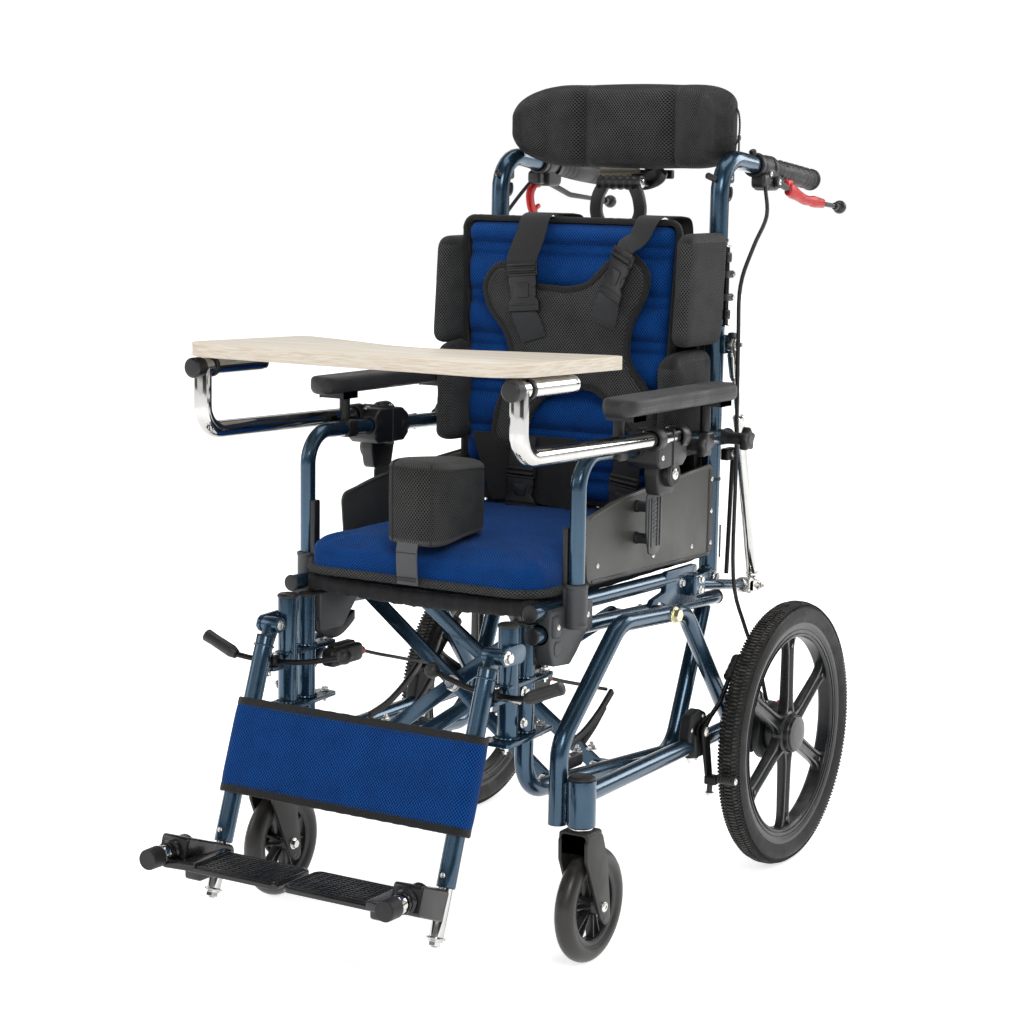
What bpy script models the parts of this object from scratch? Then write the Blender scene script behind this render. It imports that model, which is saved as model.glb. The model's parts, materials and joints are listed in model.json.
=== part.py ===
"""Positioning wheelchair with a tilting seat, a reclining back, a tray and rising leg rests.

Metres, +Z up. X runs across the width with the sitter's left at +X, and the chair faces -Y.
Y = 0 is the rear axle and Z = 0 is the floor. Points of a side view are written (Y, Z).
"""

import math

import bmesh
import bpy
from mathutils import Matrix, Vector

SIDES = (("left", 1), ("right", -1))

# Clearances
GAP = 0.0003
PIN_PLAY = 0.0003
SOCKET_PLAY = 0.0006

# Tubes
FRAME_TUBE_RADIUS = 0.0127
SEAT_TUBE_RADIUS = 0.011
POST_RADIUS = 0.014

# Rear wheels
REAR_WHEEL_RADIUS = 0.203
WHEEL_PLANE_X = 0.281
TYRE_WIDTH = 0.040
TYRE_DEPTH = 0.035
RIM_WIDTH = 0.028
RIM_DEPTH = 0.018
HUB_RADIUS = 0.030
HUB_INNER_X = 0.2585
HUB_OUTER_X = 0.300
SPOKES = 6
SPOKE_WIDTH = 0.024
SPOKE_THICKNESS = 0.012
AXLE_RADIUS = 0.006
AXLE_COLLAR_RADIUS = 0.009
AXLE_COLLAR_WIDTH = 0.003
AXLE = (0.0, REAR_WHEEL_RADIUS)

# Drum brake
BRAKE_RADIUS = 0.045
BRAKE_INNER_X = 0.243
BRAKE_WIDTH = 0.0145

# Casters
CASTER_X = 0.259
STEM_Y = -0.593
CASTER_TRAIL = 0.026
CASTER_RADIUS = 0.079
CASTER_WIDTH = 0.028
CASTER_HUB_RADIUS = 0.014
CASTER_WEB_WIDTH = 0.012
CASTER_RIM_RADIUS = 0.053
CASTER_BOLT_RADIUS = 0.004
FORK_GAP = 0.035
FORK_LEG = 0.005
FORK_LEG_HALF_WIDTH = 0.014
CROWN_RADIUS = 0.0215
CROWN_LOW = 0.165
CROWN_TOP = 0.190
STEM_RADIUS = 0.009
STEM_TOP = 0.245
HOUSING_RADIUS = 0.0195
HOUSING_LOW = 0.194
HOUSING_TOP = 0.257
HOUSING_CAP_RADIUS = 0.0165
HOUSING_CAP_HEIGHT = 0.005

# Side frame of the base
OUTER_TUBE_X = 0.226
OUTER_BEND = 0.055
OUTER_PATH = (
    (STEM_Y - 0.007, 0.192),
    (STEM_Y - 0.004, 0.301),
    (-0.438, 0.4385),
    (-0.245, 0.4255),
    (-0.062, 0.205),
)
LOWER_RAIL_X = 0.238
LOWER_RAIL = ((STEM_Y - 0.002, 0.222), (-0.050, 0.228))
AXLE_PLATE_X = 0.228
AXLE_PLATE_THICKNESS = 0.012
AXLE_PLATE = ((-0.075, 0.190), (-0.030, 0.170), (0.030, 0.175), (0.030, 0.235), (0.010, 0.250), (-0.075, 0.250))

# Tilt pivot between the side frame and the seat frame
TILT_PIVOT = (-0.296, 0.429)
TILT_PIN_RADIUS = 0.006
TILT_HEAD_RADIUS = 0.0095
TILT_HEAD_WIDTH = 0.005
TILT_SPACER_RADIUS = 0.011
TILT_NUT_X = 0.247

# Wheel lock
LOCK_AHEAD = 0.029
LOCK_Z = 0.248
LOCK_PIVOT = (-REAR_WHEEL_RADIUS - LOCK_AHEAD, LOCK_Z)
LOCK_BODY_RADIUS = 0.020
LOCK_BODY_X = 0.2485
LOCK_PIN_RADIUS = 0.004
LOCK_HEAD_RADIUS = 0.0075
LOCK_HEAD_WIDTH = 0.0027
LOCK_HUB_RADIUS = 0.013
LOCK_LEVER_WIDTH = 0.0057
LOCK_LEVER_RADIUS = 0.0036
LOCK_LEVER_BEND = (LOCK_PIVOT[0] + 0.062, LOCK_Z + 0.032)
LOCK_LEVER_END = (LOCK_PIVOT[0] + 0.097, LOCK_Z + 0.066)
LOCK_GRIP_END = (LOCK_PIVOT[0] + 0.124, LOCK_Z + 0.089)
LOCK_GRIP_X = 0.2505
LOCK_GRIP_RADIUS = 0.009
SHOE_ARM_X = 0.2566
SHOE_ARM_THICKNESS = 0.0044
SHOE_ARM_HALF_WIDTH = 0.010
SHOE_AHEAD = 0.012
SHOE_BELOW_AXLE = 0.028
SHOE = (-REAR_WHEEL_RADIUS - SHOE_AHEAD, REAR_WHEEL_RADIUS - SHOE_BELOW_AXLE)
SHOE_RADIUS = 0.006
SHOE_OUTER_X = 0.303

# Seat frame
INNER_TUBE_X = 0.180
INNER_BEND = 0.050
INNER_LOOP = ((-0.612, 0.460), (-0.612, 0.2325), (-0.185, 0.1965), (-0.092, 0.405))
FRONT_POST_Y = -0.655
FRONT_POST_LOW = 0.313
FRONT_POST_TOP = 0.466
LOW_TAB_Z = 0.309
TAB_THICKNESS = 0.006
HIGH_TAB_Z = 0.383
TAB_BOLT_Y = -0.556
TAB_BOLT_RADIUS = 0.005
SEAT_TUBE_X = 0.195
LOW_SEAT_TUBE = ((-0.620, 0.447), (-0.080, 0.418))
HIGH_SEAT_TUBE = ((-0.625, 0.478), (-0.165, 0.466))
CASTING_OUTER_X = 0.2125
CASTING_INNER_X = 0.165
CASTING_FRONT = -0.600
CASTING_BACK = -0.490
CASTING_LOW = 0.400
END_PLATE_X = 0.196
END_PLATE_THICKNESS = 0.010
END_PLATE = (
    (-0.165, 0.482),
    (-0.165, 0.425),
    (-0.235, 0.416),
    (-0.300, 0.411),
    (-0.318, 0.430),
    (-0.300, 0.447),
    (-0.262, 0.454),
    (-0.262, 0.482),
)

# Leg rest hinge and hanger
LEG_PIVOT = (-0.690, 0.431)
LEG_PIN_RADIUS = 0.004
LEG_PIN_HEAD_RADIUS = 0.0065
LEG_EAR_X = 0.1935
LEG_EAR_THICKNESS = 0.006
LEG_EAR_HALF_WIDTH = 0.012
KNUCKLE_RADIUS = 0.011
KNUCKLE_INNER_X = 0.166
HANGER_TOP = (-0.705, 0.418)
HANGER_SLOPE = (-0.335, -0.942)
HANGER_LENGTH = 0.2505
HANGER_BORE_RADIUS = 0.0105
HANGER_BORE_START = 0.095
FOOT_TUBE_RADIUS = 0.0098
FOOT_TUBE_START = 0.120
FOOT_TUBE_END = 0.3546
FOOT_NUT_RADIUS = 0.014
FOOT_NUT_LENGTH = 0.010
FOOT_HOUSING_X = (0.163, 0.208)
FOOT_HOUSING_Y = (-0.905, -0.788)
FOOT_HOUSING_Z = (0.130, 0.178)
FLIP_X = 0.187
FLIP_Z = 0.160
FLIP_SHAFT_RADIUS = 0.008
FLIP_RING_RADIUS = 0.013
FLIP_RING_LENGTH = 0.0194
FLIP_CAP_RADIUS = 0.0165
FLIP_CAP_LENGTH = 0.025
FOOTPLATE_X = (0.004, 0.155)
FOOTPLATE_Y = (-0.917, -0.835)
FOOTPLATE_Z = 0.143
FOOTPLATE_THICKNESS = 0.010
FOOTPLATE_CORNER = 0.012
CALF_STRAP_HALF_WIDTH = 0.197
CALF_STRAP_Z = (0.213, 0.334)
CALF_STRAP_THICKNESS = 0.008

# Leg rest release lever
LEVER_PIVOT_Y = -0.687
LEVER_HUB_LOW = 0.3727
LEVER_HUB_TOP = 0.3875
LEVER_HUB_RADIUS = 0.0085
LEVER_PIN_RADIUS = 0.003
LEVER_PIN_HEAD_RADIUS = 0.0055
LEVER_ROD_RADIUS = 0.004
LEVER_ROD = ((0.236, -0.700, 0.384), (0.205, -0.693, 0.380), (0.150, -0.683, 0.380), (0.075, -0.672, 0.395))
LEVER_GRIP_END = (0.290, -0.700, 0.406)
LEVER_GRIP_RADIUS = 0.009
LEVER_BALL_RADIUS = 0.011

# Crossed braces
BRACE_BAR_HALF_WIDTH = 0.011
BRACE_BAR_THICKNESS = 0.006
BRACE_BOLT_RADIUS = 0.009
FRONT_BRACE_Y = -0.503
FRONT_BRACE_TOP_Z = 0.4535
FRONT_BRACE_END_X = 0.150
REAR_BRACE_Y = -0.360
REAR_BRACE_END_X = 0.168
BRACE_FOOT_X = 0.152
BRACE_BRACKET_HALF_HEIGHT = 0.008
BRACE_BRACKET_HALF_WIDTH = 0.010

# Seat
SLING_LOW = 0.468
SLING_THICKNESS = 0.0212
SLING_FRONT = -0.607
SLING_BACK = -0.130
SLING_ROLL_RADIUS = 0.012
CUSHION_HALF_WIDTH = 0.1945
CUSHION_FRONT = -0.612
CUSHION_BACK = -0.130
CUSHION_LOW = 0.4895
CUSHION_TOP = 0.552
CUSHION_ROUND = 0.012
POMMEL_FRONT = -0.624
POMMEL_BACK = -0.478
POMMEL_FRONT_HALF_WIDTH = 0.052
POMMEL_BACK_HALF_WIDTH = 0.038
POMMEL_TOP = 0.668
POMMEL_ROUND = 0.010
PANEL_X = 0.199
PANEL_THICKNESS = 0.004
PANEL = ((-0.490, 0.497), (-0.113, 0.487), (-0.113, 0.626), (-0.250, 0.618), (-0.400, 0.606), (-0.500, 0.590))
PANEL_CORNER = 0.015

# Arm rests
ARM_TUBE_X = 0.222
ARM_TUBE_RADIUS = 0.011
ARM_BEND = 0.045
ARM_FRONT_Y = -0.552
ARM_FOOT_Z = 0.480
ARM_PATH = ((ARM_FRONT_Y, ARM_FOOT_Z), (ARM_FRONT_Y, 0.6815), (-0.110, 0.668))
ARM_SOCKET_RADIUS = 0.015
ARM_SOCKET_LOW = 0.452
ARM_SOCKET_TOP = 0.510
PAD_X = (0.215, 0.270)
PAD_FRONT = -0.500
PAD_BACK = -0.158
PAD_FRONT_TOP = 0.757
PAD_DROP = 0.004
PAD_THICKNESS = 0.028
PAD_ROUND = 0.006
PAD_POST_X = 0.2275
PAD_POST_RADIUS = 0.006
PAD_POST_Y = (-0.455, -0.195)
KNOB_Y = -0.278
REAR_KNOB_Y = -0.140
KNOB_BOSS_RADIUS = 0.009
KNOB_BOSS_X = 0.2617
KNOB_STUD_RADIUS = 0.004
KNOB_STUD_LENGTH = 0.014
KNOB_RADIUS = 0.018
KNOB_LOBES = 5
KNOB_WIDTH = 0.013
CLAMP_Y = (-0.400, -0.315)
CLAMP_X = (0.2082, 0.262)
CLAMP_Z = (0.655, 0.697)
CLAMP_FOOT_X = (0.2285, 0.250)
CLAMP_FOOT_LOW = 0.610
CLAMP_BOSS_RADIUS = 0.018
CLAMP_BOSS_Z = 0.640
HANG_BAR_THICKNESS = 0.003
HANG_BAR_Y = (-0.375, -0.330)
HANG_BAR_LOW = 0.525
SPACER_RADIUS = 0.008
SPACER_Z = (0.545, 0.590)

# Tray
TRAY_ARM_X = 0.250
TRAY_ARM_RADIUS = 0.0125
TRAY_ARM_BACK = (-0.310, 0.6889)
TRAY_ARM_FRONT = (-0.752, 0.7000)
TRAY_ARM_BEND = 0.035
TRAY_BAR = ((-0.775, 0.787), (-0.619, 0.785))
TRAY_LOW = 0.804
TRAY_THICKNESS = 0.018
TRAY_HALF_WIDTH = 0.2646
TRAY_FRONT = -0.795
TRAY_BACK = -0.500
TRAY_CORNER = 0.060
TRAY_BELLY = ((0.170, -0.537), (0.100, -0.568), (0.045, -0.590))
TRAY_BELLY_DEEPEST = -0.596
SADDLE_HALF_WIDTH = 0.012
SADDLE_LENGTH = 0.018
SADDLE_Y = (-0.709, -0.637)
SOCKET_WALL = 0.0035

# Back
BACK_POST_X = 0.190
BACK_BEND = 0.050
BACK_PATH = ((-0.0996, 0.447), (-0.092, 1.078), (0.232, 1.043))
RECLINE_PIVOT = (-0.115, 0.455)
RECLINE_PIN_RADIUS = 0.006
RECLINE_HINGE_RADIUS = 0.012
RECLINE_HINGE_X = (0.184, 0.204)
RECLINE_PLATE_X = 0.2045
RECLINE_PLATE_THICKNESS = 0.005
RECLINE_PLATE_HALF_WIDTH = 0.011
COLLAR_Y = (0.020, 0.070)
COLLAR_RADIUS = 0.0175
GRIP_Y = (0.075, 0.232)
GRIP_RADIUS = 0.0165
BOARD_FRONT = -0.1247
BOARD_THICKNESS = 0.0067
BOARD_Z = (0.600, 0.970)
BOARD_FLANGE = 0.010
BOARD_FLANGE_BACK = -0.085
RECEIVER_HALF_WIDTH = 0.018
RECEIVER_BACK = -0.042
RECEIVER_Z = (0.870, 0.940)
BACK_CUSHION_HALF_WIDTH = 0.183
BACK_CUSHION_FRONT = -0.218
BACK_CUSHION_Z = (0.570, 0.985)
BACK_CUSHION_ROUND = 0.014
BOLSTER_X = (0.170, 0.2095)
BOLSTER_Y = (-0.260, -0.125)
BOLSTER_Z = (0.640, 0.790)
BOLSTER_ROUND = 0.008
HARNESS_THICKNESS = 0.016
HARNESS = (
    (0.000, 0.915),
    (0.035, 0.925),
    (0.050, 0.975),
    (0.095, 0.975),
    (0.100, 0.880),
    (0.135, 0.800),
    (0.130, 0.740),
    (0.080, 0.700),
    (0.050, 0.620),
    (0.000, 0.615),
)

# Upper lateral pads
LATERAL_X = (0.1865, 0.222)
LATERAL_Y = (-0.245, -0.1165)
LATERAL_Z = (0.795, 0.965)
LATERAL_ROUND = 0.008
LATERAL_HINGE_X = 0.2125
LATERAL_HINGE_Y = -0.108
LATERAL_ROD_RADIUS = 0.004
LATERAL_TAB_Z = ((0.838, 0.856), (0.922, 0.940))
LATERAL_CLIP_Z = ((0.866, 0.878), (0.900, 0.912))
LATERAL_CLIP_HALF_WIDTH = 0.0045

# Recline struts
STRUT_X = 0.217
STRUT_TOP = (-0.093, 0.802)
STRUT_FOOT = (0.003, 0.426)
STRUT_PIN_RADIUS = 0.004
STRUT_PIN_OUTER_X = 0.2258
CYLINDER_RADIUS = 0.0085
CYLINDER_START = 0.004
CYLINDER_END = 0.270
CYLINDER_BORE_RADIUS = 0.0058
CYLINDER_BORE_START = 0.050
STRUT_ROD_RADIUS = 0.005
STRUT_ROD_START = 0.120
STRUT_EYE_RADIUS = 0.0095
STRUT_TOP_EYE_RADIUS = 0.0105
STRUT_TOP_PLAY = 0.0027
STRUT_EYE_HALF_WIDTH = 0.0055
STRUT_ARM_X = 0.2125
STRUT_ARM_RADIUS = 0.008
STRUT_ARM = ((-0.190, 0.4555), (-0.022, 0.4293))
FORK_END_Y = -0.0145
CLEVIS_PLATE = 0.0045
CLEVIS_HALF_WIDTH = 0.0085

# Attendant brake
BRAKE_LEVER_PIVOT = (0.062, 1.040)
BRAKE_LEVER_X = 0.2082
BRAKE_LEVER_WIDTH = 0.0068
BRAKE_LEVER_HUB_RADIUS = 0.009
BRAKE_LEVER_PIN_RADIUS = 0.003
BRAKE_LEVER_RADIUS = 0.0034
BRAKE_LEVER_BEND = (0.160, 1.012)
BRAKE_BALL = (0.297, 1.000)
BRAKE_BALL_RADIUS = 0.011
BRAKE_BLOCK_X = (0.182, 0.2078)
BRAKE_BLOCK_Y = (0.045, 0.079)
BRAKE_BLOCK_Z = (1.028, 1.062)
CABLE_RADIUS = 0.003
CABLE_ROUTE = (
    (0.2045, 0.0420, 1.041),
    (0.2080, 0.0250, 1.032),
    (0.2265, -0.0070, 0.990),
    (0.2295, -0.0560, 0.945),
    (0.2295, -0.0960, 0.889),
    (0.2295, -0.0980, 0.809),
    (0.2295, -0.0935, 0.620),
    (0.2295, -0.0920, 0.455),
    (0.2350, -0.0600, AXLE[1] + BRAKE_RADIUS + 0.127),
    (0.2440, -0.0250, AXLE[1] + BRAKE_RADIUS + 0.062),
    (0.2505, -0.0050, AXLE[1] + BRAKE_RADIUS + 0.0005),
)

# Headrest
HEADREST_STEM_X = 0.008
HEADREST_STEM_Y = (-0.062, -0.052)
HEADREST_STEM_LOW = 0.850
HEADREST_STEM_PLAY = 0.0005
HEADREST_ARM_Z = (1.030, 1.040)
HEADREST_CLAMP_Z = 1.036
HEADREST_CLAMP_RADIUS = 0.010
HEADREST_CLAMP_HALF_LENGTH = 0.030
HEADREST_PIVOT = (0.052, 1.100)
HEADREST_PIN_RADIUS = 0.004
HEADREST_PIN_HALF_LENGTH = 0.018
HEADREST_UPRIGHT_Y = (0.046, 0.058)
PILLOW_Z = (1.058, 1.184)
PILLOW_HALF_WIDTH = 0.186
PILLOW_END_RADIUS = 0.058
PILLOW_ROUND = 0.008
PILLOW = (
    (0.000, 0.030),
    (0.120, 0.030),
    (0.174, -0.005),
    (0.188, -0.050),
    (0.184, -0.086),
    (0.168, -0.100),
    (0.138, -0.088),
    (0.085, -0.057),
    (0.000, -0.057),
)

# How finely round shapes are divided
BEND_STEP = math.radians(30)
FINE_STEPS = 32
ROUND_STEPS = 24
ROUND_SIDES = 16
PIN_SIDES = 10
GRIP_SIDES = 10
HEX_SIDES = 6
WELD = 0.00001


def clear_scene():
    for obj in list(bpy.data.objects):
        bpy.data.objects.remove(obj, do_unlink=True)


def new_collection(name):
    collection = bpy.data.collections.new(name)
    bpy.context.scene.collection.children.link(collection)
    return collection


clear_scene()
PARTS = new_collection("wheelchair")
TOOLS = new_collection("construction")


def material(name, colour, roughness, metallic=0.0):
    made = bpy.data.materials.new(name)
    made.use_nodes = True
    shader = made.node_tree.nodes["Principled BSDF"]
    shader.inputs["Base Color"].default_value = (*colour, 1.0)
    shader.inputs["Roughness"].default_value = roughness
    shader.inputs["Metallic"].default_value = metallic
    return made


STEEL_BLUE = ((0.045, 0.10, 0.17), 0.35, 0.6)
CHROME = ((0.80, 0.80, 0.82), 0.10, 1.0)
DARK_STEEL = ((0.12, 0.12, 0.13), 0.40, 0.8)
BLACK_PLASTIC = ((0.015, 0.015, 0.016), 0.45, 0.0)
GREY_PLASTIC = ((0.10, 0.11, 0.12), 0.50, 0.0)
RUBBER = ((0.02, 0.02, 0.02), 0.80, 0.0)
BLUE_MESH = ((0.006, 0.07, 0.32), 0.85, 0.0)
BLACK_MESH = ((0.012, 0.012, 0.014), 0.90, 0.0)
BIRCH = ((0.72, 0.58, 0.42), 0.45, 0.0)


# Shapes


def helper(name, bm):
    """A mesh object that other shapes are joined from or cut with."""
    mesh = bpy.data.meshes.new(name)
    bmesh.ops.recalc_face_normals(bm, faces=bm.faces)
    bm.to_mesh(mesh)
    bm.free()
    mesh.shade_smooth()
    mesh.set_sharp_from_angle(angle=math.radians(35))
    obj = bpy.data.objects.new(name, mesh)
    TOOLS.objects.link(obj)
    obj.hide_render = True
    obj.display_type = "WIRE"
    return obj


def baked(obj, weld=True):
    """The evaluated mesh of a curve or of an object with modifiers, with its caps welded."""
    graph = bpy.context.evaluated_depsgraph_get()
    mesh = bpy.data.meshes.new_from_object(obj.evaluated_get(graph))
    bm = bmesh.new()
    bm.from_mesh(mesh)
    if weld:
        bmesh.ops.remove_doubles(bm, verts=bm.verts, dist=WELD)
    bmesh.ops.transform(bm, matrix=obj.matrix_world, verts=bm.verts)
    name = obj.name
    bpy.data.objects.remove(obj, do_unlink=True)
    bpy.data.meshes.remove(mesh)
    return helper(name, bm)


def box(x, y, z):
    """A box between two places on each axis, given in either order."""
    low = Vector((min(x), min(y), min(z)))
    high = Vector((max(x), max(y), max(z)))
    bm = bmesh.new()
    bmesh.ops.create_cube(bm, size=1.0)
    stretch = Matrix.Diagonal((*(high - low), 1.0))
    bmesh.ops.transform(bm, matrix=Matrix.Translation((low + high) / 2) @ stretch, verts=bm.verts)
    return helper("box", bm)


def rod(start, end, radius, sides=PIN_SIDES):
    """A straight round bar between two points."""
    start = Vector(start)
    end = Vector(end)
    along = end - start
    bm = bmesh.new()
    bmesh.ops.create_cone(
        bm, cap_ends=True, segments=sides, radius1=radius, radius2=radius, depth=along.length
    )
    turn = Vector((0, 0, 1)).rotation_difference(along).to_matrix().to_4x4()
    bmesh.ops.transform(bm, matrix=Matrix.Translation((start + end) / 2) @ turn, verts=bm.verts)
    return helper("rod", bm)


def ball(centre, radius):
    bm = bmesh.new()
    bmesh.ops.create_uvsphere(bm, u_segments=12, v_segments=8, radius=radius)
    bmesh.ops.transform(bm, matrix=Matrix.Translation(centre), verts=bm.verts)
    return helper("ball", bm)


def at(x, point):
    """A point (Y, Z) of the side view at a place across the width."""
    return (x, point[0], point[1])


def pin(side, x, point, radius, sides=PIN_SIDES):
    """A round bar across the chair, between two distances from the middle."""
    return rod(at(side * x[0], point), at(side * x[1], point), radius, sides)


def arc(before, corner, after, bend):
    """The points of the arc of radius bend that rounds a corner."""
    back = (before - corner).normalized()
    ahead = (after - corner).normalized()
    turn = math.pi - back.angle(ahead)
    reach = bend * math.tan(turn / 2)
    centre = corner + (back + ahead).normalized() * bend / math.cos(turn / 2)
    start = corner + back * reach - centre
    end = corner + ahead * reach - centre
    steps = max(2, math.ceil(turn / BEND_STEP))
    axis = start.cross(end).normalized()
    return [centre + Matrix.Rotation(turn * k / steps, 3, axis) @ start for k in range(steps + 1)]


def bent(points, bend):
    """An open path with its corners rounded."""
    points = [Vector(p) for p in points]
    path = [points[0]]
    for before, corner, after in zip(points, points[1:], points[2:]):
        path += arc(before, corner, after, bend)
    return path + [points[-1]]


def rounded(outline, radius):
    """A closed flat outline with its corners rounded."""
    points = [Vector((*p, 0.0)) for p in outline]
    path = []
    for k, corner in enumerate(points):
        path += arc(points[k - 1], corner, points[(k + 1) % len(points)], radius)
    return [(p.x, p.y) for p in path]


def smooth(points, steps):
    """Points along a smooth curve through the given ones."""
    points = [Vector(p) for p in points]
    ends = [2 * points[0] - points[1], *points, 2 * points[-1] - points[-2]]
    path = []
    for a, b, c, d in zip(ends, ends[1:], ends[2:], ends[3:]):
        for k in range(steps):
            t = k / steps
            path.append(
                0.5 * (2 * b + (c - a) * t + (2 * a - 5 * b + 4 * c - d) * t**2 + (3 * b - a - 3 * c + d) * t**3)
            )
    return path + [points[-1]]


def tube(path, radius, resolution=3):
    """A round bar along a path, as a curve with filled caps made a mesh."""
    data = bpy.data.curves.new("tube", "CURVE")
    data.dimensions = "3D"
    data.bevel_depth = radius
    data.bevel_resolution = resolution
    data.use_fill_caps = True
    spline = data.splines.new("POLY")
    spline.points.add(len(path) - 1)
    for point, place in zip(spline.points, path):
        point.co = (*place, 1.0)
    obj = bpy.data.objects.new("tube", data)
    TOOLS.objects.link(obj)
    return baked(obj)


AXES = {
    "X": Matrix(((0, 0, 1, 0), (1, 0, 0, 0), (0, 1, 0, 0), (0, 0, 0, 1))),
    "Y": Matrix(((1, 0, 0, 0), (0, 0, -1, 0), (0, 1, 0, 0), (0, 0, 0, 1))),
    "Z": Matrix.Identity(4),
}


def plate(outline, axis, span):
    """A flat outline given thickness between two places on its axis."""
    data = bpy.data.curves.new("plate", "CURVE")
    data.dimensions = "2D"
    data.fill_mode = "BOTH"
    data.extrude = abs(span[1] - span[0]) / 2
    spline = data.splines.new("POLY")
    spline.points.add(len(outline) - 1)
    spline.use_cyclic_u = True
    for point, place in zip(spline.points, outline):
        point.co = (*place, 0.0, 1.0)
    obj = bpy.data.objects.new("plate", data)
    TOOLS.objects.link(obj)
    middle = Vector((0, 0, 0))
    middle["XYZ".index(axis)] = (span[0] + span[1]) / 2
    obj.matrix_world = Matrix.Translation(middle) @ AXES[axis]
    bpy.context.view_layer.update()
    return baked(obj)


def turned(profile, axis, centre, steps, ring):
    """A profile of (radius, height) turned about an axis: a ring, or a solid that starts on its axis."""
    mesh = bpy.data.meshes.new("turned")
    edges = [(k, k + 1) for k in range(len(profile) - 1)]
    if ring:
        edges.append((len(profile) - 1, 0))
    mesh.from_pydata([(r, 0.0, h) for r, h in profile], edges, [])
    obj = bpy.data.objects.new("turned", mesh)
    TOOLS.objects.link(obj)
    screw = obj.modifiers.new("turn", "SCREW")
    screw.axis = "Z"
    screw.steps = steps
    screw.render_steps = steps
    screw.use_merge_vertices = True
    screw.merge_threshold = WELD
    obj.matrix_world = Matrix.Translation(centre) @ AXES[axis]
    bpy.context.view_layer.update()
    return baked(obj)


def link_outline(a, b, half_width):
    """The outline of a flat bar with round ends between two points of its plane."""
    a = Vector(a)
    b = Vector(b)
    heading = math.atan2(b.y - a.y, b.x - a.x)
    outline = []
    for centre, first in ((b, heading - math.pi / 2), (a, heading + math.pi / 2)):
        for k in range(7):
            angle = first + math.pi * k / 6
            outline.append((centre.x + half_width * math.cos(angle), centre.y + half_width * math.sin(angle)))
    return outline


def side_link(side, x, a, b, half_width):
    """A flat bar with round ends in the side view."""
    return plate(link_outline(a, b, half_width), "X", (side * x[0], side * x[1]))


def mirrored(half):
    """A closed outline from its half at +X, whose first and last points lie on the middle."""
    return [*half, *[(-x, y) for x, y in reversed(half[1:-1])]]


def softened(obj, width, segments=1):
    """The same shape with its sharp edges rounded."""
    bevel = obj.modifiers.new("round", "BEVEL")
    bevel.width = width
    bevel.segments = segments
    bevel.limit_method = "ANGLE"
    bevel.angle_limit = math.radians(50)
    return baked(obj)


def common(obj, other):
    """The part that two shapes share."""
    boolean = obj.modifiers.new("common", "BOOLEAN")
    boolean.operation = "INTERSECT"
    boolean.solver = "EXACT"
    boolean.object = other
    return baked(obj, weld=False)


# Pivots: one empty on each joint's axis


def pivot(name, place, parent=None):
    """An empty on a joint's axis, which carries the pieces that the joint moves."""
    empty = bpy.data.objects.new(name, None)
    empty.empty_display_size = 0.02
    TOOLS.objects.link(empty)
    empty.location = Vector(place)
    if parent:
        empty.parent = parent
        empty.location = Vector(place) - parent.matrix_world.translation
    bpy.context.view_layer.update()
    return empty


def finish(name, look, pieces, cuts=(), carried_by=None):
    """One named part: its pieces joined, then cut, coloured and hung on its pivot."""
    body = pieces[0]
    body.name = name
    TOOLS.objects.unlink(body)
    PARTS.objects.link(body)
    body.hide_render = False
    body.display_type = "TEXTURED"
    body.data.materials.append(material(name, *look))
    for operation, others in (("UNION", pieces[1:]), ("DIFFERENCE", cuts)):
        for other in others:
            boolean = body.modifiers.new(operation.lower(), "BOOLEAN")
            boolean.operation = operation
            boolean.solver = "EXACT"
            boolean.object = other
    if carried_by:
        origin = carried_by.matrix_world.translation
        body.data.transform(Matrix.Translation(-origin))
        body.parent = carried_by
    return body


# Base


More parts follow.
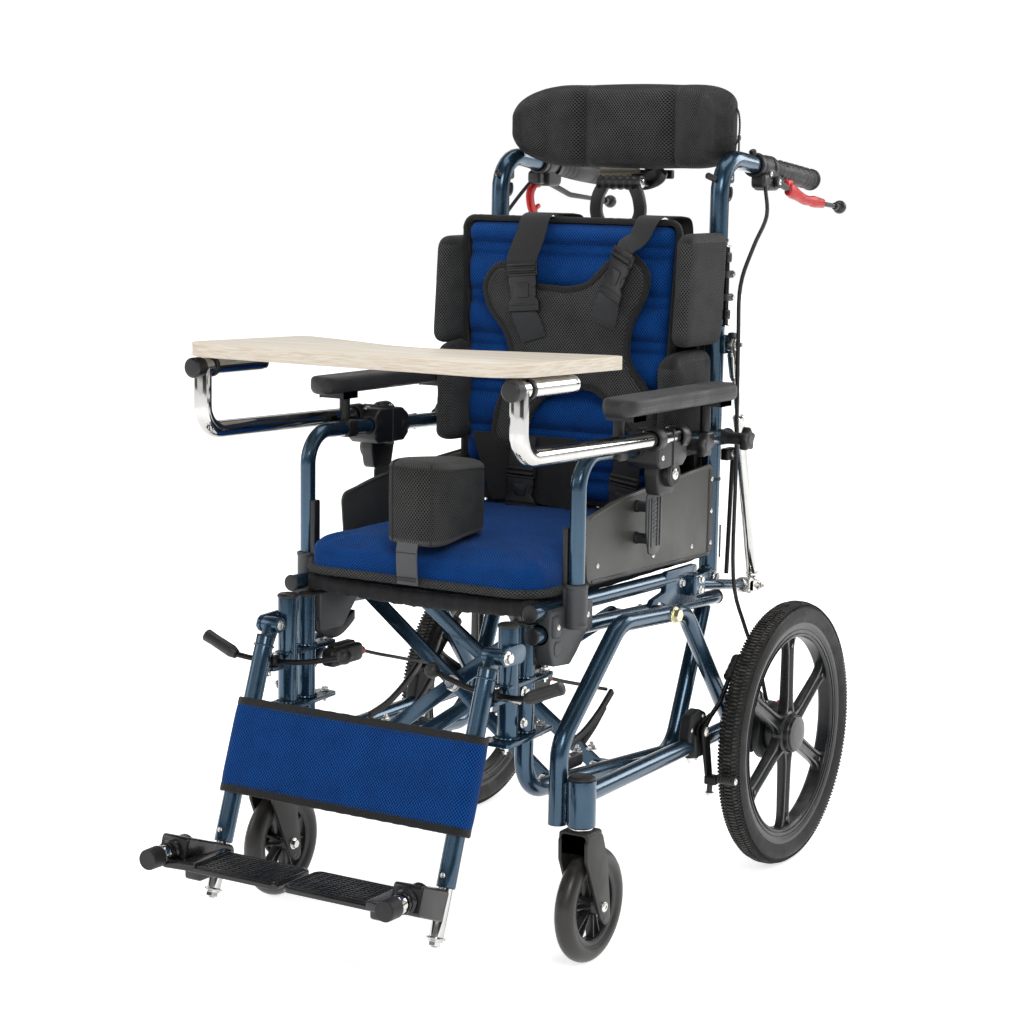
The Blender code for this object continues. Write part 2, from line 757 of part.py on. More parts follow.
def side_frame(name, side):
    x = side * OUTER_TUBE_X
    rail_x = side * LOWER_RAIL_X
    stem = (side * CASTER_X, STEM_Y)
    plate_outer = AXLE_PLATE_X + AXLE_PLATE_THICKNESS
    brake_outer = BRAKE_INNER_X + BRAKE_WIDTH
    collar = HUB_OUTER_X + GAP
    spacer = END_PLATE_X + END_PLATE_THICKNESS + GAP
    head = SEAT_TUBE_X - SEAT_TUBE_RADIUS - GAP
    lock_head = SHOE_ARM_X + SHOE_ARM_THICKNESS + GAP
    pieces = [
        tube(bent([at(x, p) for p in OUTER_PATH], OUTER_BEND), FRAME_TUBE_RADIUS),
        tube([at(rail_x, p) for p in LOWER_RAIL], FRAME_TUBE_RADIUS),
        rod((*stem, HOUSING_LOW), (*stem, HOUSING_TOP), HOUSING_RADIUS, ROUND_SIDES),
        rod((*stem, HOUSING_TOP - GAP), (*stem, HOUSING_TOP + HOUSING_CAP_HEIGHT), HOUSING_CAP_RADIUS),
        box((x, side * CASTER_X), (STEM_Y - 0.010, STEM_Y + 0.004), (HOUSING_LOW + 0.010, HOUSING_TOP - 0.012)),
        plate(rounded(AXLE_PLATE, 0.008), "X", (side * AXLE_PLATE_X, side * plate_outer)),
        pin(side, (plate_outer - 0.002, BRAKE_INNER_X + 0.002), AXLE, BRAKE_RADIUS / 2),
        pin(side, (BRAKE_INNER_X, brake_outer), AXLE, BRAKE_RADIUS, ROUND_STEPS),
        pin(side, (brake_outer - 0.002, collar + 0.001), AXLE, AXLE_RADIUS),
        pin(side, (collar, collar + AXLE_COLLAR_WIDTH), AXLE, AXLE_COLLAR_RADIUS),
        pin(side, (OUTER_TUBE_X, LOCK_BODY_X), LOCK_PIVOT, LOCK_BODY_RADIUS, ROUND_SIDES),
        pin(side, (LOCK_BODY_X - 0.002, lock_head + 0.001), LOCK_PIVOT, LOCK_PIN_RADIUS),
        pin(side, (lock_head, lock_head + LOCK_HEAD_WIDTH), LOCK_PIVOT, LOCK_HEAD_RADIUS),
        pin(side, (head - 0.001, TILT_NUT_X - 0.002), TILT_PIVOT, TILT_PIN_RADIUS),
        pin(side, (head - TILT_HEAD_WIDTH, head), TILT_PIVOT, TILT_HEAD_RADIUS),
        pin(side, (spacer, OUTER_TUBE_X), TILT_PIVOT, TILT_SPACER_RADIUS),
        pin(side, (OUTER_TUBE_X, TILT_NUT_X), TILT_PIVOT, TILT_SPACER_RADIUS, HEX_SIDES),
    ]
    bore_top = STEM_TOP + 0.004
    bore = rod((*stem, HOUSING_LOW - 0.01), (*stem, bore_top), STEM_RADIUS + PIN_PLAY, ROUND_SIDES)
    finish(name, STEEL_BLUE, pieces, [bore])


def wheel_lock_lever(name, side, carried_by):
    hub = (LOCK_BODY_X + GAP, LOCK_BODY_X + GAP + LOCK_LEVER_WIDTH)
    rod_x = side * (LOCK_BODY_X + LOCK_LEVER_RADIUS + 2 * GAP)
    grip_x = side * LOCK_GRIP_X
    path = bent([at(rod_x, LOCK_PIVOT), at(rod_x, LOCK_LEVER_BEND), at(grip_x, LOCK_LEVER_END)], 0.02)
    pieces = [
        pin(side, hub, LOCK_PIVOT, LOCK_HUB_RADIUS, ROUND_SIDES),
        tube(path, LOCK_LEVER_RADIUS, 2),
        rod(at(grip_x, LOCK_LEVER_END), at(grip_x, LOCK_GRIP_END), LOCK_GRIP_RADIUS, GRIP_SIDES),
    ]
    bore = pin(side, (LOCK_BODY_X - 0.01, SHOE_ARM_X), LOCK_PIVOT, LOCK_PIN_RADIUS + PIN_PLAY, ROUND_SIDES)
    finish(name, DARK_STEEL, pieces, [bore], carried_by)


def wheel_lock_shoe(name, side, carried_by):
    arm = (SHOE_ARM_X, SHOE_ARM_X + SHOE_ARM_THICKNESS)
    pieces = [
        side_link(side, arm, LOCK_PIVOT, SHOE, SHOE_ARM_HALF_WIDTH),
        pin(side, (SHOE_ARM_X, SHOE_OUTER_X), SHOE, SHOE_RADIUS),
    ]
    bore = pin(side, (LOCK_BODY_X, SHOE_OUTER_X), LOCK_PIVOT, LOCK_PIN_RADIUS + PIN_PLAY, ROUND_SIDES)
    finish(name, DARK_STEEL, pieces, [bore], carried_by)


def caster_fork(name, side, carried_by):
    x = side * CASTER_X
    axle = (STEM_Y + CASTER_TRAIL, CASTER_RADIUS)
    crown_end = (STEM_Y, CROWN_LOW + 0.010)
    inner = FORK_GAP / 2
    outer = inner + FORK_LEG
    pieces = [
        rod((x, STEM_Y, CROWN_LOW), (x, STEM_Y, CROWN_TOP), CROWN_RADIUS, ROUND_SIDES),
        rod((x, STEM_Y, CROWN_TOP - 0.005), (x, STEM_Y, STEM_TOP), STEM_RADIUS),
        rod(at(x - outer - 0.003, axle), at(x + outer + 0.003, axle), CASTER_BOLT_RADIUS),
    ]
    for way in (-1, 1):
        outline = link_outline(crown_end, axle, FORK_LEG_HALF_WIDTH)
        pieces.append(plate(outline, "X", (x + way * inner, x + way * outer)))
        pieces.append(rod(at(x + way * (outer - 0.001), axle), at(x + way * (outer + 0.004), axle), 0.0075, HEX_SIDES))
    finish(name, DARK_STEEL, pieces, [], carried_by)


def caster_wheel(name, side, carried_by):
    bore = CASTER_BOLT_RADIUS + PIN_PLAY
    hub = FORK_GAP / 2 - GAP
    web = CASTER_WEB_WIDTH / 2
    edge = CASTER_WIDTH / 2
    tread = CASTER_RADIUS
    half = [
        (bore, hub),
        (CASTER_HUB_RADIUS, web),
        (CASTER_RIM_RADIUS, web),
        (CASTER_RIM_RADIUS + 0.004, edge),
        (tread, edge - 0.007),
    ]
    profile = half + [(r, -h) for r, h in reversed(half)]
    centre = (side * CASTER_X, STEM_Y + CASTER_TRAIL, CASTER_RADIUS)
    finish(name, RUBBER, [turned(profile, "X", centre, ROUND_STEPS, True)], [], carried_by)


def rear_wheel(name, side, carried_by):
    rim_outer = REAR_WHEEL_RADIUS - TYRE_DEPTH - GAP
    rim_inner = rim_outer - RIM_DEPTH
    half_rim = RIM_WIDTH / 2
    centre = Vector(at(side * WHEEL_PLANE_X, AXLE))
    rim_profile = [
        (rim_inner, -half_rim + 0.003),
        (rim_outer, -half_rim),
        (rim_outer, half_rim),
        (rim_inner, half_rim - 0.003),
    ]
    pieces = [
        turned(rim_profile, "X", centre, FINE_STEPS, True),
        pin(side, (HUB_INNER_X, HUB_OUTER_X), AXLE, HUB_RADIUS, ROUND_SIDES),
    ]
    spoke_start = HUB_RADIUS - 0.008
    spoke_end = rim_inner + 0.006
    for k in range(SPOKES):
        spoke = box(
            (-SPOKE_THICKNESS / 2, SPOKE_THICKNESS / 2),
            (-SPOKE_WIDTH / 2, SPOKE_WIDTH / 2),
            (spoke_start, spoke_end),
        )
        spoke.data.transform(Matrix.Translation(centre) @ Matrix.Rotation(math.tau * k / SPOKES, 4, "X"))
        pieces.append(spoke)
    bore = pin(side, (BRAKE_INNER_X, HUB_OUTER_X + 0.01), AXLE, AXLE_RADIUS + PIN_PLAY, ROUND_SIDES)
    finish(name, BLACK_PLASTIC, pieces, [bore], carried_by)


def rear_tyre(name, side, carried_by):
    seat = REAR_WHEEL_RADIUS - TYRE_DEPTH
    tread = REAR_WHEEL_RADIUS
    half = TYRE_WIDTH / 2
    shoulder = [
        (seat, RIM_WIDTH / 2),
        (seat + 0.008, half),
        (tread - 0.010, half - 0.001),
        (tread, half - 0.011),
    ]
    profile = shoulder + [(r, -h) for r, h in reversed(shoulder)]
    centre = at(side * WHEEL_PLANE_X, AXLE)
    finish(name, RUBBER, [turned(profile, "X", centre, FINE_STEPS, True)], [], carried_by)


# Seat frame


def inner_frame(name, side, carried_by):
    x = side * INNER_TUBE_X
    seat_x = side * SEAT_TUBE_X
    loop_y = INNER_LOOP[0][0]
    casting_y = (CASTING_FRONT, CASTING_BACK)
    casting_top = CUSHION_LOW - 0.0095
    under_sling = SLING_LOW - 0.0040
    ear = (LEG_EAR_X, LEG_EAR_X + LEG_EAR_THICKNESS)
    weld_x = (x, side * (LEG_EAR_X + LEG_EAR_THICKNESS / 2))
    ear_z = (LEG_PIVOT[1] - LEG_EAR_HALF_WIDTH, LEG_PIVOT[1] + LEG_EAR_HALF_WIDTH)
    leg_head = KNUCKLE_INNER_X - GAP
    lever_x = x
    bracket_top = LEVER_HUB_LOW - GAP
    lever_head = LEVER_HUB_TOP + GAP
    recline_plate = (RECLINE_PLATE_X, RECLINE_PLATE_X + RECLINE_PLATE_THICKNESS)
    arm_x = side * STRUT_ARM_X
    fork_inner = STRUT_X - STRUT_EYE_HALF_WIDTH - GAP
    fork_outer = STRUT_X + STRUT_EYE_HALF_WIDTH + GAP
    fork_x = (side * (fork_inner - CLEVIS_PLATE), side * (fork_outer + CLEVIS_PLATE))
    arm_end = STRUT_ARM[1]
    socket = (side * ARM_TUBE_X, ARM_FRONT_Y)
    pieces = [
        tube(bent([at(x, p) for p in INNER_LOOP], INNER_BEND), FRAME_TUBE_RADIUS),
        rod((x, FRONT_POST_Y, FRONT_POST_LOW), (x, FRONT_POST_Y, FRONT_POST_TOP), POST_RADIUS),
        box((x - 0.022, x + 0.022), (FRONT_POST_Y - 0.030, loop_y), (LOW_TAB_Z, LOW_TAB_Z + TAB_THICKNESS)),
        box((x - 0.015, x + 0.015), (FRONT_POST_Y, TAB_BOLT_Y - 0.002), (HIGH_TAB_Z, HIGH_TAB_Z + TAB_THICKNESS)),
        rod((x, TAB_BOLT_Y - 0.005, HIGH_TAB_Z - 0.008), (x, TAB_BOLT_Y - 0.005, HIGH_TAB_Z + 0.014), TAB_BOLT_RADIUS),
        rod(at(seat_x, LOW_SEAT_TUBE[0]), at(seat_x, LOW_SEAT_TUBE[1]), SEAT_TUBE_RADIUS),
        rod(at(seat_x, HIGH_SEAT_TUBE[0]), at(seat_x, HIGH_SEAT_TUBE[1]), SEAT_TUBE_RADIUS),
        box((seat_x - side * SEAT_TUBE_RADIUS, side * CASTING_OUTER_X), casting_y, (CASTING_LOW, casting_top)),
        box((side * CASTING_INNER_X, seat_x), casting_y, (CASTING_LOW, under_sling)),
        plate(END_PLATE, "X", (side * END_PLATE_X, side * (END_PLATE_X + END_PLATE_THICKNESS))),
        side_link(side, ear, LEG_PIVOT, (FRONT_POST_Y, LEG_PIVOT[1]), LEG_EAR_HALF_WIDTH),
        box(weld_x, (FRONT_POST_Y - POST_RADIUS, FRONT_POST_Y + POST_RADIUS), ear_z),
        pin(side, (leg_head - 0.001, LEG_EAR_X + 0.002), LEG_PIVOT, LEG_PIN_RADIUS),
        pin(side, (leg_head - 0.002, leg_head), LEG_PIVOT, LEG_PIN_HEAD_RADIUS),
        box((x - 0.008, x + 0.008), (LEVER_PIVOT_Y - 0.010, FRONT_POST_Y), (bracket_top - 0.006, bracket_top)),
        rod((lever_x, LEVER_PIVOT_Y, bracket_top - 0.004), (lever_x, LEVER_PIVOT_Y, lever_head + 0.001), LEVER_PIN_RADIUS),
        rod((lever_x, LEVER_PIVOT_Y, lever_head), (lever_x, LEVER_PIVOT_Y, lever_head + 0.003), LEVER_PIN_HEAD_RADIUS),
        rod(at(arm_x, STRUT_ARM[0]), at(arm_x, arm_end), STRUT_ARM_RADIUS),
        box((side * 0.198, side * 0.2205), (-0.200, -0.165), (0.438, 0.470)),
        side_link(side, recline_plate, (-0.170, RECLINE_PIVOT[1]), RECLINE_PIVOT, RECLINE_PLATE_HALF_WIDTH),
        pin(side, (RECLINE_HINGE_X[0], RECLINE_PLATE_X + 0.003), RECLINE_PIVOT, RECLINE_PIN_RADIUS),
        box(fork_x, (arm_end[0] - 0.008, FORK_END_Y), (arm_end[1] - 0.012, arm_end[1] + 0.012)),
        side_link(side, (fork_inner - CLEVIS_PLATE, fork_inner), arm_end, STRUT_FOOT, CLEVIS_HALF_WIDTH),
        side_link(side, (fork_outer, fork_outer + CLEVIS_PLATE), arm_end, STRUT_FOOT, CLEVIS_HALF_WIDTH),
        pin(side, (fork_inner - 0.002, fork_outer + 0.002), STRUT_FOOT, STRUT_PIN_RADIUS),
        rod((*socket, ARM_SOCKET_LOW), (*socket, ARM_SOCKET_TOP), ARM_SOCKET_RADIUS, ROUND_SIDES),
    ]
    tilt_bore = pin(side, (INNER_TUBE_X - 0.01, OUTER_TUBE_X), TILT_PIVOT, TILT_PIN_RADIUS + PIN_PLAY, ROUND_SIDES)
    arm_bore = rod(
        (*socket, ARM_FOOT_Z - GAP), (*socket, ARM_SOCKET_TOP + 0.01), ARM_TUBE_RADIUS + SOCKET_PLAY, ROUND_SIDES
    )
    finish(name, STEEL_BLUE, pieces, [tilt_bore, arm_bore], carried_by)


def along(line, y):
    """The Z of a straight line of the side view at a place Y."""
    (y0, z0), (y1, z1) = line
    return z0 + (z1 - z0) * (y - y0) / (y1 - y0)


def x_brace(name, y, head_x, head_z, bracket_x, carried_by):
    """Two crossed flat bars, one behind the other, with a bolt through both and a bracket at each end."""
    rail = (INNER_LOOP[1], INNER_LOOP[2])
    foot_z = along(rail, y)
    foot_bracket = INNER_TUBE_X - FRAME_TUBE_RADIUS - GAP
    thick = BRACE_BAR_THICKNESS
    middle = (foot_z + head_z) / 2
    pieces = [rod((0, y - thick - 0.006, middle), (0, y + thick + 0.006, middle), BRACE_BOLT_RADIUS, HEX_SIDES)]
    for side, near in ((1, y - thick - GAP / 2), (-1, y + GAP / 2)):
        bar = link_outline((side * BRACE_FOOT_X, foot_z), (-side * head_x, head_z), BRACE_BAR_HALF_WIDTH)
        pieces.append(plate(bar, "Y", (near, near + thick)))
        for end, reach, z in ((side * BRACE_FOOT_X, side * foot_bracket, foot_z), (-side * head_x, -side * bracket_x, head_z)):
            block_y = (y - BRACE_BRACKET_HALF_WIDTH, y + BRACE_BRACKET_HALF_WIDTH)
            pieces.append(box((end, reach), block_y, (z - BRACE_BRACKET_HALF_HEIGHT, z + BRACE_BRACKET_HALF_HEIGHT)))
    finish(name, STEEL_BLUE, pieces, [], carried_by)


def seat_sling(carried_by):
    half = SEAT_TUBE_X - SEAT_TUBE_RADIUS - GAP
    top = SLING_LOW + SLING_THICKNESS
    roll = (SLING_FRONT + SLING_ROLL_RADIUS / 2, top - SLING_ROLL_RADIUS)
    pieces = [
        box((-half, half), (SLING_FRONT, SLING_BACK), (SLING_LOW, top)),
        rod(at(-half, roll), at(half, roll), SLING_ROLL_RADIUS),
    ]
    finish("seat_sling", BLACK_MESH, pieces, [], carried_by)


def seat_cushion(carried_by):
    block = box(
        (-CUSHION_HALF_WIDTH, CUSHION_HALF_WIDTH), (CUSHION_FRONT, CUSHION_BACK), (CUSHION_LOW, CUSHION_TOP)
    )
    finish("seat_cushion", BLUE_MESH, [softened(block, CUSHION_ROUND, 2)], [], carried_by)


def pommel(carried_by):
    half = [
        (0.0, POMMEL_FRONT),
        (POMMEL_FRONT_HALF_WIDTH, POMMEL_FRONT),
        (POMMEL_BACK_HALF_WIDTH, POMMEL_BACK),
        (0.0, POMMEL_BACK),
    ]
    block = plate(mirrored(half), "Z", (CUSHION_TOP + GAP, POMMEL_TOP))
    finish("pommel", BLACK_MESH, [softened(block, POMMEL_ROUND)], [], carried_by)


def side_panel(name, side, carried_by):
    outer = PANEL_X + PANEL_THICKNESS
    middle = sum(HANG_BAR_Y) / 2
    pieces = [plate(rounded(PANEL, PANEL_CORNER), "X", (side * PANEL_X, side * outer))]
    for z in SPACER_Z:
        pieces.append(pin(side, (outer - 0.001, CLAMP_FOOT_X[0] - GAP), (middle, z), SPACER_RADIUS, GRIP_SIDES))
    finish(name, GREY_PLASTIC, pieces, [], carried_by)


# Arm rests and tray


def pad_bottom(y):
    return PAD_FRONT_TOP - PAD_THICKNESS - (y - PAD_FRONT) * PAD_DROP


def knob_point(y):
    return (y, along(ARM_PATH[1:], y))


def arm_tube(name, side, carried_by):
    x = side * ARM_TUBE_X
    pieces = [tube(bent([at(x, p) for p in ARM_PATH], ARM_BEND), ARM_TUBE_RADIUS)]
    for y in PAD_POST_Y:
        foot = (side * PAD_POST_X, y, along(ARM_PATH[1:], y))
        pieces.append(rod(foot, (side * PAD_POST_X, y, pad_bottom(y) - GAP), PAD_POST_RADIUS, GRIP_SIDES))
        pieces.append(box((x, foot[0] + side * PAD_POST_RADIUS), (y - 0.009, y + 0.009), (foot[2] - 0.006, foot[2] + 0.005)))
    pieces.append(pin(side, (ARM_TUBE_X, KNOB_BOSS_X), knob_point(KNOB_Y), KNOB_BOSS_RADIUS))
    pieces.append(pin(side, (ARM_TUBE_X, KNOB_BOSS_X + 0.001), knob_point(REAR_KNOB_Y), KNOB_BOSS_RADIUS))
    pieces.append(
        pin(side, (KNOB_BOSS_X, KNOB_BOSS_X + KNOB_WIDTH), knob_point(REAR_KNOB_Y), KNOB_RADIUS, 2 * KNOB_LOBES)
    )
    stud = (KNOB_BOSS_X - KNOB_STUD_LENGTH - 0.001, KNOB_BOSS_X + 0.01)
    bore = pin(side, stud, knob_point(KNOB_Y), KNOB_STUD_RADIUS + PIN_PLAY, ROUND_SIDES)
    finish(name, STEEL_BLUE, pieces, [bore], carried_by)


def arm_knob(name, side, carried_by):
    centre = knob_point(KNOB_Y)
    face = KNOB_BOSS_X + GAP
    outline = []
    for k in range(4 * KNOB_LOBES):
        angle = math.tau * k / (4 * KNOB_LOBES)
        radius = KNOB_RADIUS - 0.003 * (1 - math.cos(KNOB_LOBES * angle)) / 2
        outline.append((centre[0] + radius * math.cos(angle), centre[1] + radius * math.sin(angle)))
    pieces = [
        plate(outline, "X", (side * face, side * (face + KNOB_WIDTH))),
        pin(side, (KNOB_BOSS_X - KNOB_STUD_LENGTH, face + 0.002), centre, KNOB_STUD_RADIUS),
    ]
    finish(name, BLACK_PLASTIC, pieces, [], carried_by)


def arm_pad(name, side, carried_by):
    outline = [
        (PAD_FRONT, pad_bottom(PAD_FRONT)),
        (PAD_BACK, pad_bottom(PAD_BACK)),
        (PAD_BACK, pad_bottom(PAD_BACK) + PAD_THICKNESS),
        (PAD_FRONT, PAD_FRONT_TOP),
    ]
    block = plate(outline, "X", (side * PAD_X[0], side * PAD_X[1]))
    finish(name, BLACK_PLASTIC, [softened(block, PAD_ROUND)], [], carried_by)


def tray_line(y):
    return (y, along((TRAY_ARM_BACK, TRAY_ARM_FRONT), y))


def arm_clamp(name, side, carried_by):
    """The socket that the tray arm slides in, clamped on the arm tube, with the bar that holds the side panel."""
    socket_x = side * TRAY_ARM_X
    boss = ((HANG_BAR_Y[0] + HANG_BAR_Y[1]) / 2, CLAMP_BOSS_Z)
    foot_x = (side * CLAMP_FOOT_X[0], side * CLAMP_FOOT_X[1])
    bar_x = (side * CLAMP_FOOT_X[0], side * (CLAMP_FOOT_X[0] + HANG_BAR_THICKNESS))
    outer = TRAY_ARM_RADIUS + SOCKET_PLAY + SOCKET_WALL
    pieces = [
        box((side * CLAMP_X[0], side * CLAMP_X[1]), CLAMP_Y, CLAMP_Z),
        rod(at(socket_x, tray_line(CLAMP_Y[0])), at(socket_x, tray_line(CLAMP_Y[1])), outer, ROUND_SIDES),
        box(foot_x, (HANG_BAR_Y[0] - 0.008, HANG_BAR_Y[1] + 0.005), (CLAMP_FOOT_LOW, CLAMP_Z[0] + 0.005)),
        pin(side, (CLAMP_FOOT_X[1] - 0.005, CLAMP_X[1]), boss, CLAMP_BOSS_RADIUS, ROUND_SIDES),
        box(bar_x, HANG_BAR_Y, (HANG_BAR_LOW, CLAMP_FOOT_LOW + 0.005)),
    ]
    front = CLAMP_Y[0] - 0.01
    back = CLAMP_Y[1] + 0.01
    tray_bore = rod(
        at(socket_x, tray_line(front)), at(socket_x, tray_line(back)), TRAY_ARM_RADIUS + SOCKET_PLAY, ROUND_SIDES
    )
    tube_x = side * ARM_TUBE_X
    tube_bore = rod(
        at(tube_x, knob_point(front)), at(tube_x, knob_point(back)), ARM_TUBE_RADIUS + SOCKET_PLAY, ROUND_SIDES
    )
    finish(name, BLACK_PLASTIC, pieces, [tray_bore, tube_bore], carried_by)


def tray_arm(name, side, carried_by):
    x = side * TRAY_ARM_X
    rise = (TRAY_ARM_FRONT[0], along(TRAY_BAR, TRAY_ARM_FRONT[0]))
    path = bent([at(x, TRAY_ARM_BACK), at(x, TRAY_ARM_FRONT), at(x, rise)], TRAY_ARM_BEND)
    pieces = [tube(path, TRAY_ARM_RADIUS), rod(at(x, TRAY_BAR[0]), at(x, TRAY_BAR[1]), TRAY_ARM_RADIUS)]
    for y in SADDLE_Y:
        half = SADDLE_LENGTH / 2
        saddle_z = (along(TRAY_BAR, y), TRAY_LOW - GAP)
        pieces.append(box((x - SADDLE_HALF_WIDTH, x + SADDLE_HALF_WIDTH), (y - half, y + half), saddle_z))
    finish(name, CHROME, pieces, [], carried_by)


def tray_top(carried_by):
    front = arc(
        Vector((0, TRAY_FRONT, 0)),
        Vector((TRAY_HALF_WIDTH, TRAY_FRONT, 0)),
        Vector((TRAY_HALF_WIDTH, TRAY_BACK, 0)),
        TRAY_CORNER,
    )
    half = [(0.0, TRAY_FRONT), *[(p.x, p.y) for p in front]]
    half += [(TRAY_HALF_WIDTH, TRAY_BACK - 0.012), (TRAY_HALF_WIDTH - 0.012, TRAY_BACK)]
    half += [*TRAY_BELLY, (0.0, TRAY_BELLY_DEEPEST)]
    top = plate(mirrored(half), "Z", (TRAY_LOW, TRAY_LOW + TRAY_THICKNESS))
    finish("tray_top", BIRCH, [top], [], carried_by)


# Leg rests


def hanger_point(distance):
    """The point of the hanger's axis at a distance from its top."""
    return (HANGER_TOP[0] + HANGER_SLOPE[0] * distance, HANGER_TOP[1] + HANGER_SLOPE[1] * distance)


def hanger(name, side, carried_by):
    x = side * INNER_TUBE_X
    web_x = (KNUCKLE_INNER_X + 0.003, LEG_EAR_X - 0.003)
    pieces = [
        rod(at(x, HANGER_TOP), at(x, hanger_point(HANGER_LENGTH)), FRAME_TUBE_RADIUS, ROUND_SIDES),
        pin(side, (KNUCKLE_INNER_X, LEG_EAR_X - GAP), LEG_PIVOT, KNUCKLE_RADIUS),
        side_link(side, web_x, LEG_PIVOT, hanger_point(0.012), KNUCKLE_RADIUS - 0.002),
    ]
    bore = rod(
        at(x, hanger_point(HANGER_BORE_START)), at(x, hanger_point(HANGER_LENGTH + 0.01)), HANGER_BORE_RADIUS, ROUND_SIDES
    )
    pin_bore = pin(side, (KNUCKLE_INNER_X - 0.01, LEG_EAR_X + 0.01), LEG_PIVOT, LEG_PIN_RADIUS + PIN_PLAY, ROUND_SIDES)
    finish(name, STEEL_BLUE, pieces, [bore, pin_bore], carried_by)


def foot_tube(name, side, carried_by):
    x = side * INNER_TUBE_X
    housing = box((side * FOOT_HOUSING_X[0], side * FOOT_HOUSING_X[1]), FOOT_HOUSING_Y, FOOT_HOUSING_Z)
    flip = (side * FLIP_X, FLIP_Z)
    cap_back = FOOT_HOUSING_Y[0] - FLIP_RING_LENGTH - 2 * GAP
    pieces = [
        softened(housing, 0.006),
        rod(at(x, hanger_point(FOOT_TUBE_START)), at(x, hanger_point(FOOT_TUBE_END)), FOOT_TUBE_RADIUS, ROUND_SIDES),
        rod(at(x, hanger_point(FOOT_TUBE_END - FOOT_NUT_LENGTH)), at(x, hanger_point(FOOT_TUBE_END)), FOOT_NUT_RADIUS, HEX_SIDES),
        rod((flip[0], FOOT_HOUSING_Y[0] + 0.02, flip[1]), (flip[0], cap_back - 0.003, flip[1]), FLIP_SHAFT_RADIUS),
        rod((flip[0], cap_back, flip[1]), (flip[0], cap_back - FLIP_CAP_LENGTH, flip[1]), FLIP_CAP_RADIUS, ROUND_SIDES),
    ]
    finish(name, BLACK_PLASTIC, pieces, [], carried_by)


def footplate(name, side, carried_by):
    x0, x1 = FOOTPLATE_X
    y0, y1 = FOOTPLATE_Y
    outline = rounded([(side * x0, y0), (side * x1, y0), (side * x1, y1), (side * x0, y1)], FOOTPLATE_CORNER)
    ring_back = FOOT_HOUSING_Y[0] - GAP
    ring_front = ring_back - FLIP_RING_LENGTH
    flip_x = side * FLIP_X
    top = FOOTPLATE_Z + FOOTPLATE_THICKNESS
    pieces = [
        plate(outline, "Z", (FOOTPLATE_Z, top)),
        box((side * (x1 - 0.020), flip_x), (ring_front + 0.001, ring_back - 0.002), (FOOTPLATE_Z + 0.002, top + 0.003)),
        rod((flip_x, ring_back, FLIP_Z), (flip_x, ring_front, FLIP_Z), FLIP_RING_RADIUS, ROUND_SIDES),
    ]
    bore = rod(
        (flip_x, ring_back + 0.01, FLIP_Z), (flip_x, ring_front - 0.01, FLIP_Z), FLIP_SHAFT_RADIUS + PIN_PLAY, ROUND_SIDES
    )
    finish(name, BLACK_PLASTIC, pieces, [bore], carried_by)


def calf_strap(carried_by):
    forward = Vector((HANGER_SLOPE[1], -HANGER_SLOPE[0])).normalized()
    near = FRAME_TUBE_RADIUS + GAP
    far = near + CALF_STRAP_THICKNESS
    outline = []
    for z, lift in ((0, near), (1, near), (1, far), (0, far)):
        point = Vector(hanger_point((CALF_STRAP_Z[z] - HANGER_TOP[1]) / HANGER_SLOPE[1]))
        outline.append(tuple(point + forward * lift))
    strap = plate(outline, "X", (-CALF_STRAP_HALF_WIDTH, CALF_STRAP_HALF_WIDTH))
    finish("calf_strap", BLUE_MESH, [softened(strap, 0.0025)], [], carried_by)


def leg_lever(name, side, carried_by):
    path = [(side * x, y, z) for x, y, z in LEVER_ROD]
    grip_end = (side * LEVER_GRIP_END[0], *LEVER_GRIP_END[1:])
    centre = (side * INNER_TUBE_X, LEVER_PIVOT_Y)
    pieces = [
        rod((*centre, LEVER_HUB_LOW), (*centre, LEVER_HUB_TOP), LEVER_HUB_RADIUS),
        tube(path, LEVER_ROD_RADIUS, 2),
        rod(path[0], grip_end, LEVER_GRIP_RADIUS, GRIP_SIDES),
        ball(path[-1], LEVER_BALL_RADIUS),
    ]
    bore = rod((*centre, LEVER_HUB_LOW - 0.01), (*centre, LEVER_HUB_TOP + 0.01), LEVER_PIN_RADIUS + PIN_PLAY, ROUND_SIDES)
    finish(name, BLACK_PLASTIC, pieces, [bore], carried_by)


# Back


def handle_point(y):
    return (y, along(BACK_PATH[1:], y))


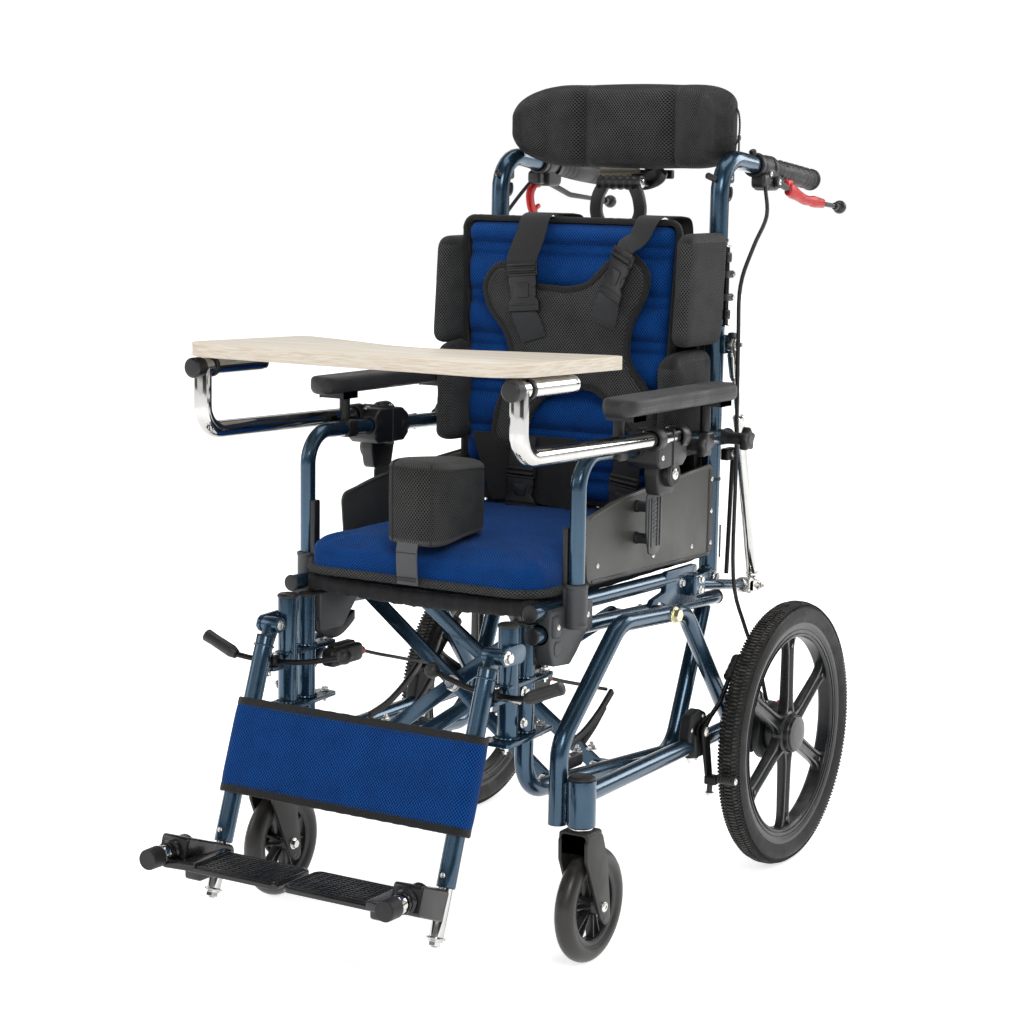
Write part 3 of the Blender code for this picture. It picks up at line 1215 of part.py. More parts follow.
def back_post(name, side, carried_by):
    x = side * BACK_POST_X
    hinge_x = side * LATERAL_HINGE_X
    clip_y = (LATERAL_HINGE_Y - LATERAL_CLIP_HALF_WIDTH, LATERAL_HINGE_Y + LATERAL_CLIP_HALF_WIDTH)
    lever_pin = (BRAKE_BLOCK_X[1] - 0.008, BRAKE_LEVER_X + BRAKE_LEVER_WIDTH + 0.002)
    pieces = [
        tube(bent([at(x, p) for p in BACK_PATH], BACK_BEND), POST_RADIUS),
        rod(at(x, handle_point(COLLAR_Y[0])), at(x, handle_point(COLLAR_Y[1])), COLLAR_RADIUS),
        rod(at(x, handle_point(GRIP_Y[0])), at(x, handle_point(GRIP_Y[1])), GRIP_RADIUS),
        pin(side, RECLINE_HINGE_X, RECLINE_PIVOT, RECLINE_HINGE_RADIUS, ROUND_SIDES),
        pin(side, (BACK_POST_X, STRUT_PIN_OUTER_X), STRUT_TOP, STRUT_PIN_RADIUS),
        box((side * BRAKE_BLOCK_X[0], side * BRAKE_BLOCK_X[1]), BRAKE_BLOCK_Y, BRAKE_BLOCK_Z),
        pin(side, lever_pin, BRAKE_LEVER_PIVOT, BRAKE_LEVER_PIN_RADIUS),
    ]
    cuts = [pin(side, (BACK_POST_X - 0.02, END_PLATE_X + 0.02), RECLINE_PIVOT, RECLINE_PIN_RADIUS + PIN_PLAY, ROUND_SIDES)]
    for z in LATERAL_CLIP_Z:
        pieces.append(box((x, hinge_x + side * LATERAL_CLIP_HALF_WIDTH), clip_y, z))
    low = LATERAL_CLIP_Z[0][0] - 0.01
    high = LATERAL_CLIP_Z[-1][1] + 0.01
    clip_bore = LATERAL_ROD_RADIUS + PIN_PLAY - 0.0001
    cuts.append(rod((hinge_x, LATERAL_HINGE_Y, low), (hinge_x, LATERAL_HINGE_Y, high), clip_bore, ROUND_SIDES))
    finish(name, STEEL_BLUE, pieces, cuts, carried_by)


def back_board(carried_by):
    half = BACK_POST_X - POST_RADIUS - GAP
    back = BOARD_FRONT + BOARD_THICKNESS
    pieces = [
        box((-half, half), (BOARD_FRONT, back), BOARD_Z),
        box((-RECEIVER_HALF_WIDTH, RECEIVER_HALF_WIDTH), (back - 0.002, RECEIVER_BACK), RECEIVER_Z),
    ]
    for _, side in SIDES:
        pieces.append(
            box((side * (half - BOARD_FLANGE), side * half), (back - 0.002, BOARD_FLANGE_BACK), BOARD_Z)
        )
    play = HEADREST_STEM_PLAY
    slot = box(
        (-HEADREST_STEM_X - play, HEADREST_STEM_X + play),
        (HEADREST_STEM_Y[0] - play, HEADREST_STEM_Y[1] + play),
        (RECEIVER_Z[0] - 0.01, RECEIVER_Z[1] + 0.01),
    )
    finish("back_board", BLACK_PLASTIC, pieces, [slot], carried_by)


def back_cushion(carried_by):
    half = BACK_CUSHION_HALF_WIDTH
    main = box((-half, half), (BACK_CUSHION_FRONT, BOARD_FRONT - GAP), BACK_CUSHION_Z)
    pieces = [softened(main, BACK_CUSHION_ROUND)]
    for _, side in SIDES:
        bolster = box((side * BOLSTER_X[0], side * BOLSTER_X[1]), BOLSTER_Y, BOLSTER_Z)
        pieces.append(softened(bolster, BOLSTER_ROUND))
    finish("back_cushion", BLUE_MESH, pieces, [], carried_by)


def harness(carried_by):
    back = BACK_CUSHION_FRONT - GAP
    vest = plate(mirrored(HARNESS), "Y", (back - HARNESS_THICKNESS, back))
    finish("harness", BLACK_MESH, [softened(vest, 0.004)], [], carried_by)


def lateral_pad(name, side, carried_by):
    centre = (side * LATERAL_HINGE_X, LATERAL_HINGE_Y)
    pad = box((side * LATERAL_X[0], side * LATERAL_X[1]), LATERAL_Y, LATERAL_Z)
    low = LATERAL_TAB_Z[0][0]
    high = LATERAL_TAB_Z[-1][1]
    reach = LATERAL_ROD_RADIUS
    pieces = [softened(pad, LATERAL_ROUND), rod((*centre, low), (*centre, high), LATERAL_ROD_RADIUS)]
    for z in LATERAL_TAB_Z:
        tab_y = (LATERAL_Y[1] - 0.004, centre[1] + reach)
        pieces.append(box((centre[0] - reach, centre[0] + reach), tab_y, z))
    finish(name, BLACK_MESH, pieces, [], carried_by)


def strut_point(distance):
    """The point of the strut's axis at a distance from its lower pin."""
    foot = Vector(STRUT_FOOT)
    top = Vector(STRUT_TOP)
    return tuple(foot + (top - foot).normalized() * distance)


def recline_cylinder(name, side, carried_by):
    x = side * STRUT_X
    eye = (STRUT_X - STRUT_EYE_HALF_WIDTH, STRUT_X + STRUT_EYE_HALF_WIDTH)
    pieces = [
        pin(side, eye, STRUT_FOOT, STRUT_EYE_RADIUS),
        rod(at(x, strut_point(CYLINDER_START)), at(x, strut_point(0.030)), STRUT_EYE_HALF_WIDTH - 0.0005),
        rod(at(x, strut_point(0.018)), at(x, strut_point(CYLINDER_END)), CYLINDER_RADIUS),
    ]
    bore = rod(
        at(x, strut_point(CYLINDER_BORE_START)), at(x, strut_point(CYLINDER_END + 0.01)), CYLINDER_BORE_RADIUS, ROUND_SIDES
    )
    pin_bore = pin(side, (STRUT_X - 0.02, STRUT_X + 0.02), STRUT_FOOT, STRUT_PIN_RADIUS + PIN_PLAY, ROUND_SIDES)
    finish(name, BLACK_PLASTIC, pieces, [bore, pin_bore], carried_by)


def recline_rod(name, side, carried_by):
    x = side * STRUT_X
    eye = (STRUT_X - STRUT_EYE_HALF_WIDTH, STRUT_X + STRUT_EYE_HALF_WIDTH)
    length = (Vector(STRUT_TOP) - Vector(STRUT_FOOT)).length
    pieces = [
        rod(at(x, strut_point(STRUT_ROD_START)), at(x, strut_point(length - 0.004)), STRUT_ROD_RADIUS),
        pin(side, eye, STRUT_TOP, STRUT_TOP_EYE_RADIUS, ROUND_SIDES),
    ]
    bore = pin(side, (BACK_POST_X, STRUT_X + 0.02), STRUT_TOP, STRUT_PIN_RADIUS + STRUT_TOP_PLAY, ROUND_SIDES)
    finish(name, CHROME, pieces, [bore], carried_by)


def brake_lever(name, side, carried_by):
    hub = (BRAKE_LEVER_X, BRAKE_LEVER_X + BRAKE_LEVER_WIDTH)
    x = side * sum(hub) / 2
    path = bent([at(x, BRAKE_LEVER_PIVOT), at(x, BRAKE_LEVER_BEND), at(x, BRAKE_BALL)], 0.05)
    pieces = [
        pin(side, hub, BRAKE_LEVER_PIVOT, BRAKE_LEVER_HUB_RADIUS),
        tube(path, BRAKE_LEVER_RADIUS, 2),
        ball(at(x, BRAKE_BALL), BRAKE_BALL_RADIUS),
    ]
    bore = pin(side, (hub[0] - 0.01, hub[1] + 0.01), BRAKE_LEVER_PIVOT, BRAKE_LEVER_PIN_RADIUS + PIN_PLAY, ROUND_SIDES)
    finish(name, BLACK_PLASTIC, pieces, [bore], carried_by)


def brake_cable(name, side, carried_by):
    route = [(side * x, y, z) for x, y, z in CABLE_ROUTE]
    finish(name, BLACK_PLASTIC, [tube(smooth(route, 5), CABLE_RADIUS, 2)], [], carried_by)


# Headrest


def headrest_bracket(carried_by):
    x = (-HEADREST_STEM_X, HEADREST_STEM_X)
    stem_middle = sum(HEADREST_STEM_Y) / 2
    clamp = (stem_middle, HEADREST_CLAMP_Z)
    upright_top = HEADREST_PIVOT[1] + HEADREST_PIN_RADIUS + 0.004
    pin_half = HEADREST_PIN_HALF_LENGTH
    pieces = [
        box(x, HEADREST_STEM_Y, (HEADREST_STEM_LOW, HEADREST_ARM_Z[1])),
        box(x, (HEADREST_STEM_Y[0], HEADREST_UPRIGHT_Y[1]), HEADREST_ARM_Z),
        rod(at(-HEADREST_CLAMP_HALF_LENGTH, clamp), at(HEADREST_CLAMP_HALF_LENGTH, clamp), HEADREST_CLAMP_RADIUS),
        box(x, HEADREST_UPRIGHT_Y, (HEADREST_ARM_Z[0], upright_top)),
        rod(at(-pin_half, HEADREST_PIVOT), at(pin_half, HEADREST_PIVOT), HEADREST_PIN_RADIUS),
    ]
    finish("headrest_bracket", DARK_STEEL, pieces, [], carried_by)


def headrest_pillow(carried_by):
    corners = [(x, z) for x in (-PILLOW_HALF_WIDTH, PILLOW_HALF_WIDTH) for z in PILLOW_Z]
    front = [corners[0], corners[2], corners[3], corners[1]]
    slab = plate(rounded(front, PILLOW_END_RADIUS), "Y", (PILLOW[5][1] - 0.01, PILLOW[0][1] + 0.01))
    pieces = [softened(common(plate(mirrored(PILLOW), "Z", PILLOW_Z), slab), PILLOW_ROUND)]
    lug_z = (HEADREST_PIVOT[1] - 0.010, HEADREST_PIVOT[1] + 0.010)
    for _, side in SIDES:
        lug_x = (side * (HEADREST_STEM_X + 0.001), side * HEADREST_PIN_HALF_LENGTH)
        pieces.append(box(lug_x, (PILLOW[0][1] - 0.010, HEADREST_PIVOT[0] + 0.008), lug_z))
    half = HEADREST_PIN_HALF_LENGTH + 0.01
    bore = rod(at(-half, HEADREST_PIVOT), at(half, HEADREST_PIVOT), HEADREST_PIN_RADIUS + PIN_PLAY, ROUND_SIDES)
    finish("headrest_pillow", BLACK_MESH, pieces, [bore], carried_by)


# Assembly


def build():
    seat = pivot("seat_tilt", at(0, TILT_PIVOT))
    back = pivot("back_recline", at(0, RECLINE_PIVOT), seat)
    tray = pivot("tray_slide", at(0, TRAY_ARM_BACK), seat)
    head = pivot("headrest_height", (0, HEADREST_STEM_Y[0], HEADREST_STEM_LOW), back)
    nod = pivot("headrest_tilt", at(0, HEADREST_PIVOT), head)
    for word, side in SIDES:
        x = side * INNER_TUBE_X
        side_frame(f"side_frame_{word}", side)
        lock = pivot(f"wheel_lock_{word}", at(side * LOCK_BODY_X, LOCK_PIVOT))
        wheel_lock_lever(f"wheel_lock_lever_{word}", side, lock)
        shoe = pivot(f"wheel_lock_shoe_turn_{word}", at(side * SHOE_ARM_X, LOCK_PIVOT))
        wheel_lock_shoe(f"wheel_lock_shoe_{word}", side, shoe)
        swivel = pivot(f"caster_swivel_{word}", (side * CASTER_X, STEM_Y, CASTER_RADIUS))
        roll = pivot(
            f"caster_roll_{word}", (side * CASTER_X, STEM_Y + CASTER_TRAIL, CASTER_RADIUS), swivel
        )
        caster_fork(f"caster_fork_{word}", side, swivel)
        caster_wheel(f"caster_wheel_{word}", side, roll)
        axle = pivot(f"rear_roll_{word}", at(side * WHEEL_PLANE_X, AXLE))
        rear_wheel(f"rear_wheel_{word}", side, axle)
        rear_tyre(f"rear_tyre_{word}", side, axle)
        inner_frame(f"inner_frame_{word}", side, seat)
        side_panel(f"side_panel_{word}", side, seat)
        arm_tube(f"arm_tube_{word}", side, seat)
        arm_pad(f"arm_pad_{word}", side, seat)
        arm_clamp(f"arm_clamp_{word}", side, seat)
        knob = pivot(f"arm_knob_turn_{word}", at(side * KNOB_BOSS_X, knob_point(KNOB_Y)), seat)
        arm_knob(f"arm_knob_{word}", side, knob)
        tray_arm(f"tray_arm_{word}", side, tray)
        leg = pivot(f"leg_rest_{word}", at(x, LEG_PIVOT), seat)
        foot = pivot(f"foot_slide_{word}", at(x, HANGER_TOP), leg)
        flip = pivot(f"footplate_flip_{word}", (side * FLIP_X, FOOT_HOUSING_Y[0], FLIP_Z), foot)
        hanger(f"hanger_{word}", side, leg)
        foot_tube(f"foot_tube_{word}", side, foot)
        footplate(f"footplate_{word}", side, flip)
        if side > 0:
            calf_strap(leg)
        release = pivot(f"leg_lever_turn_{word}", (x, LEVER_PIVOT_Y, LEVER_HUB_LOW), seat)
        leg_lever(f"leg_lever_{word}", side, release)
        back_post(f"back_post_{word}", side, back)
        swing = pivot(f"lateral_swing_{word}", (side * LATERAL_HINGE_X, LATERAL_HINGE_Y, LATERAL_Z[0]), back)
        lateral_pad(f"lateral_pad_{word}", side, swing)
        squeeze = pivot(f"brake_squeeze_{word}", at(side * BRAKE_LEVER_X, BRAKE_LEVER_PIVOT), back)
        brake_lever(f"brake_lever_{word}", side, squeeze)
        strut = pivot(f"strut_swing_{word}", at(side * STRUT_X, STRUT_FOOT), seat)
        recline_cylinder(f"recline_cylinder_{word}", side, strut)
        stroke = pivot(f"strut_slide_{word}", at(side * STRUT_X, STRUT_TOP), strut)
        recline_rod(f"recline_rod_{word}", side, stroke)
        brake_cable(f"brake_cable_{word}", side, back)
    x_brace("x_brace_front", FRONT_BRACE_Y, FRONT_BRACE_END_X, FRONT_BRACE_TOP_Z, CASTING_INNER_X - GAP, seat)
    rear_head = along(LOW_SEAT_TUBE, REAR_BRACE_Y)
    rear_reach = SEAT_TUBE_X - SEAT_TUBE_RADIUS - GAP
    x_brace("x_brace_rear", REAR_BRACE_Y, REAR_BRACE_END_X, rear_head, rear_reach, seat)
    seat_sling(seat)
    seat_cushion(seat)
    pommel(seat)
    tray_top(tray)
    back_board(back)
    back_cushion(back)
    harness(back)
    headrest_bracket(head)
    headrest_pillow(nod)


build()
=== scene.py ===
"""Looks of the positioning wheelchair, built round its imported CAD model.

Metres, +Z up. X runs across the width with the sitter's left at +X, the chair faces -Y, Y = 0 is the
rear axle and Z = 0 is the floor. Pieces that come in pairs are worked out at +X and mirrored.
"""

import collections
import json
import math

import bmesh
import bpy
import numpy as np
from mathutils import Matrix, Vector

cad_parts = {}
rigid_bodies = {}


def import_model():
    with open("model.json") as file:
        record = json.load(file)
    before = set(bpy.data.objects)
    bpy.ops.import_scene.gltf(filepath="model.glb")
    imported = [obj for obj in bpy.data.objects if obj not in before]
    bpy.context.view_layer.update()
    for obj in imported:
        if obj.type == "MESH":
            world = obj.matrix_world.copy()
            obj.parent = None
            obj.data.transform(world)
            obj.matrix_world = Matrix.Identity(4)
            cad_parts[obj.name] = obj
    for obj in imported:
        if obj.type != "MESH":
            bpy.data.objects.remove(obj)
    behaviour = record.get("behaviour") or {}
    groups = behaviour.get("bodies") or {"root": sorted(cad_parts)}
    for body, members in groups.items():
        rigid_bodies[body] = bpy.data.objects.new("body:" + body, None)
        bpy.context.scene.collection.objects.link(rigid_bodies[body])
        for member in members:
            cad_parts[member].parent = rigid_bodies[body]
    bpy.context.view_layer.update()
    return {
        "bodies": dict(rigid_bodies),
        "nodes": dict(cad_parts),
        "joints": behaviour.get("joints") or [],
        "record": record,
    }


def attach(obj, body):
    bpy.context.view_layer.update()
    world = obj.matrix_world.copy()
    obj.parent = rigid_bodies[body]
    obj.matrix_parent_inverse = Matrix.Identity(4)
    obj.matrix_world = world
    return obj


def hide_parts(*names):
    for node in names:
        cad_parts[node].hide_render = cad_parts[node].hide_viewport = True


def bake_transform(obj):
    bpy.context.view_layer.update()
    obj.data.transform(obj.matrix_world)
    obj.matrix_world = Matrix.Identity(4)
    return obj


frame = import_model()

X = np.array((1.0, 0.0, 0.0))
Y = np.array((0.0, 1.0, 0.0))
Z = np.array((0.0, 0.0, 1.0))
SIDES = (("left", 1), ("right", -1))
SMOOTH_ANGLE = math.radians(38)
MERGE = .000002

# Camera, solved from the photograph
CAMERA_PLACE = (1.7327, -3.1962, 1.0701)
CAMERA_AZIMUTH = .5494
CAMERA_PITCH = .1497
CAMERA_ROLL = .0142
CAMERA_LENS = 82.15
LAMP_AIM = (0.0, -.3, .5)

# Wheels
AXLE = (0.0, .203)
WHEEL_X = .281
LUGS = 216
SPOKES = 6
CASTER_X = .259
STEM_Y = -.593
CASTER_AXLE = (-.567, .079)
CASTER_SPOKES = 6

# Frame
TUBE = .0127
OUTER_X = .226
OUTER_PATH = ((-.6, .192), (-.597, .301), (-.438, .4385), (-.245, .4255), (-.062, .205))
RAIL_X = .238
RAIL = ((-.595, .222), (-.05, .228))
TILT_PIVOT = (-.296, .429)
LOCK_PIVOT = (-.232, .248)
SHOE = (-.215, .175)
INNER_X = .18
INNER_LOOP = ((-.612, .46), (-.612, .2325), (-.185, .1965), (-.092, .405))
POST_Y = -.655
SEAT_TUBE_X = .195
SEAT_TUBE = ((-.62, .447), (-.08, .418))
LEG_PIVOT = (-.69, .431)
FOOT_SHAFT = (.187, 0, .16)
HANGER_TOP = (-.705, .418)
HANGER_SLOPE = (-.335, -.942)
ARM_X = .222
ARM_PATH = ((-.552, .48), (-.552, .6815), (-.11, .668))
KNOB_Y = (-.278, -.14)
TRAY_ARM_X = .25
TRAY_ARM = ((-.31, .6889), (-.752, .7))
TRAY_TOP = ((-.775, .787), (-.619, .785))
BACK_X = .19
RECLINE_PIVOT = (-.115, .455)
BACK_PATH = ((-.0996, .447), (-.092, 1.078), (.232, 1.043))
STRUT_X = .217
STRUT_TOP = (-.093, .802)
STRUT_FOOT = (.003, .426)


# Shapes: arrays of points, of the corners of the faces and of a flat map in metres


Shape = collections.namedtuple("Shape", "points corners counts flat")


def unit(vectors):
    vectors = np.asarray(vectors, float)
    return vectors / np.maximum(np.linalg.norm(vectors, axis=-1, keepdims=True), 1e-12)


def grid(rows, across=False, along=False):
    """Four-sided faces between neighbouring points of a grid. across closes every row into a ring, along
    joins the last row to the first. The flat map is the distance travelled along each direction."""
    rows = np.asarray(rows, float)
    index = np.arange(rows.shape[0] * rows.shape[1]).reshape(rows.shape[:2])
    wide = rows
    if along:
        index = np.concatenate([index, index[:1]])
        wide = np.concatenate([wide, wide[:1]])
    if across:
        index = np.concatenate([index, index[:, :1]], 1)
        wide = np.concatenate([wide, wide[:, :1]], 1)
    u = np.concatenate([[0], np.cumsum(np.linalg.norm(np.diff(wide, axis=1), axis=2).max(0))])
    v = np.concatenate([[0], np.cumsum(np.linalg.norm(np.diff(wide, axis=0), axis=2).mean(1))])
    flat = np.stack(np.meshgrid(u, v), -1)

    def faces(a):
        return np.stack([a[:-1, :-1], a[:-1, 1:], a[1:, 1:], a[1:, :-1]], 2).reshape(-1, *a.shape[2:])

    corners = faces(index)
    return Shape(rows.reshape(-1, 3), corners, np.full(len(corners) // 4, 4), faces(flat))


def lid(points, flat):
    """One flat face through the given points."""
    return Shape(np.asarray(points, float), np.arange(len(points)), np.array([len(points)]),
        np.asarray(flat, float))


def joined(*shapes):
    """Several shapes as one, their corner numbers shifted past the points of those before."""
    starts = np.cumsum([0] + [len(s.points) for s in shapes[:-1]])
    return Shape(np.concatenate([s.points for s in shapes]), np.concatenate(
        [s.corners + k for s, k in zip(shapes, starts)]), np.concatenate([s.counts for s in shapes]),
        np.concatenate([s.flat for s in shapes]))


def repeated(shape, rotations, shifts):
    """Copies of a shape, each turned by its own matrix and then shifted."""
    n = len(rotations)
    points = np.einsum("nij,pj->npi", np.asarray(rotations), shape.points) + np.asarray(shifts)[:, None]
    corners = shape.corners[None] + (np.arange(n) * len(shape.points))[:, None]
    return Shape(points.reshape(-1, 3), corners.reshape(-1), np.tile(shape.counts, n),
        np.tile(shape.flat, (n, 1)))


def about_x(angles):
    """Matrices that turn about +X, from +Y towards +Z, by each angle."""
    c, s = np.cos(angles), np.sin(angles)
    zero, one = np.zeros_like(c), np.ones_like(c)
    return np.stack([np.stack([one, zero, zero], -1), np.stack([zero, c, -s], -1),
        np.stack([zero, s, c], -1)], -2)


def mirrored(shape):
    """The shape on the other side of the middle, its faces turned over so that they still look outwards."""
    starts = np.cumsum(shape.counts) - shape.counts
    within = np.arange(len(shape.corners)) - np.repeat(starts, shape.counts)
    order = np.repeat(starts + shape.counts - 1, shape.counts) - within
    return Shape(shape.points * (-1, 1, 1), shape.corners[order], shape.counts, shape.flat[order])


def basis(direction, ref=X):
    """Three unit directions square to each other: the last along direction, the first as near ref as that
    allows."""
    w = unit(direction)
    ref = np.asarray(ref, float)
    if abs(float(w @ unit(ref))) > .99:
        ref = Y if abs(w[1]) < .9 else Z
    u = unit(ref - (ref @ w) * w)
    return u, np.cross(w, u), w


def fillet(points, radius, steps=6, closed=False):
    """A path whose corners are circular arcs: the rational quadratic curve between the two touching points
    of each corner, with the sine of half the inside angle as the weight of the corner itself."""
    p = np.asarray(points, float)
    before, corner, after = (np.roll(p, 1, 0), p, np.roll(p, -1, 0)) if closed else (p[:-2], p[1:-1], p[2:])
    a, b = unit(before - corner), unit(after - corner)
    half = np.arccos(np.clip((a * b).sum(-1), -1, 1)) / 2
    reach = (radius / np.tan(half))[:, None]
    start, end = (corner + a * reach)[:, None], (corner + b * reach)[:, None]
    t = np.linspace(0, 1, steps + 1)[None, :, None]
    weight = 2 * np.sin(half)[:, None, None] * t * (1 - t)
    arcs = ((1 - t) ** 2 * start + weight * corner[:, None] + t**2 * end) / ((1 - t) ** 2 + weight + t**2)
    arcs = arcs.reshape(-1, p.shape[1])
    return arcs if closed else np.concatenate([p[:1], arcs, p[-1:]])


def box(x0, x1, y0, y1, radius, steps=6, closed=False):
    """A rectangle between two places along each direction, with rounded corners."""
    return fillet([(x0, y0), (x1, y0), (x1, y1), (x0, y1)], radius, steps, closed)


def flowing(points, steps=8):
    """A smooth path through points: the Catmull-Rom cubic, whose slope at a point is half the step between
    its neighbours."""
    p = np.asarray(points, float)
    p = np.concatenate([2 * p[:1] - p[1:2], p, 2 * p[-1:] - p[-2:-1]])
    a, b, c, d = p[:-3, None], p[1:-2, None], p[2:-1, None], p[3:, None]
    t = (np.arange(steps) / steps)[None, :, None]
    path = .5 * (2 * b + (c - a) * t + (2 * a - 5 * b + 4 * c - d) * t**2 + (3 * b - a - 3 * c + d) * t**3)
    return np.concatenate([path.reshape(-1, p.shape[1]), p[-2:-1]])


def even(path, step):
    """The same path with its points the same distance apart, about step."""
    path = np.asarray(path, float)
    run = np.concatenate([[0], np.cumsum(np.linalg.norm(np.diff(path, axis=0), axis=1))])
    places = np.linspace(0, run[-1], max(2, int(round(run[-1] / step)) + 1))
    return np.stack([np.interp(places, run, path[:, k]) for k in range(path.shape[1])], 1)


def circle(radius, sides=20):
    a = np.arange(sides) * math.tau / sides
    return radius * np.stack([np.cos(a), np.sin(a)], 1)


def rectangle(width, height, corner, steps=3):
    w, h = width / 2, height / 2
    return box(-w, w, -h, h, corner, steps, closed=True)


def swept(path, outline, ref=X, size=1.0, edge=.0006, closed=False):
    """An outline carried along a path and square to it at each point: place + size * (side part + up part).
    Its ends close with a quarter round of the given edge; closed joins them instead."""
    path = np.asarray(path, float)
    outline = np.asarray(outline, float)
    around = np.concatenate([path[-1:], path, path[:1]]) if closed else path
    ahead = unit(np.gradient(around, axis=0))
    if closed:
        ahead = ahead[1:-1]
    ref = np.broadcast_to(np.asarray(ref, float), path.shape)
    side = unit(ref - (ref * ahead).sum(1, keepdims=True) * ahead)
    up = np.cross(ahead, side)
    size = np.broadcast_to(np.asarray(size, float), len(path))
    if not closed:
        reach = np.linalg.norm(outline, axis=1).max()
        turn = np.linspace(0, math.pi / 2, 4 if edge < .004 else 7)
        back, inset = edge * (1 - np.cos(turn)), edge * (1 - np.sin(turn)) / reach
        first = path[0] + ahead[0] * back[:, None]
        last = path[-1] - ahead[-1] * back[::-1, None]
        n = len(turn)
        place = np.concatenate([first[:1], first, path[1:-1], last, last[-1:]])
        side = np.concatenate([np.repeat(side[:1], n + 1, 0), side[1:-1], np.repeat(side[-1:], n + 1, 0)])
        up = np.concatenate([np.repeat(up[:1], n + 1, 0), up[1:-1], np.repeat(up[-1:], n + 1, 0)])
        size = np.concatenate([[0], size[0] - inset, size[1:-1], size[-1] - inset[::-1], [0]])
    else:
        place = path
    rows = place[:, None] + size[:, None, None] * (outline[None, :, :1] * side[:, None]
        + outline[None, :, 1:] * up[:, None])
    return grid(rows, across=True, along=closed)


def bar(path, radius, sides=20, ref=X, edge=.0006, size=1.0, closed=False):
    """A round bar or tube along a path."""
    return swept(path, circle(radius, sides), ref, size, edge, closed)


def turned(profile, centre, axis=Z, steps=40, ring=False, ref=X):
    """A profile of (distance from the axis, height along it) carried round the axis in equal steps."""
    u, v, w = basis(axis, ref)
    angle = np.arange(steps) * math.tau / steps
    spoke = np.cos(angle)[:, None] * u + np.sin(angle)[:, None] * v
    profile = np.asarray(profile, float)
    rows = np.asarray(centre, float) + profile[:, :1, None] * spoke + profile[:, 1:, None] * w
    return grid(rows, across=True, along=ring)


def button(centre, axis, radius, height, edge=.0008, steps=32):
    """A short round solid standing on centre, with its free rim rounded."""
    profile = box(0, radius, 0, height, edge, 3)
    return turned(profile, centre, axis, steps)


def ball(centre, radius, axis=Z):
    """A sphere: radius times the sine and cosine of the angle from its pole."""
    a = np.linspace(0, math.pi, 17)
    return turned(np.stack([radius * np.sin(a), -radius * np.cos(a)], 1), centre, axis, 28)


def hexagon(centre, axis, radius, height, ref=X):
    """A hexagon head with a turned chamfer at its free rim."""
    c = radius * .1
    profile = [(0, 0), (radius, 0), (radius, height - c), (radius - c, height), (radius * .5, height),
        (0, height)]
    return turned(profile, centre, axis, 6, ref=ref)


def bolt(centre, axis, radius, end=False):
    """A washer, a hexagon head or nut and, where wanted, the end of the thread."""
    w = unit(axis)
    centre = np.asarray(centre, float)
    parts = [button(centre, w, radius * 1.42, radius * .22, radius * .06, 24),
        hexagon(centre + w * radius * .2, w, radius * 1.08, radius * .85)]
    if end:
        top = radius * 1.9
        turns = np.linspace(0, 1, 15)
        wave = radius * (.5 + .04 * (np.arange(15) % 2))
        profile = np.stack([wave, top * turns], 1)
        parts.append(turned(np.concatenate([[(0, 0)], profile, [(0, top)]]), centre, w, 16))
    return joined(*parts)


def cap_screw(centre, axis, radius, height):
    """A domed head with a six-sided socket sunk in it."""
    r, h = radius, height
    dome = [(r * math.cos(a), h * .35 + h * .65 * math.sin(a)) for a in np.linspace(0, 1.12, 6)]
    profile = [(0, 0), (r, 0), *dome, (r * .36, h * .93), (r * .33, h * .4), (0, h * .4)]
    return turned(profile, centre, axis, 24)


def prism(outline, axis, low, high, edge=.0008):
    """A flat outline carried between two places on an axis. Each rim is a quarter round: every corner moves
    in along its mitre by edge * (1 - sin) while it rises by edge * (1 - cos)."""
    p = np.asarray(outline, float)
    twice_area = (p[:, 0] * np.roll(p[:, 1], -1) - p[:, 1] * np.roll(p[:, 0], -1)).sum()
    if twice_area < 0:
        p = p[::-1]
    ahead = unit(np.roll(p, -1, 0) - p)
    out = np.stack([ahead[:, 1], -ahead[:, 0]], 1)
    before = np.roll(out, 1, 0)
    mitre = (out + before) / np.maximum(1 + (out * before).sum(1, keepdims=True), .3)
    low, high = min(low, high), max(low, high)
    turn = np.linspace(0, math.pi / 2, 4)
    rise = edge * (1 - np.cos(turn))
    inset = edge * (1 - np.sin(turn))
    level = np.concatenate([low + rise, high - rise[::-1]])
    inset = np.concatenate([inset, inset[::-1]])
    ring = p[None] - inset[:, None, None] * mitre[None]
    tall = np.broadcast_to(level[:, None, None], (*ring.shape[:2], 1))
    order = {"X": (2, 0, 1), "Y": (0, 2, 1), "Z": (0, 1, 2)}[axis]
    rows = np.concatenate([ring, tall], 2)[:, :, order]
    return joined(grid(rows, across=True), lid(rows[0], ring[0]), lid(rows[-1], ring[-1]))


def block(x, y, z, edge=.0015, corner=None):
    """A box with all its edges rounded."""
    corner = corner or edge * 1.5
    outline = box(y[0], y[1], z[0], z[1], corner, 4, closed=True)
    return prism(outline, "X", x[0], x[1], edge)


def link(a, b, radius_a, radius_b, steps=10):
    """The outline of a flat bar between two points, its ends half circles of their own radii."""
    a, b = np.asarray(a, float), np.asarray(b, float)
    heading = math.atan2(*(b - a)[::-1])
    turn = np.linspace(-math.pi / 2, math.pi / 2, steps)
    ends = []
    for centre, radius, facing in ((b, radius_b, heading), (a, radius_a, heading + math.pi)):
        ends.append(centre + radius * np.stack([np.cos(turn + facing), np.sin(turn + facing)], 1))
    return np.concatenate(ends)


def at(x, path):
    """Points (Y, Z) of the side view at a place across the width."""
    path = np.atleast_2d(np.asarray(path, float))
    return np.concatenate([np.full((len(path), 1), x), path], 1)


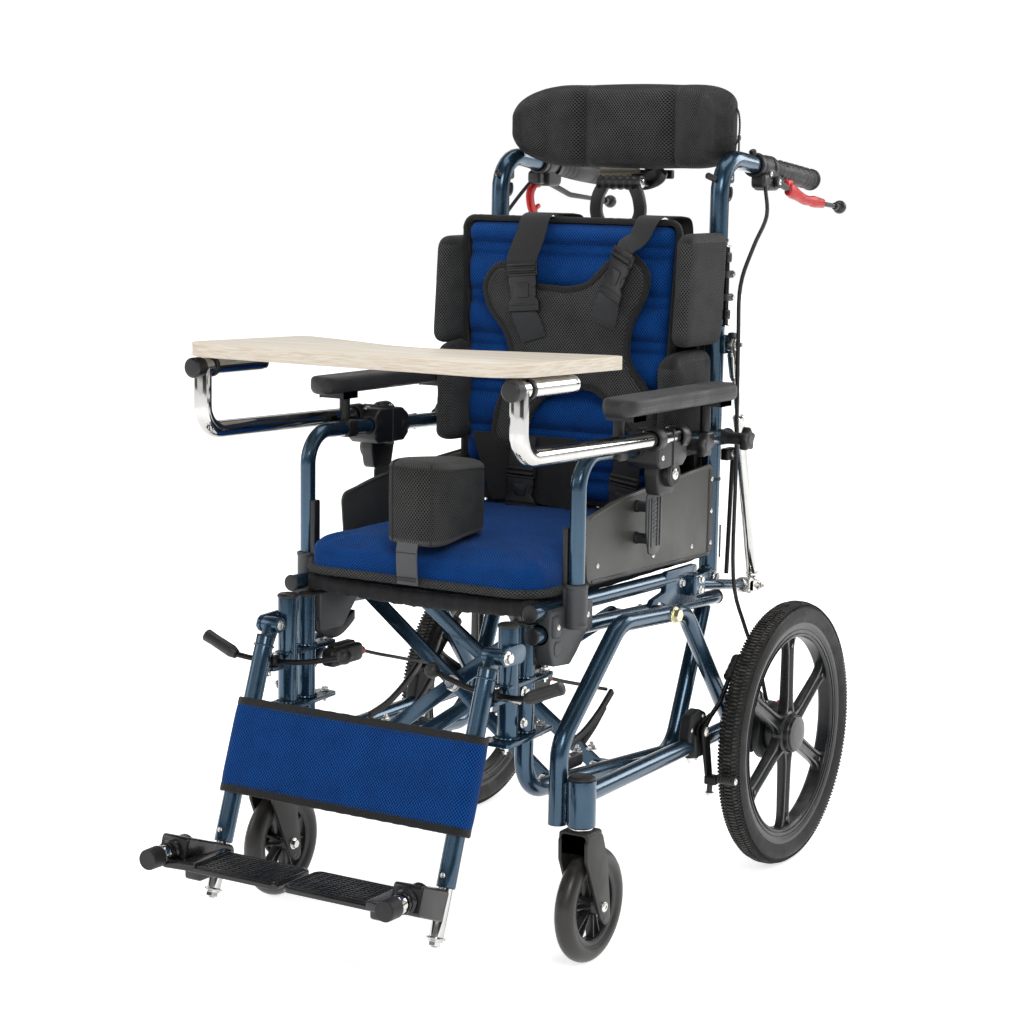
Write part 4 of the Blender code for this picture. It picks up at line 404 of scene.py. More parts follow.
def weld(path, radius, ref=X):
    """A weld bead: a bar whose size swells and shrinks along its path like the laid drops."""
    path = even(path, .0009)
    ripple = 1 + .22 * np.sin(np.arange(len(path)) * math.tau / 3.1)
    return bar(path, radius, 10, ref, radius * .9, ripple)


def weld_ring(centre, axis, radius, bead):
    """A weld bead round a tube."""
    u, v, _ = basis(axis)
    a = np.arange(72) * math.tau / 72
    path = np.asarray(centre, float) + radius * (np.cos(a)[:, None] * u + np.sin(a)[:, None] * v)
    ripple = 1 + .22 * np.sin(np.arange(72) * math.tau / 3)
    return bar(path, bead, 8, unit(axis), size=ripple, closed=True)


def fins(centre, axis, radius, height, count, depth, sides=48):
    """A round grip whose radius rises and falls in rings along its length."""
    t = np.linspace(0, 1, count * 6 + 1)
    wave = radius - depth * (.5 - .5 * np.cos(math.tau * count * t)) ** 3
    profile = np.concatenate([[(0, 0)], np.stack([wave, height * t], 1), [(0, height)]])
    return turned(profile, centre, axis, sides)


def piece(name, shape, looks, body, replaces=(), angle=SMOOTH_ANGLE):
    """A mesh object in its place, its doubles merged and its normals outward, riding on a body, with its
    material. shape may be a list of (material, shape) pairs."""
    groups = shape if isinstance(shape, list) else [(looks, shape)]
    whole = joined(*[s for _, s in groups])
    mesh = bpy.data.meshes.new(name)
    mesh.vertices.add(len(whole.points))
    mesh.vertices.foreach_set("co", whole.points.astype(np.float32).ravel())
    mesh.loops.add(len(whole.corners))
    mesh.loops.foreach_set("vertex_index", whole.corners.astype(np.int32))
    mesh.polygons.add(len(whole.counts))
    mesh.polygons.foreach_set("loop_start", (np.cumsum(whole.counts) - whole.counts).astype(np.int32))
    kinds = list(dict.fromkeys(look for look, _ in groups))
    for look in kinds:
        mesh.materials.append(look)
    numbers = np.concatenate([np.full(len(s.counts), kinds.index(look)) for look, s in groups])
    mesh.polygons.foreach_set("material_index", numbers.astype(np.int32))
    layer = mesh.uv_layers.new(name="cloth")
    layer.data.foreach_set("uv", whole.flat.astype(np.float32).ravel())
    mesh.update(calc_edges=True)
    bm = bmesh.new()
    bm.from_mesh(mesh)
    bmesh.ops.remove_doubles(bm, verts=bm.verts, dist=MERGE)
    bmesh.ops.recalc_face_normals(bm, faces=bm.faces)
    bm.to_mesh(mesh)
    bm.free()
    mesh.shade_smooth()
    mesh.set_sharp_from_angle(angle=angle)
    made = bpy.data.objects.new(name, mesh)
    bpy.context.scene.collection.objects.link(made)
    if body:
        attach(made, body)
    if replaces:
        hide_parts(*([replaces] if isinstance(replaces, str) else replaces))
    return made


def pair(name, shape, looks, body, replaces=(), angle=SMOOTH_ANGLE):
    """The piece on the left and its mirror image on the right. A body or node that ends in _ has a side
    too."""
    groups = shape if isinstance(shape, list) else [(looks, shape)]
    replaces = [replaces] if isinstance(replaces, str) else replaces
    made = []
    for word, side in SIDES:
        own = groups if side > 0 else [(look, mirrored(s)) for look, s in groups]
        nodes = [node + word for node in replaces]
        made.append(piece(f"{name}_{word}", own, looks, body + word if body.endswith("_") else body, nodes,
            angle))
    return made


# Materials


def shade(r, g, b):
    """A colour given as 0 to 255 screen values, as the linear values that a shader takes."""
    c = np.array((r, g, b)) / 255
    return (*np.where(c <= .04045, c / 12.92, ((c + .055) / 1.055) ** 2.4).tolist(), 1.0)


def node(tree, kind, inputs=None, **settings):
    """A node with its settings, and each input either linked or set."""
    made = tree.nodes.new("ShaderNode" + kind)
    for key, value in settings.items():
        setattr(made, key, value)
    for key, value in (inputs or {}).items():
        if isinstance(value, bpy.types.NodeSocket):
            tree.links.new(value, made.inputs[key])
        else:
            made.inputs[key].default_value = value
    return made


def calc(tree, operation, a, b=0.0, c=0.0):
    return node(tree, "Math", {0: a, 1: b, 2: c}, operation=operation).outputs[0]


def vector(tree, operation, a, b=(0.0, 0.0, 0.0)):
    made = node(tree, "VectorMath", {0: a, 1: b}, operation=operation)
    return made.outputs["Value" if operation in ("LENGTH", "DOT_PRODUCT") else "Vector"]


def remap(tree, value, low, high, to_low=0.0, to_high=1.0):
    inputs = {"Value": value, "From Min": low, "From Max": high, "To Min": to_low, "To Max": to_high}
    return node(tree, "MapRange", inputs, interpolation_type="SMOOTHSTEP").outputs[0]


def mix(tree, factor, a, b):
    made = node(tree, "Mix", data_type="RGBA")
    for key, value in ((0, factor), (6, a), (7, b)):
        if isinstance(value, bpy.types.NodeSocket):
            tree.links.new(value, made.inputs[key])
        else:
            made.inputs[key].default_value = value
    return made.outputs[2]


def noise(tree, place, scale, detail=3.0, rough=.55, output="Fac"):
    inputs = {"Vector": place, "Scale": scale, "Detail": detail, "Roughness": rough}
    return node(tree, "TexNoise", inputs).outputs[output]


def group(name, inputs, outputs):
    """An empty node group with its sockets, and its input and output nodes."""
    tree = bpy.data.node_groups.new(name, "ShaderNodeTree")
    for key, (kind, default) in inputs.items():
        socket = tree.interface.new_socket(key, in_out="INPUT", socket_type="NodeSocket" + kind)
        if default is not None:
            socket.default_value = default
    for key, kind in outputs.items():
        tree.interface.new_socket(key, in_out="OUTPUT", socket_type="NodeSocket" + kind)
    return tree, tree.nodes.new("NodeGroupInput").outputs, tree.nodes.new("NodeGroupOutput").inputs


def spacer_mesh_group():
    """Holes of a knitted spacer mesh: the distance to the nearer of two equal lattices, each a row of cells
    1.2 times as far apart along the cloth as across it, one half a cell off the other."""
    tree, given, out = group("spacer mesh", {"Flat": ("Vector", None), "Cell": ("Float", .004),
        "Hole": ("Float", .3)}, {"Hole": "Float", "Crown": "Float", "Height": "Float"})
    tall = (1.0, 1.2, 1.0)
    place = vector(tree, "DIVIDE", given["Flat"], node(tree, "CombineXYZ",
        {0: given["Cell"], 1: given["Cell"], 2: 1.0}).outputs[0])
    place = vector(tree, "DIVIDE", place, tall)
    nearest = None
    for shift in ((0.0, 0.0, 0.0), (.5, .5, 0.0)):
        cell = vector(tree, "FRACTION", vector(tree, "ADD", place, shift))
        away = vector(tree, "MULTIPLY", vector(tree, "SUBTRACT", cell, (.5, .5, 0.0)), (1.0, 1.2, 0.0))
        far = vector(tree, "LENGTH", away)
        nearest = far if nearest is None else calc(tree, "MINIMUM", nearest, far)
    hole = remap(tree, calc(tree, "SUBTRACT", nearest, given["Hole"]), -.1, .1, 1.0, 0.0)
    yarn = noise(tree, place, 3.1, 2.0)
    height = calc(tree, "ADD", calc(tree, "SUBTRACT", 1.0, hole), calc(tree, "MULTIPLY", yarn, .25))
    tree.links.new(hole, out["Hole"])
    tree.links.new(remap(tree, nearest, .26, .42), out["Crown"])
    tree.links.new(height, out["Height"])
    return tree


def webbing_group():
    """Woven webbing: fine ribs across the strap whose phase steps from one warp cord to the next."""
    tree, given, out = group("webbing", {"Flat": ("Vector", None), "Rib": ("Float", .0016),
        "Cord": ("Float", .0022)}, {"Height": "Float", "Shade": "Float"})
    parts = node(tree, "SeparateXYZ", {0: given["Flat"]}).outputs
    cord = calc(tree, "DIVIDE", parts[0], given["Cord"])
    wave = calc(tree, "ABSOLUTE", calc(tree, "SUBTRACT", calc(tree, "FRACT", cord), .5))
    run = calc(tree, "ADD", calc(tree, "DIVIDE", parts[1], given["Rib"]), calc(tree, "MULTIPLY", wave, 1.6))
    rib = calc(tree, "ABSOLUTE", calc(tree, "SUBTRACT", calc(tree, "FRACT", run), .5))
    height = calc(tree, "ADD", calc(tree, "MULTIPLY", rib, 1.4), calc(tree, "MULTIPLY", wave, .5))
    tree.links.new(height, out["Height"])
    # Shade: the rib height, eased, as the mask for painted shade in the grooves and painted light on the
    # ribs.
    tree.links.new(remap(tree, height, .1, .9), out["Shade"])
    return tree


def grain_group():
    """Moulded grain: coarse and fine noise on the object's own place."""
    tree, given, out = group("grain", {"Place": ("Vector", None), "Size": ("Float", .001)},
        {"Height": "Float", "Cloud": "Float"})
    scale = calc(tree, "DIVIDE", 1.0, given["Size"])
    fine = node(tree, "TexVoronoi", {"Vector": given["Place"], "Scale": scale},
        feature="SMOOTH_F1").outputs["Distance"]
    rough = noise(tree, given["Place"], calc(tree, "MULTIPLY", scale, .6), 2.0)
    tree.links.new(calc(tree, "ADD", fine, rough), out["Height"])
    tree.links.new(noise(tree, given["Place"], 22.0, 4.0, .6), out["Cloud"])
    return tree


def wear_group():
    """Handling marks: outer edges, broken up by noise, and dust that lies where a surface faces up."""
    tree, given, out = group("wear", {"Place": ("Vector", None), "Edge": ("Float", .56),
        "Dust": ("Float", .3)}, {"Edge": "Float", "Dust": "Float"})
    geometry = node(tree, "NewGeometry").outputs
    patches = noise(tree, given["Place"], 90.0, 4.0, .6)
    edge = remap(tree, geometry["Pointiness"], given["Edge"], calc(tree, "ADD", given["Edge"], .08))
    tree.links.new(calc(tree, "MULTIPLY", edge, remap(tree, patches, .45, .62)), out["Edge"])
    up = remap(tree, node(tree, "SeparateXYZ", {0: geometry["Normal"]}).outputs[2], .3, 1.0)
    cloud = remap(tree, noise(tree, given["Place"], 35.0, 4.0), .35, .75)
    tree.links.new(calc(tree, "MULTIPLY", calc(tree, "MULTIPLY", up, cloud), given["Dust"]), out["Dust"])
    return tree


SPACER_MESH = spacer_mesh_group()
WEBBING = webbing_group()
GRAIN = grain_group()
WEAR = wear_group()


def material(name, **sockets):
    """A material with its one shader, and the constants set on the shader's own sockets."""
    made = bpy.data.materials.new(name)
    made.use_nodes = True
    tree = made.node_tree
    shader = tree.nodes["Principled BSDF"]
    for key, value in sockets.items():
        shader.inputs[key.replace("_", " ")].default_value = value
    return made, tree, shader


def placed_group(tree, kind, inputs):
    made = node(tree, "Group", node_tree=kind)
    for key, value in inputs.items():
        if isinstance(value, bpy.types.NodeSocket):
            tree.links.new(value, made.inputs[key])
        else:
            made.inputs[key].default_value = value
    return made.outputs


def bump(tree, shader, height, strength, distance):
    inputs = {"Height": height, "Strength": strength, "Distance": distance}
    tree.links.new(node(tree, "Bump", inputs).outputs[0], shader.inputs["Normal"])


def own_place(tree):
    return node(tree, "TexCoord").outputs["Object"]


def own_flat(tree):
    return node(tree, "UVMap", uv_map="cloth").outputs[0]


def hard(name, colour, worn, metallic, roughness, grain=0.0, size=.001, edge=.56, dust=.25, flake=0.0,
        **sockets):
    """Paint, metal, plastic or rubber: one colour that wear lightens, with its grain in bump and
    roughness."""
    made, tree, shader = material(name, Metallic=metallic, **sockets)
    place = own_place(tree)
    cover = placed_group(tree, GRAIN, {"Place": place, "Size": size})
    wear = placed_group(tree, WEAR, {"Place": place, "Edge": edge, "Dust": dust})
    darker = tuple(c * .78 for c in colour[:3]) + (1.0,)
    base = mix(tree, remap(tree, cover["Cloud"], .3, .7), darker, colour)
    if flake:
        spark = node(tree, "TexVoronoi", {"Vector": place, "Scale": 2600.0}).outputs["Color"]
        light = calc(tree, "MULTIPLY", remap(tree, node(tree, "SeparateColor", {0: spark}).outputs[0], .72,
            1.0), flake)
        base = mix(tree, light, base, tuple(min(1, c * 2.6 + .05) for c in colour[:3]) + (1.0,))
    base = mix(tree, wear["Edge"], base, worn)
    base = mix(tree, wear["Dust"], base, shade(150, 146, 138))
    tree.links.new(base, shader.inputs["Base Color"])
    spread = remap(tree, cover["Cloud"], .25, .75, roughness * .8, roughness * 1.2)
    rough = calc(tree, "ADD", spread, calc(tree, "MULTIPLY", wear["Dust"], .25))
    tree.links.new(calc(tree, "ADD", rough, calc(tree, "MULTIPLY", wear["Edge"], .12)),
        shader.inputs["Roughness"])
    if grain:
        bump(tree, shader, cover["Height"], grain, size * .5)
    return made


def polished(name, colour, roughness, brush=0.0):
    """Bare or plated metal: faint smears in its gloss, and fine turning marks where it is brushed."""
    made, tree, shader = material(name, Metallic=1.0)
    place = own_place(tree)
    smear = noise(tree, place, 28.0, 5.0, .65)
    base = mix(tree, remap(tree, smear, .35, .75), colour, tuple(c * .86 for c in colour[:3]) + (1.0,))
    tree.links.new(base, shader.inputs["Base Color"])
    tree.links.new(remap(tree, smear, .3, .75, roughness * .7, roughness * 1.7), shader.inputs["Roughness"])
    fine = noise(tree, vector(tree, "MULTIPLY", place, (900.0, 900.0, 900.0)), 1.0, 2.0)
    bump(tree, shader, fine, .05 + brush, .0002)
    return made


def mesh_cloth(name, colour, light, cell=.0045, hole=.22, sheen=.06):
    """Knitted spacer mesh: its holes are sunk and darkened with painted shade, its yarn crowns lightened
    with a painted highlight, and its yarn fuzzy and a little uneven.
    """
    made, tree, shader = material(name, Sheen_Weight=sheen, Sheen_Roughness=.4, Specular_IOR_Level=.15)
    flat = own_flat(tree)
    weave = placed_group(tree, SPACER_MESH, {"Flat": flat, "Cell": cell, "Hole": hole})
    yarn = noise(tree, flat, 1500.0, 2.0)
    cloud = noise(tree, flat, 24.0, 3.0)
    # Painted highlight: the yarn crowns, away from the holes, go towards the light colour, with yarn noise
    # adding uneven tone.
    raised = calc(tree, "ADD", calc(tree, "MULTIPLY", remap(tree, yarn, .3, .7), .4),
        calc(tree, "MULTIPLY", weave["Crown"], .6))
    base = mix(tree, raised, colour, light)
    base = mix(tree, remap(tree, cloud, .35, .75, 0.0, .3), base,
        tuple(c * .7 for c in colour[:3]) + (1.0,))
    # Painted shade: the holes go to a tenth of the colour.
    base = mix(tree, calc(tree, "MULTIPLY", weave["Hole"], .96), base,
        tuple(c * .1 for c in colour[:3]) + (1.0,))
    tree.links.new(base, shader.inputs["Base Color"])
    tree.links.new(remap(tree, yarn, .2, .8, .72, .92), shader.inputs["Roughness"])
    bump(tree, shader, weave["Height"], .75, .001)
    return made


def strap_cloth(name, colour, light, rib=.0016, cord=.0022):
    """Woven webbing or binding tape."""
    made, tree, shader = material(name, Sheen_Weight=.12, Specular_IOR_Level=.35)
    flat = own_flat(tree)
    weave = placed_group(tree, WEBBING, {"Flat": flat, "Rib": rib, "Cord": cord})
    fuzz = noise(tree, flat, 900.0, 3.0)
    # Painted shade: the colour darkens in the grooves and lightens on the ribs and cords by the weave's
    # height, times a random fuzz.
    base = mix(tree, calc(tree, "MULTIPLY", weave["Shade"], remap(tree, fuzz, .2, .8, .5, 1.0)), colour,
        light)
    tree.links.new(base, shader.inputs["Base Color"])
    tree.links.new(remap(tree, fuzz, .2, .8, .55, .8), shader.inputs["Roughness"])
    bump(tree, shader, weave["Height"], .7, .0006)
    return made


def plain_cloth(name, colour, light, thread=.0007):
    """Close woven cloth: over and under threads on the flat map."""
    made, tree, shader = material(name, Sheen_Weight=.1, Specular_IOR_Level=.3)
    flat = own_flat(tree)
    parts = node(tree, "SeparateXYZ", {0: flat}).outputs
    wave = [calc(tree, "SINE", calc(tree, "MULTIPLY", parts[k], math.pi / thread)) for k in (0, 1)]
    over = calc(tree, "MULTIPLY", wave[0], wave[1])
    cloud = noise(tree, flat, 60.0, 4.0)
    # Painted shade: threads that lie over are lighter and those under darker, times a random cloud tone.
    base = mix(tree, calc(tree, "MULTIPLY", remap(tree, over, -.6, .8),
        remap(tree, cloud, .2, .8, .5, 1.0)), colour, light)
    tree.links.new(base, shader.inputs["Base Color"])
    tree.links.new(remap(tree, cloud, .2, .8, .6, .85), shader.inputs["Roughness"])
    bump(tree, shader, calc(tree, "ADD", over, cloud), .4, .0005)
    return made


def birch_face():
    """Pale birch under clear lacquer: long soft figure along X and short darker pores."""
    made, tree, shader = material("birch face", Coat_Weight=.25, Coat_Roughness=.25, Specular_IOR_Level=.4)
    place = own_place(tree)
    wide = vector(tree, "MULTIPLY", place, (3.0, 26.0, 26.0))
    bend = noise(tree, vector(tree, "MULTIPLY", place, (2.2, 7.0, 7.0)), 1.0, 2.0, output="Color")
    wide = vector(tree, "ADD", wide, vector(tree, "MULTIPLY", bend, (1.5, 2.5, 0.0)))
    figure = noise(tree, wide, 1.6, 5.0, .6)
    pores = noise(tree, vector(tree, "MULTIPLY", place, (60.0, 900.0, 900.0)), 1.0, 2.0)
    base = mix(tree, remap(tree, figure, .3, .72), shade(247, 240, 226), shade(234, 218, 194))
    base = mix(tree, remap(tree, pores, .6, .72, 0.0, .45), base, shade(206, 184, 154))
    tree.links.new(base, shader.inputs["Base Color"])
    tree.links.new(remap(tree, figure, .3, .7, .34, .46), shader.inputs["Roughness"])
    bump(tree, shader, pores, .12, .0003)
    return made


def birch_edge():
    """The glued edge band: finer, warmer figure along its length."""
    made, tree, shader = material("birch edge band", Specular_IOR_Level=.35)
    place = vector(tree, "MULTIPLY", own_place(tree), (30.0, 30.0, 520.0))
    figure = noise(tree, place, 1.0, 4.0, .6)
    base = mix(tree, remap(tree, figure, .35, .68), shade(244, 236, 222), shade(228, 210, 186))
    tree.links.new(base, shader.inputs["Base Color"])
    tree.links.new(remap(tree, figure, .3, .7, .4, .55), shader.inputs["Roughness"])
    bump(tree, shader, figure, .15, .0004)
    return made


PAINT = hard("steel blue paint", shade(46, 76, 98), shade(140, 150, 158), .7, .24, .03, .0009, .62, .06,
    flake=.1, Coat_Weight=.5, Coat_Roughness=.12)
FORK_PAINT = hard("fork coating", shade(50, 49, 47), shade(120, 118, 112), .35, .42, .12, .0007, .6, .12)
CAST_PAINT = hard("dark casting", shade(44, 45, 46), shade(118, 118, 116), .45, .45, .35, .0012, .58, .2)
CHROME = polished("chrome", (.56, .555, .54, 1.0), .07)
ZINC = polished("zinc plated steel", (.74, .73, .7, 1.0), .22, .1)
YELLOW_ZINC = polished("yellow zinc", shade(214, 210, 178), .28, .1)
DARK_STEEL = hard("blackened steel", shade(42, 42, 44), shade(150, 150, 150), .85, .34, .08, .0008, .58,
    .12)
BLACK = hard("black moulding", shade(27, 27, 28), shade(78, 78, 78), 0.0, .42, .25, .0009, .6, .14)
GLOSS_BLACK = hard("glossy black moulding", shade(18, 18, 19), shade(66, 66, 66), 0.0, .22, .06, .0012, .62,
    .1)
GREY_CAST = hard("grey moulding", shade(66, 68, 70), shade(110, 110, 110), 0.0, .42, .22, .001, .6, .12)
PANEL = hard("side panel laminate", shade(72, 73, 68), shade(120, 120, 114), 0.0, .4, .3, .0013, .6, .1)
FOAM = hard("foam skin", shade(38, 38, 39), shade(70, 70, 70), 0.0, .55, .45, .0014, .64, .12,
    Sheen_Weight=.1)
GRIP_RUBBER = hard("grip rubber", shade(15, 15, 16), shade(42, 42, 42), 0.0, .55, .3, .001, .64, .12)
CASTER_RUBBER = hard("caster tyre", shade(44, 42, 39), shade(86, 82, 76), 0.0, .38, .12, .0014, .62, .18)
TYRE_RUBBER = hard("tyre rubber", shade(36, 35, 34), shade(84, 82, 78), 0.0, .62, .35, .001, .62, .2)
WHEEL_PLASTIC = hard("wheel moulding", shade(34, 35, 37), shade(86, 86, 88), 0.0, .3, .15, .0013, .62, .16)
RED = hard("red moulding", shade(216, 6, 10), shade(222, 26, 26), 0.0, .34, .03, .001, .66, 0.0)
# In each spacer mesh the second colour is the painted highlight on the yarn crowns.
BLUE_MESH = mesh_cloth("blue spacer mesh", shade(0, 46, 108), shade(10, 88, 170), hole=.2)
BLACK_MESH = mesh_cloth("black spacer mesh", shade(22, 23, 23), shade(98, 99, 98))
# In each strap cloth the second colour is the painted light on the rib tops.
BINDING = strap_cloth("black binding", shade(9, 9, 10), shade(32, 32, 33), .0013, .0018)
GATHERED = strap_cloth("gathered binding", shade(30, 30, 30), shade(92, 92, 90), .0034, .02)
WEBBING_BLACK = strap_cloth("black webbing", shade(20, 20, 22), shade(56, 56, 59))
WEBBING_GREY = strap_cloth("grey webbing", shade(78, 79, 81), shade(116, 117, 119))
WEBBING_DARK = strap_cloth("dark webbing", shade(34, 35, 37), shade(70, 71, 74))
# In each plain cloth the second colour is the painted light on the threads that lie over.
BLACK_CLOTH = plain_cloth("black cloth", shade(20, 20, 21), shade(44, 44, 46))
SLING_CLOTH = plain_cloth("sling cloth", shade(18, 18, 20), shade(40, 40, 43), .001)
THREAD = plain_cloth("sewing thread", shade(30, 30, 32), shade(70, 70, 74), .0004)
# Its darker colour is also the painted shade laid in the back cushion's sewn grooves.
BLUE_THREAD_AND_GROOVE_SHADE = plain_cloth("blue thread and groove shade", shade(4, 26, 66), shade(16, 54, 116), .0004)
BEIGE = hard("beige sleeve", shade(168, 160, 140), shade(210, 204, 190), 0.0, .4, .1, .001, .6, .1)
BIRCH = birch_face()
BIRCH_EDGE = birch_edge()


# Camera, light and floor


def set_camera():
    """The camera's axes from its azimuth, pitch and roll."""
    a, p, r = CAMERA_AZIMUTH, CAMERA_PITCH, CAMERA_ROLL
    ahead = np.array((-math.sin(a) * math.cos(p), math.cos(a) * math.cos(p), -math.sin(p)))
    right = np.array((math.cos(a), math.sin(a), 0.0))
    up = np.cross(right, ahead)
    turned_right = math.cos(r) * right + math.sin(r) * up
    turned_up = -math.sin(r) * right + math.cos(r) * up
    data = bpy.data.cameras.new("camera")
    data.lens = CAMERA_LENS
    data.sensor_width = 36.0
    data.clip_end = 60.0
    camera = bpy.data.objects.new("camera", data)
    bpy.context.scene.collection.objects.link(camera)
    matrix = np.eye(4)
    for column, values in enumerate((turned_right, turned_up, -ahead, CAMERA_PLACE)):
        matrix[:3, column] = values
    camera.matrix_world = Matrix(matrix.tolist())
    bpy.context.scene.camera = camera


def soft_lamp(name, place, aim, size, power, colour=(1.0, 1.0, 1.0)):
    """A square lamp that faces a point."""
    data = bpy.data.lights.new(name, "AREA")
    data.shape = "RECTANGLE"
    data.size, data.size_y = size
    data.energy = power
    data.color = colour
    lamp = bpy.data.objects.new(name, data)
    bpy.context.scene.collection.objects.link(lamp)
    lamp.location = place
    lamp.rotation_euler = (Vector(aim) - Vector(place)).to_track_quat("-Z", "Y").to_euler()


def studio_world():
    """White to the camera. Metal sees the same white with a darker ceiling and two grey walls, and the rest
    is lit by a plain grey sky."""
    world = bpy.data.worlds.new("studio")
    world.use_nodes = True
    bpy.context.scene.world = world
    tree = world.node_tree
    light = tree.nodes["Background"]
    path = node(tree, "LightPath").outputs
    gaze = node(tree, "TexCoord").outputs["Generated"]
    parts = node(tree, "SeparateXYZ", {0: gaze}).outputs
    ceiling = remap(tree, parts[2], .3, .75, 1.0, .14)
    around = calc(tree, "ARCTAN2", parts[1], parts[0])
    stripes = calc(tree, "SINE", calc(tree, "MULTIPLY", around, 3.0))
    walls = remap(tree, stripes, -.7, .1, .1, 1.0)
    band = calc(tree, "ABSOLUTE", calc(tree, "SUBTRACT", parts[2], .16))
    walls = calc(tree, "MULTIPLY", walls, remap(tree, band, .05, .14, .22, 1.0))
    shine = calc(tree, "MULTIPLY", ceiling, walls)
    seen = calc(tree, "MAXIMUM", path["Is Glossy Ray"], path["Is Transmission Ray"])
    level = calc(tree, "ADD", calc(tree, "MULTIPLY", seen, shine),
        calc(tree, "MULTIPLY", calc(tree, "SUBTRACT", 1.0, seen), .42))
    level = calc(tree, "MAXIMUM", level, path["Is Camera Ray"])
    tree.links.new(level, light.inputs["Strength"])
    light.inputs["Color"].default_value = (1.0, 1.0, 1.0, 1.0)


def set_floor():
    """A wide pale floor that keeps the chair's shadow. To the camera, metal and glass it also glows: half
    white beside the chair, where the lamps do the rest, and fully white from two metres away."""
    mesh = bpy.data.meshes.new("floor")
    mesh.from_pydata([(-14, -14, 0), (14, -14, 0), (14, 14, 0), (-14, 14, 0)], [], [(0, 1, 2, 3)])
    floor = bpy.data.objects.new("floor", mesh)
    bpy.context.scene.collection.objects.link(floor)
    made, tree, shader = material("studio floor", Roughness=.8, Specular_IOR_Level=.15)
    shader.inputs["Base Color"].default_value = (.9, .9, .9, 1.0)
    shader.inputs["Emission Color"].default_value = (1.0, 1.0, 1.0, 1.0)
    path = node(tree, "LightPath").outputs
    seen = calc(tree, "MAXIMUM", path["Is Camera Ray"], calc(tree, "MAXIMUM", path["Is Glossy Ray"],
        path["Is Transmission Ray"]))
    away = vector(tree, "LENGTH", vector(tree, "SUBTRACT", own_place(tree), (0.0, -.3, 0.0)))
    glow = calc(tree, "MULTIPLY", seen, remap(tree, away, .6, 2.0, .7, 1.0))
    tree.links.new(glow, shader.inputs["Emission Strength"])
    mesh.materials.append(made)


bpy.context.scene.view_settings.view_transform = "Standard"
set_camera()
studio_world()
set_floor()
soft_lamp("key", (2.6, -3.4, 3.0), LAMP_AIM, (1.6, 1.6), 68)
soft_lamp("fill", (-3.2, -2.6, 2.0), LAMP_AIM, (2.2, 2.2), 34)
soft_lamp("top", (.2, .2, 3.6), LAMP_AIM, (2.4, 2.4), 38)
soft_lamp("rim", (1.8, 3.0, 2.2), (0.0, -.2, .6), (1.2, 2.0), 42)


# Base: side frames, wheel locks, casters and rear wheels


def along(path, y):
    """The Z of a straight line of the side view at a place Y."""
    (y0, z0), (y1, z1) = path
    return z0 + (z1 - z0) * (y - y0) / (y1 - y0)


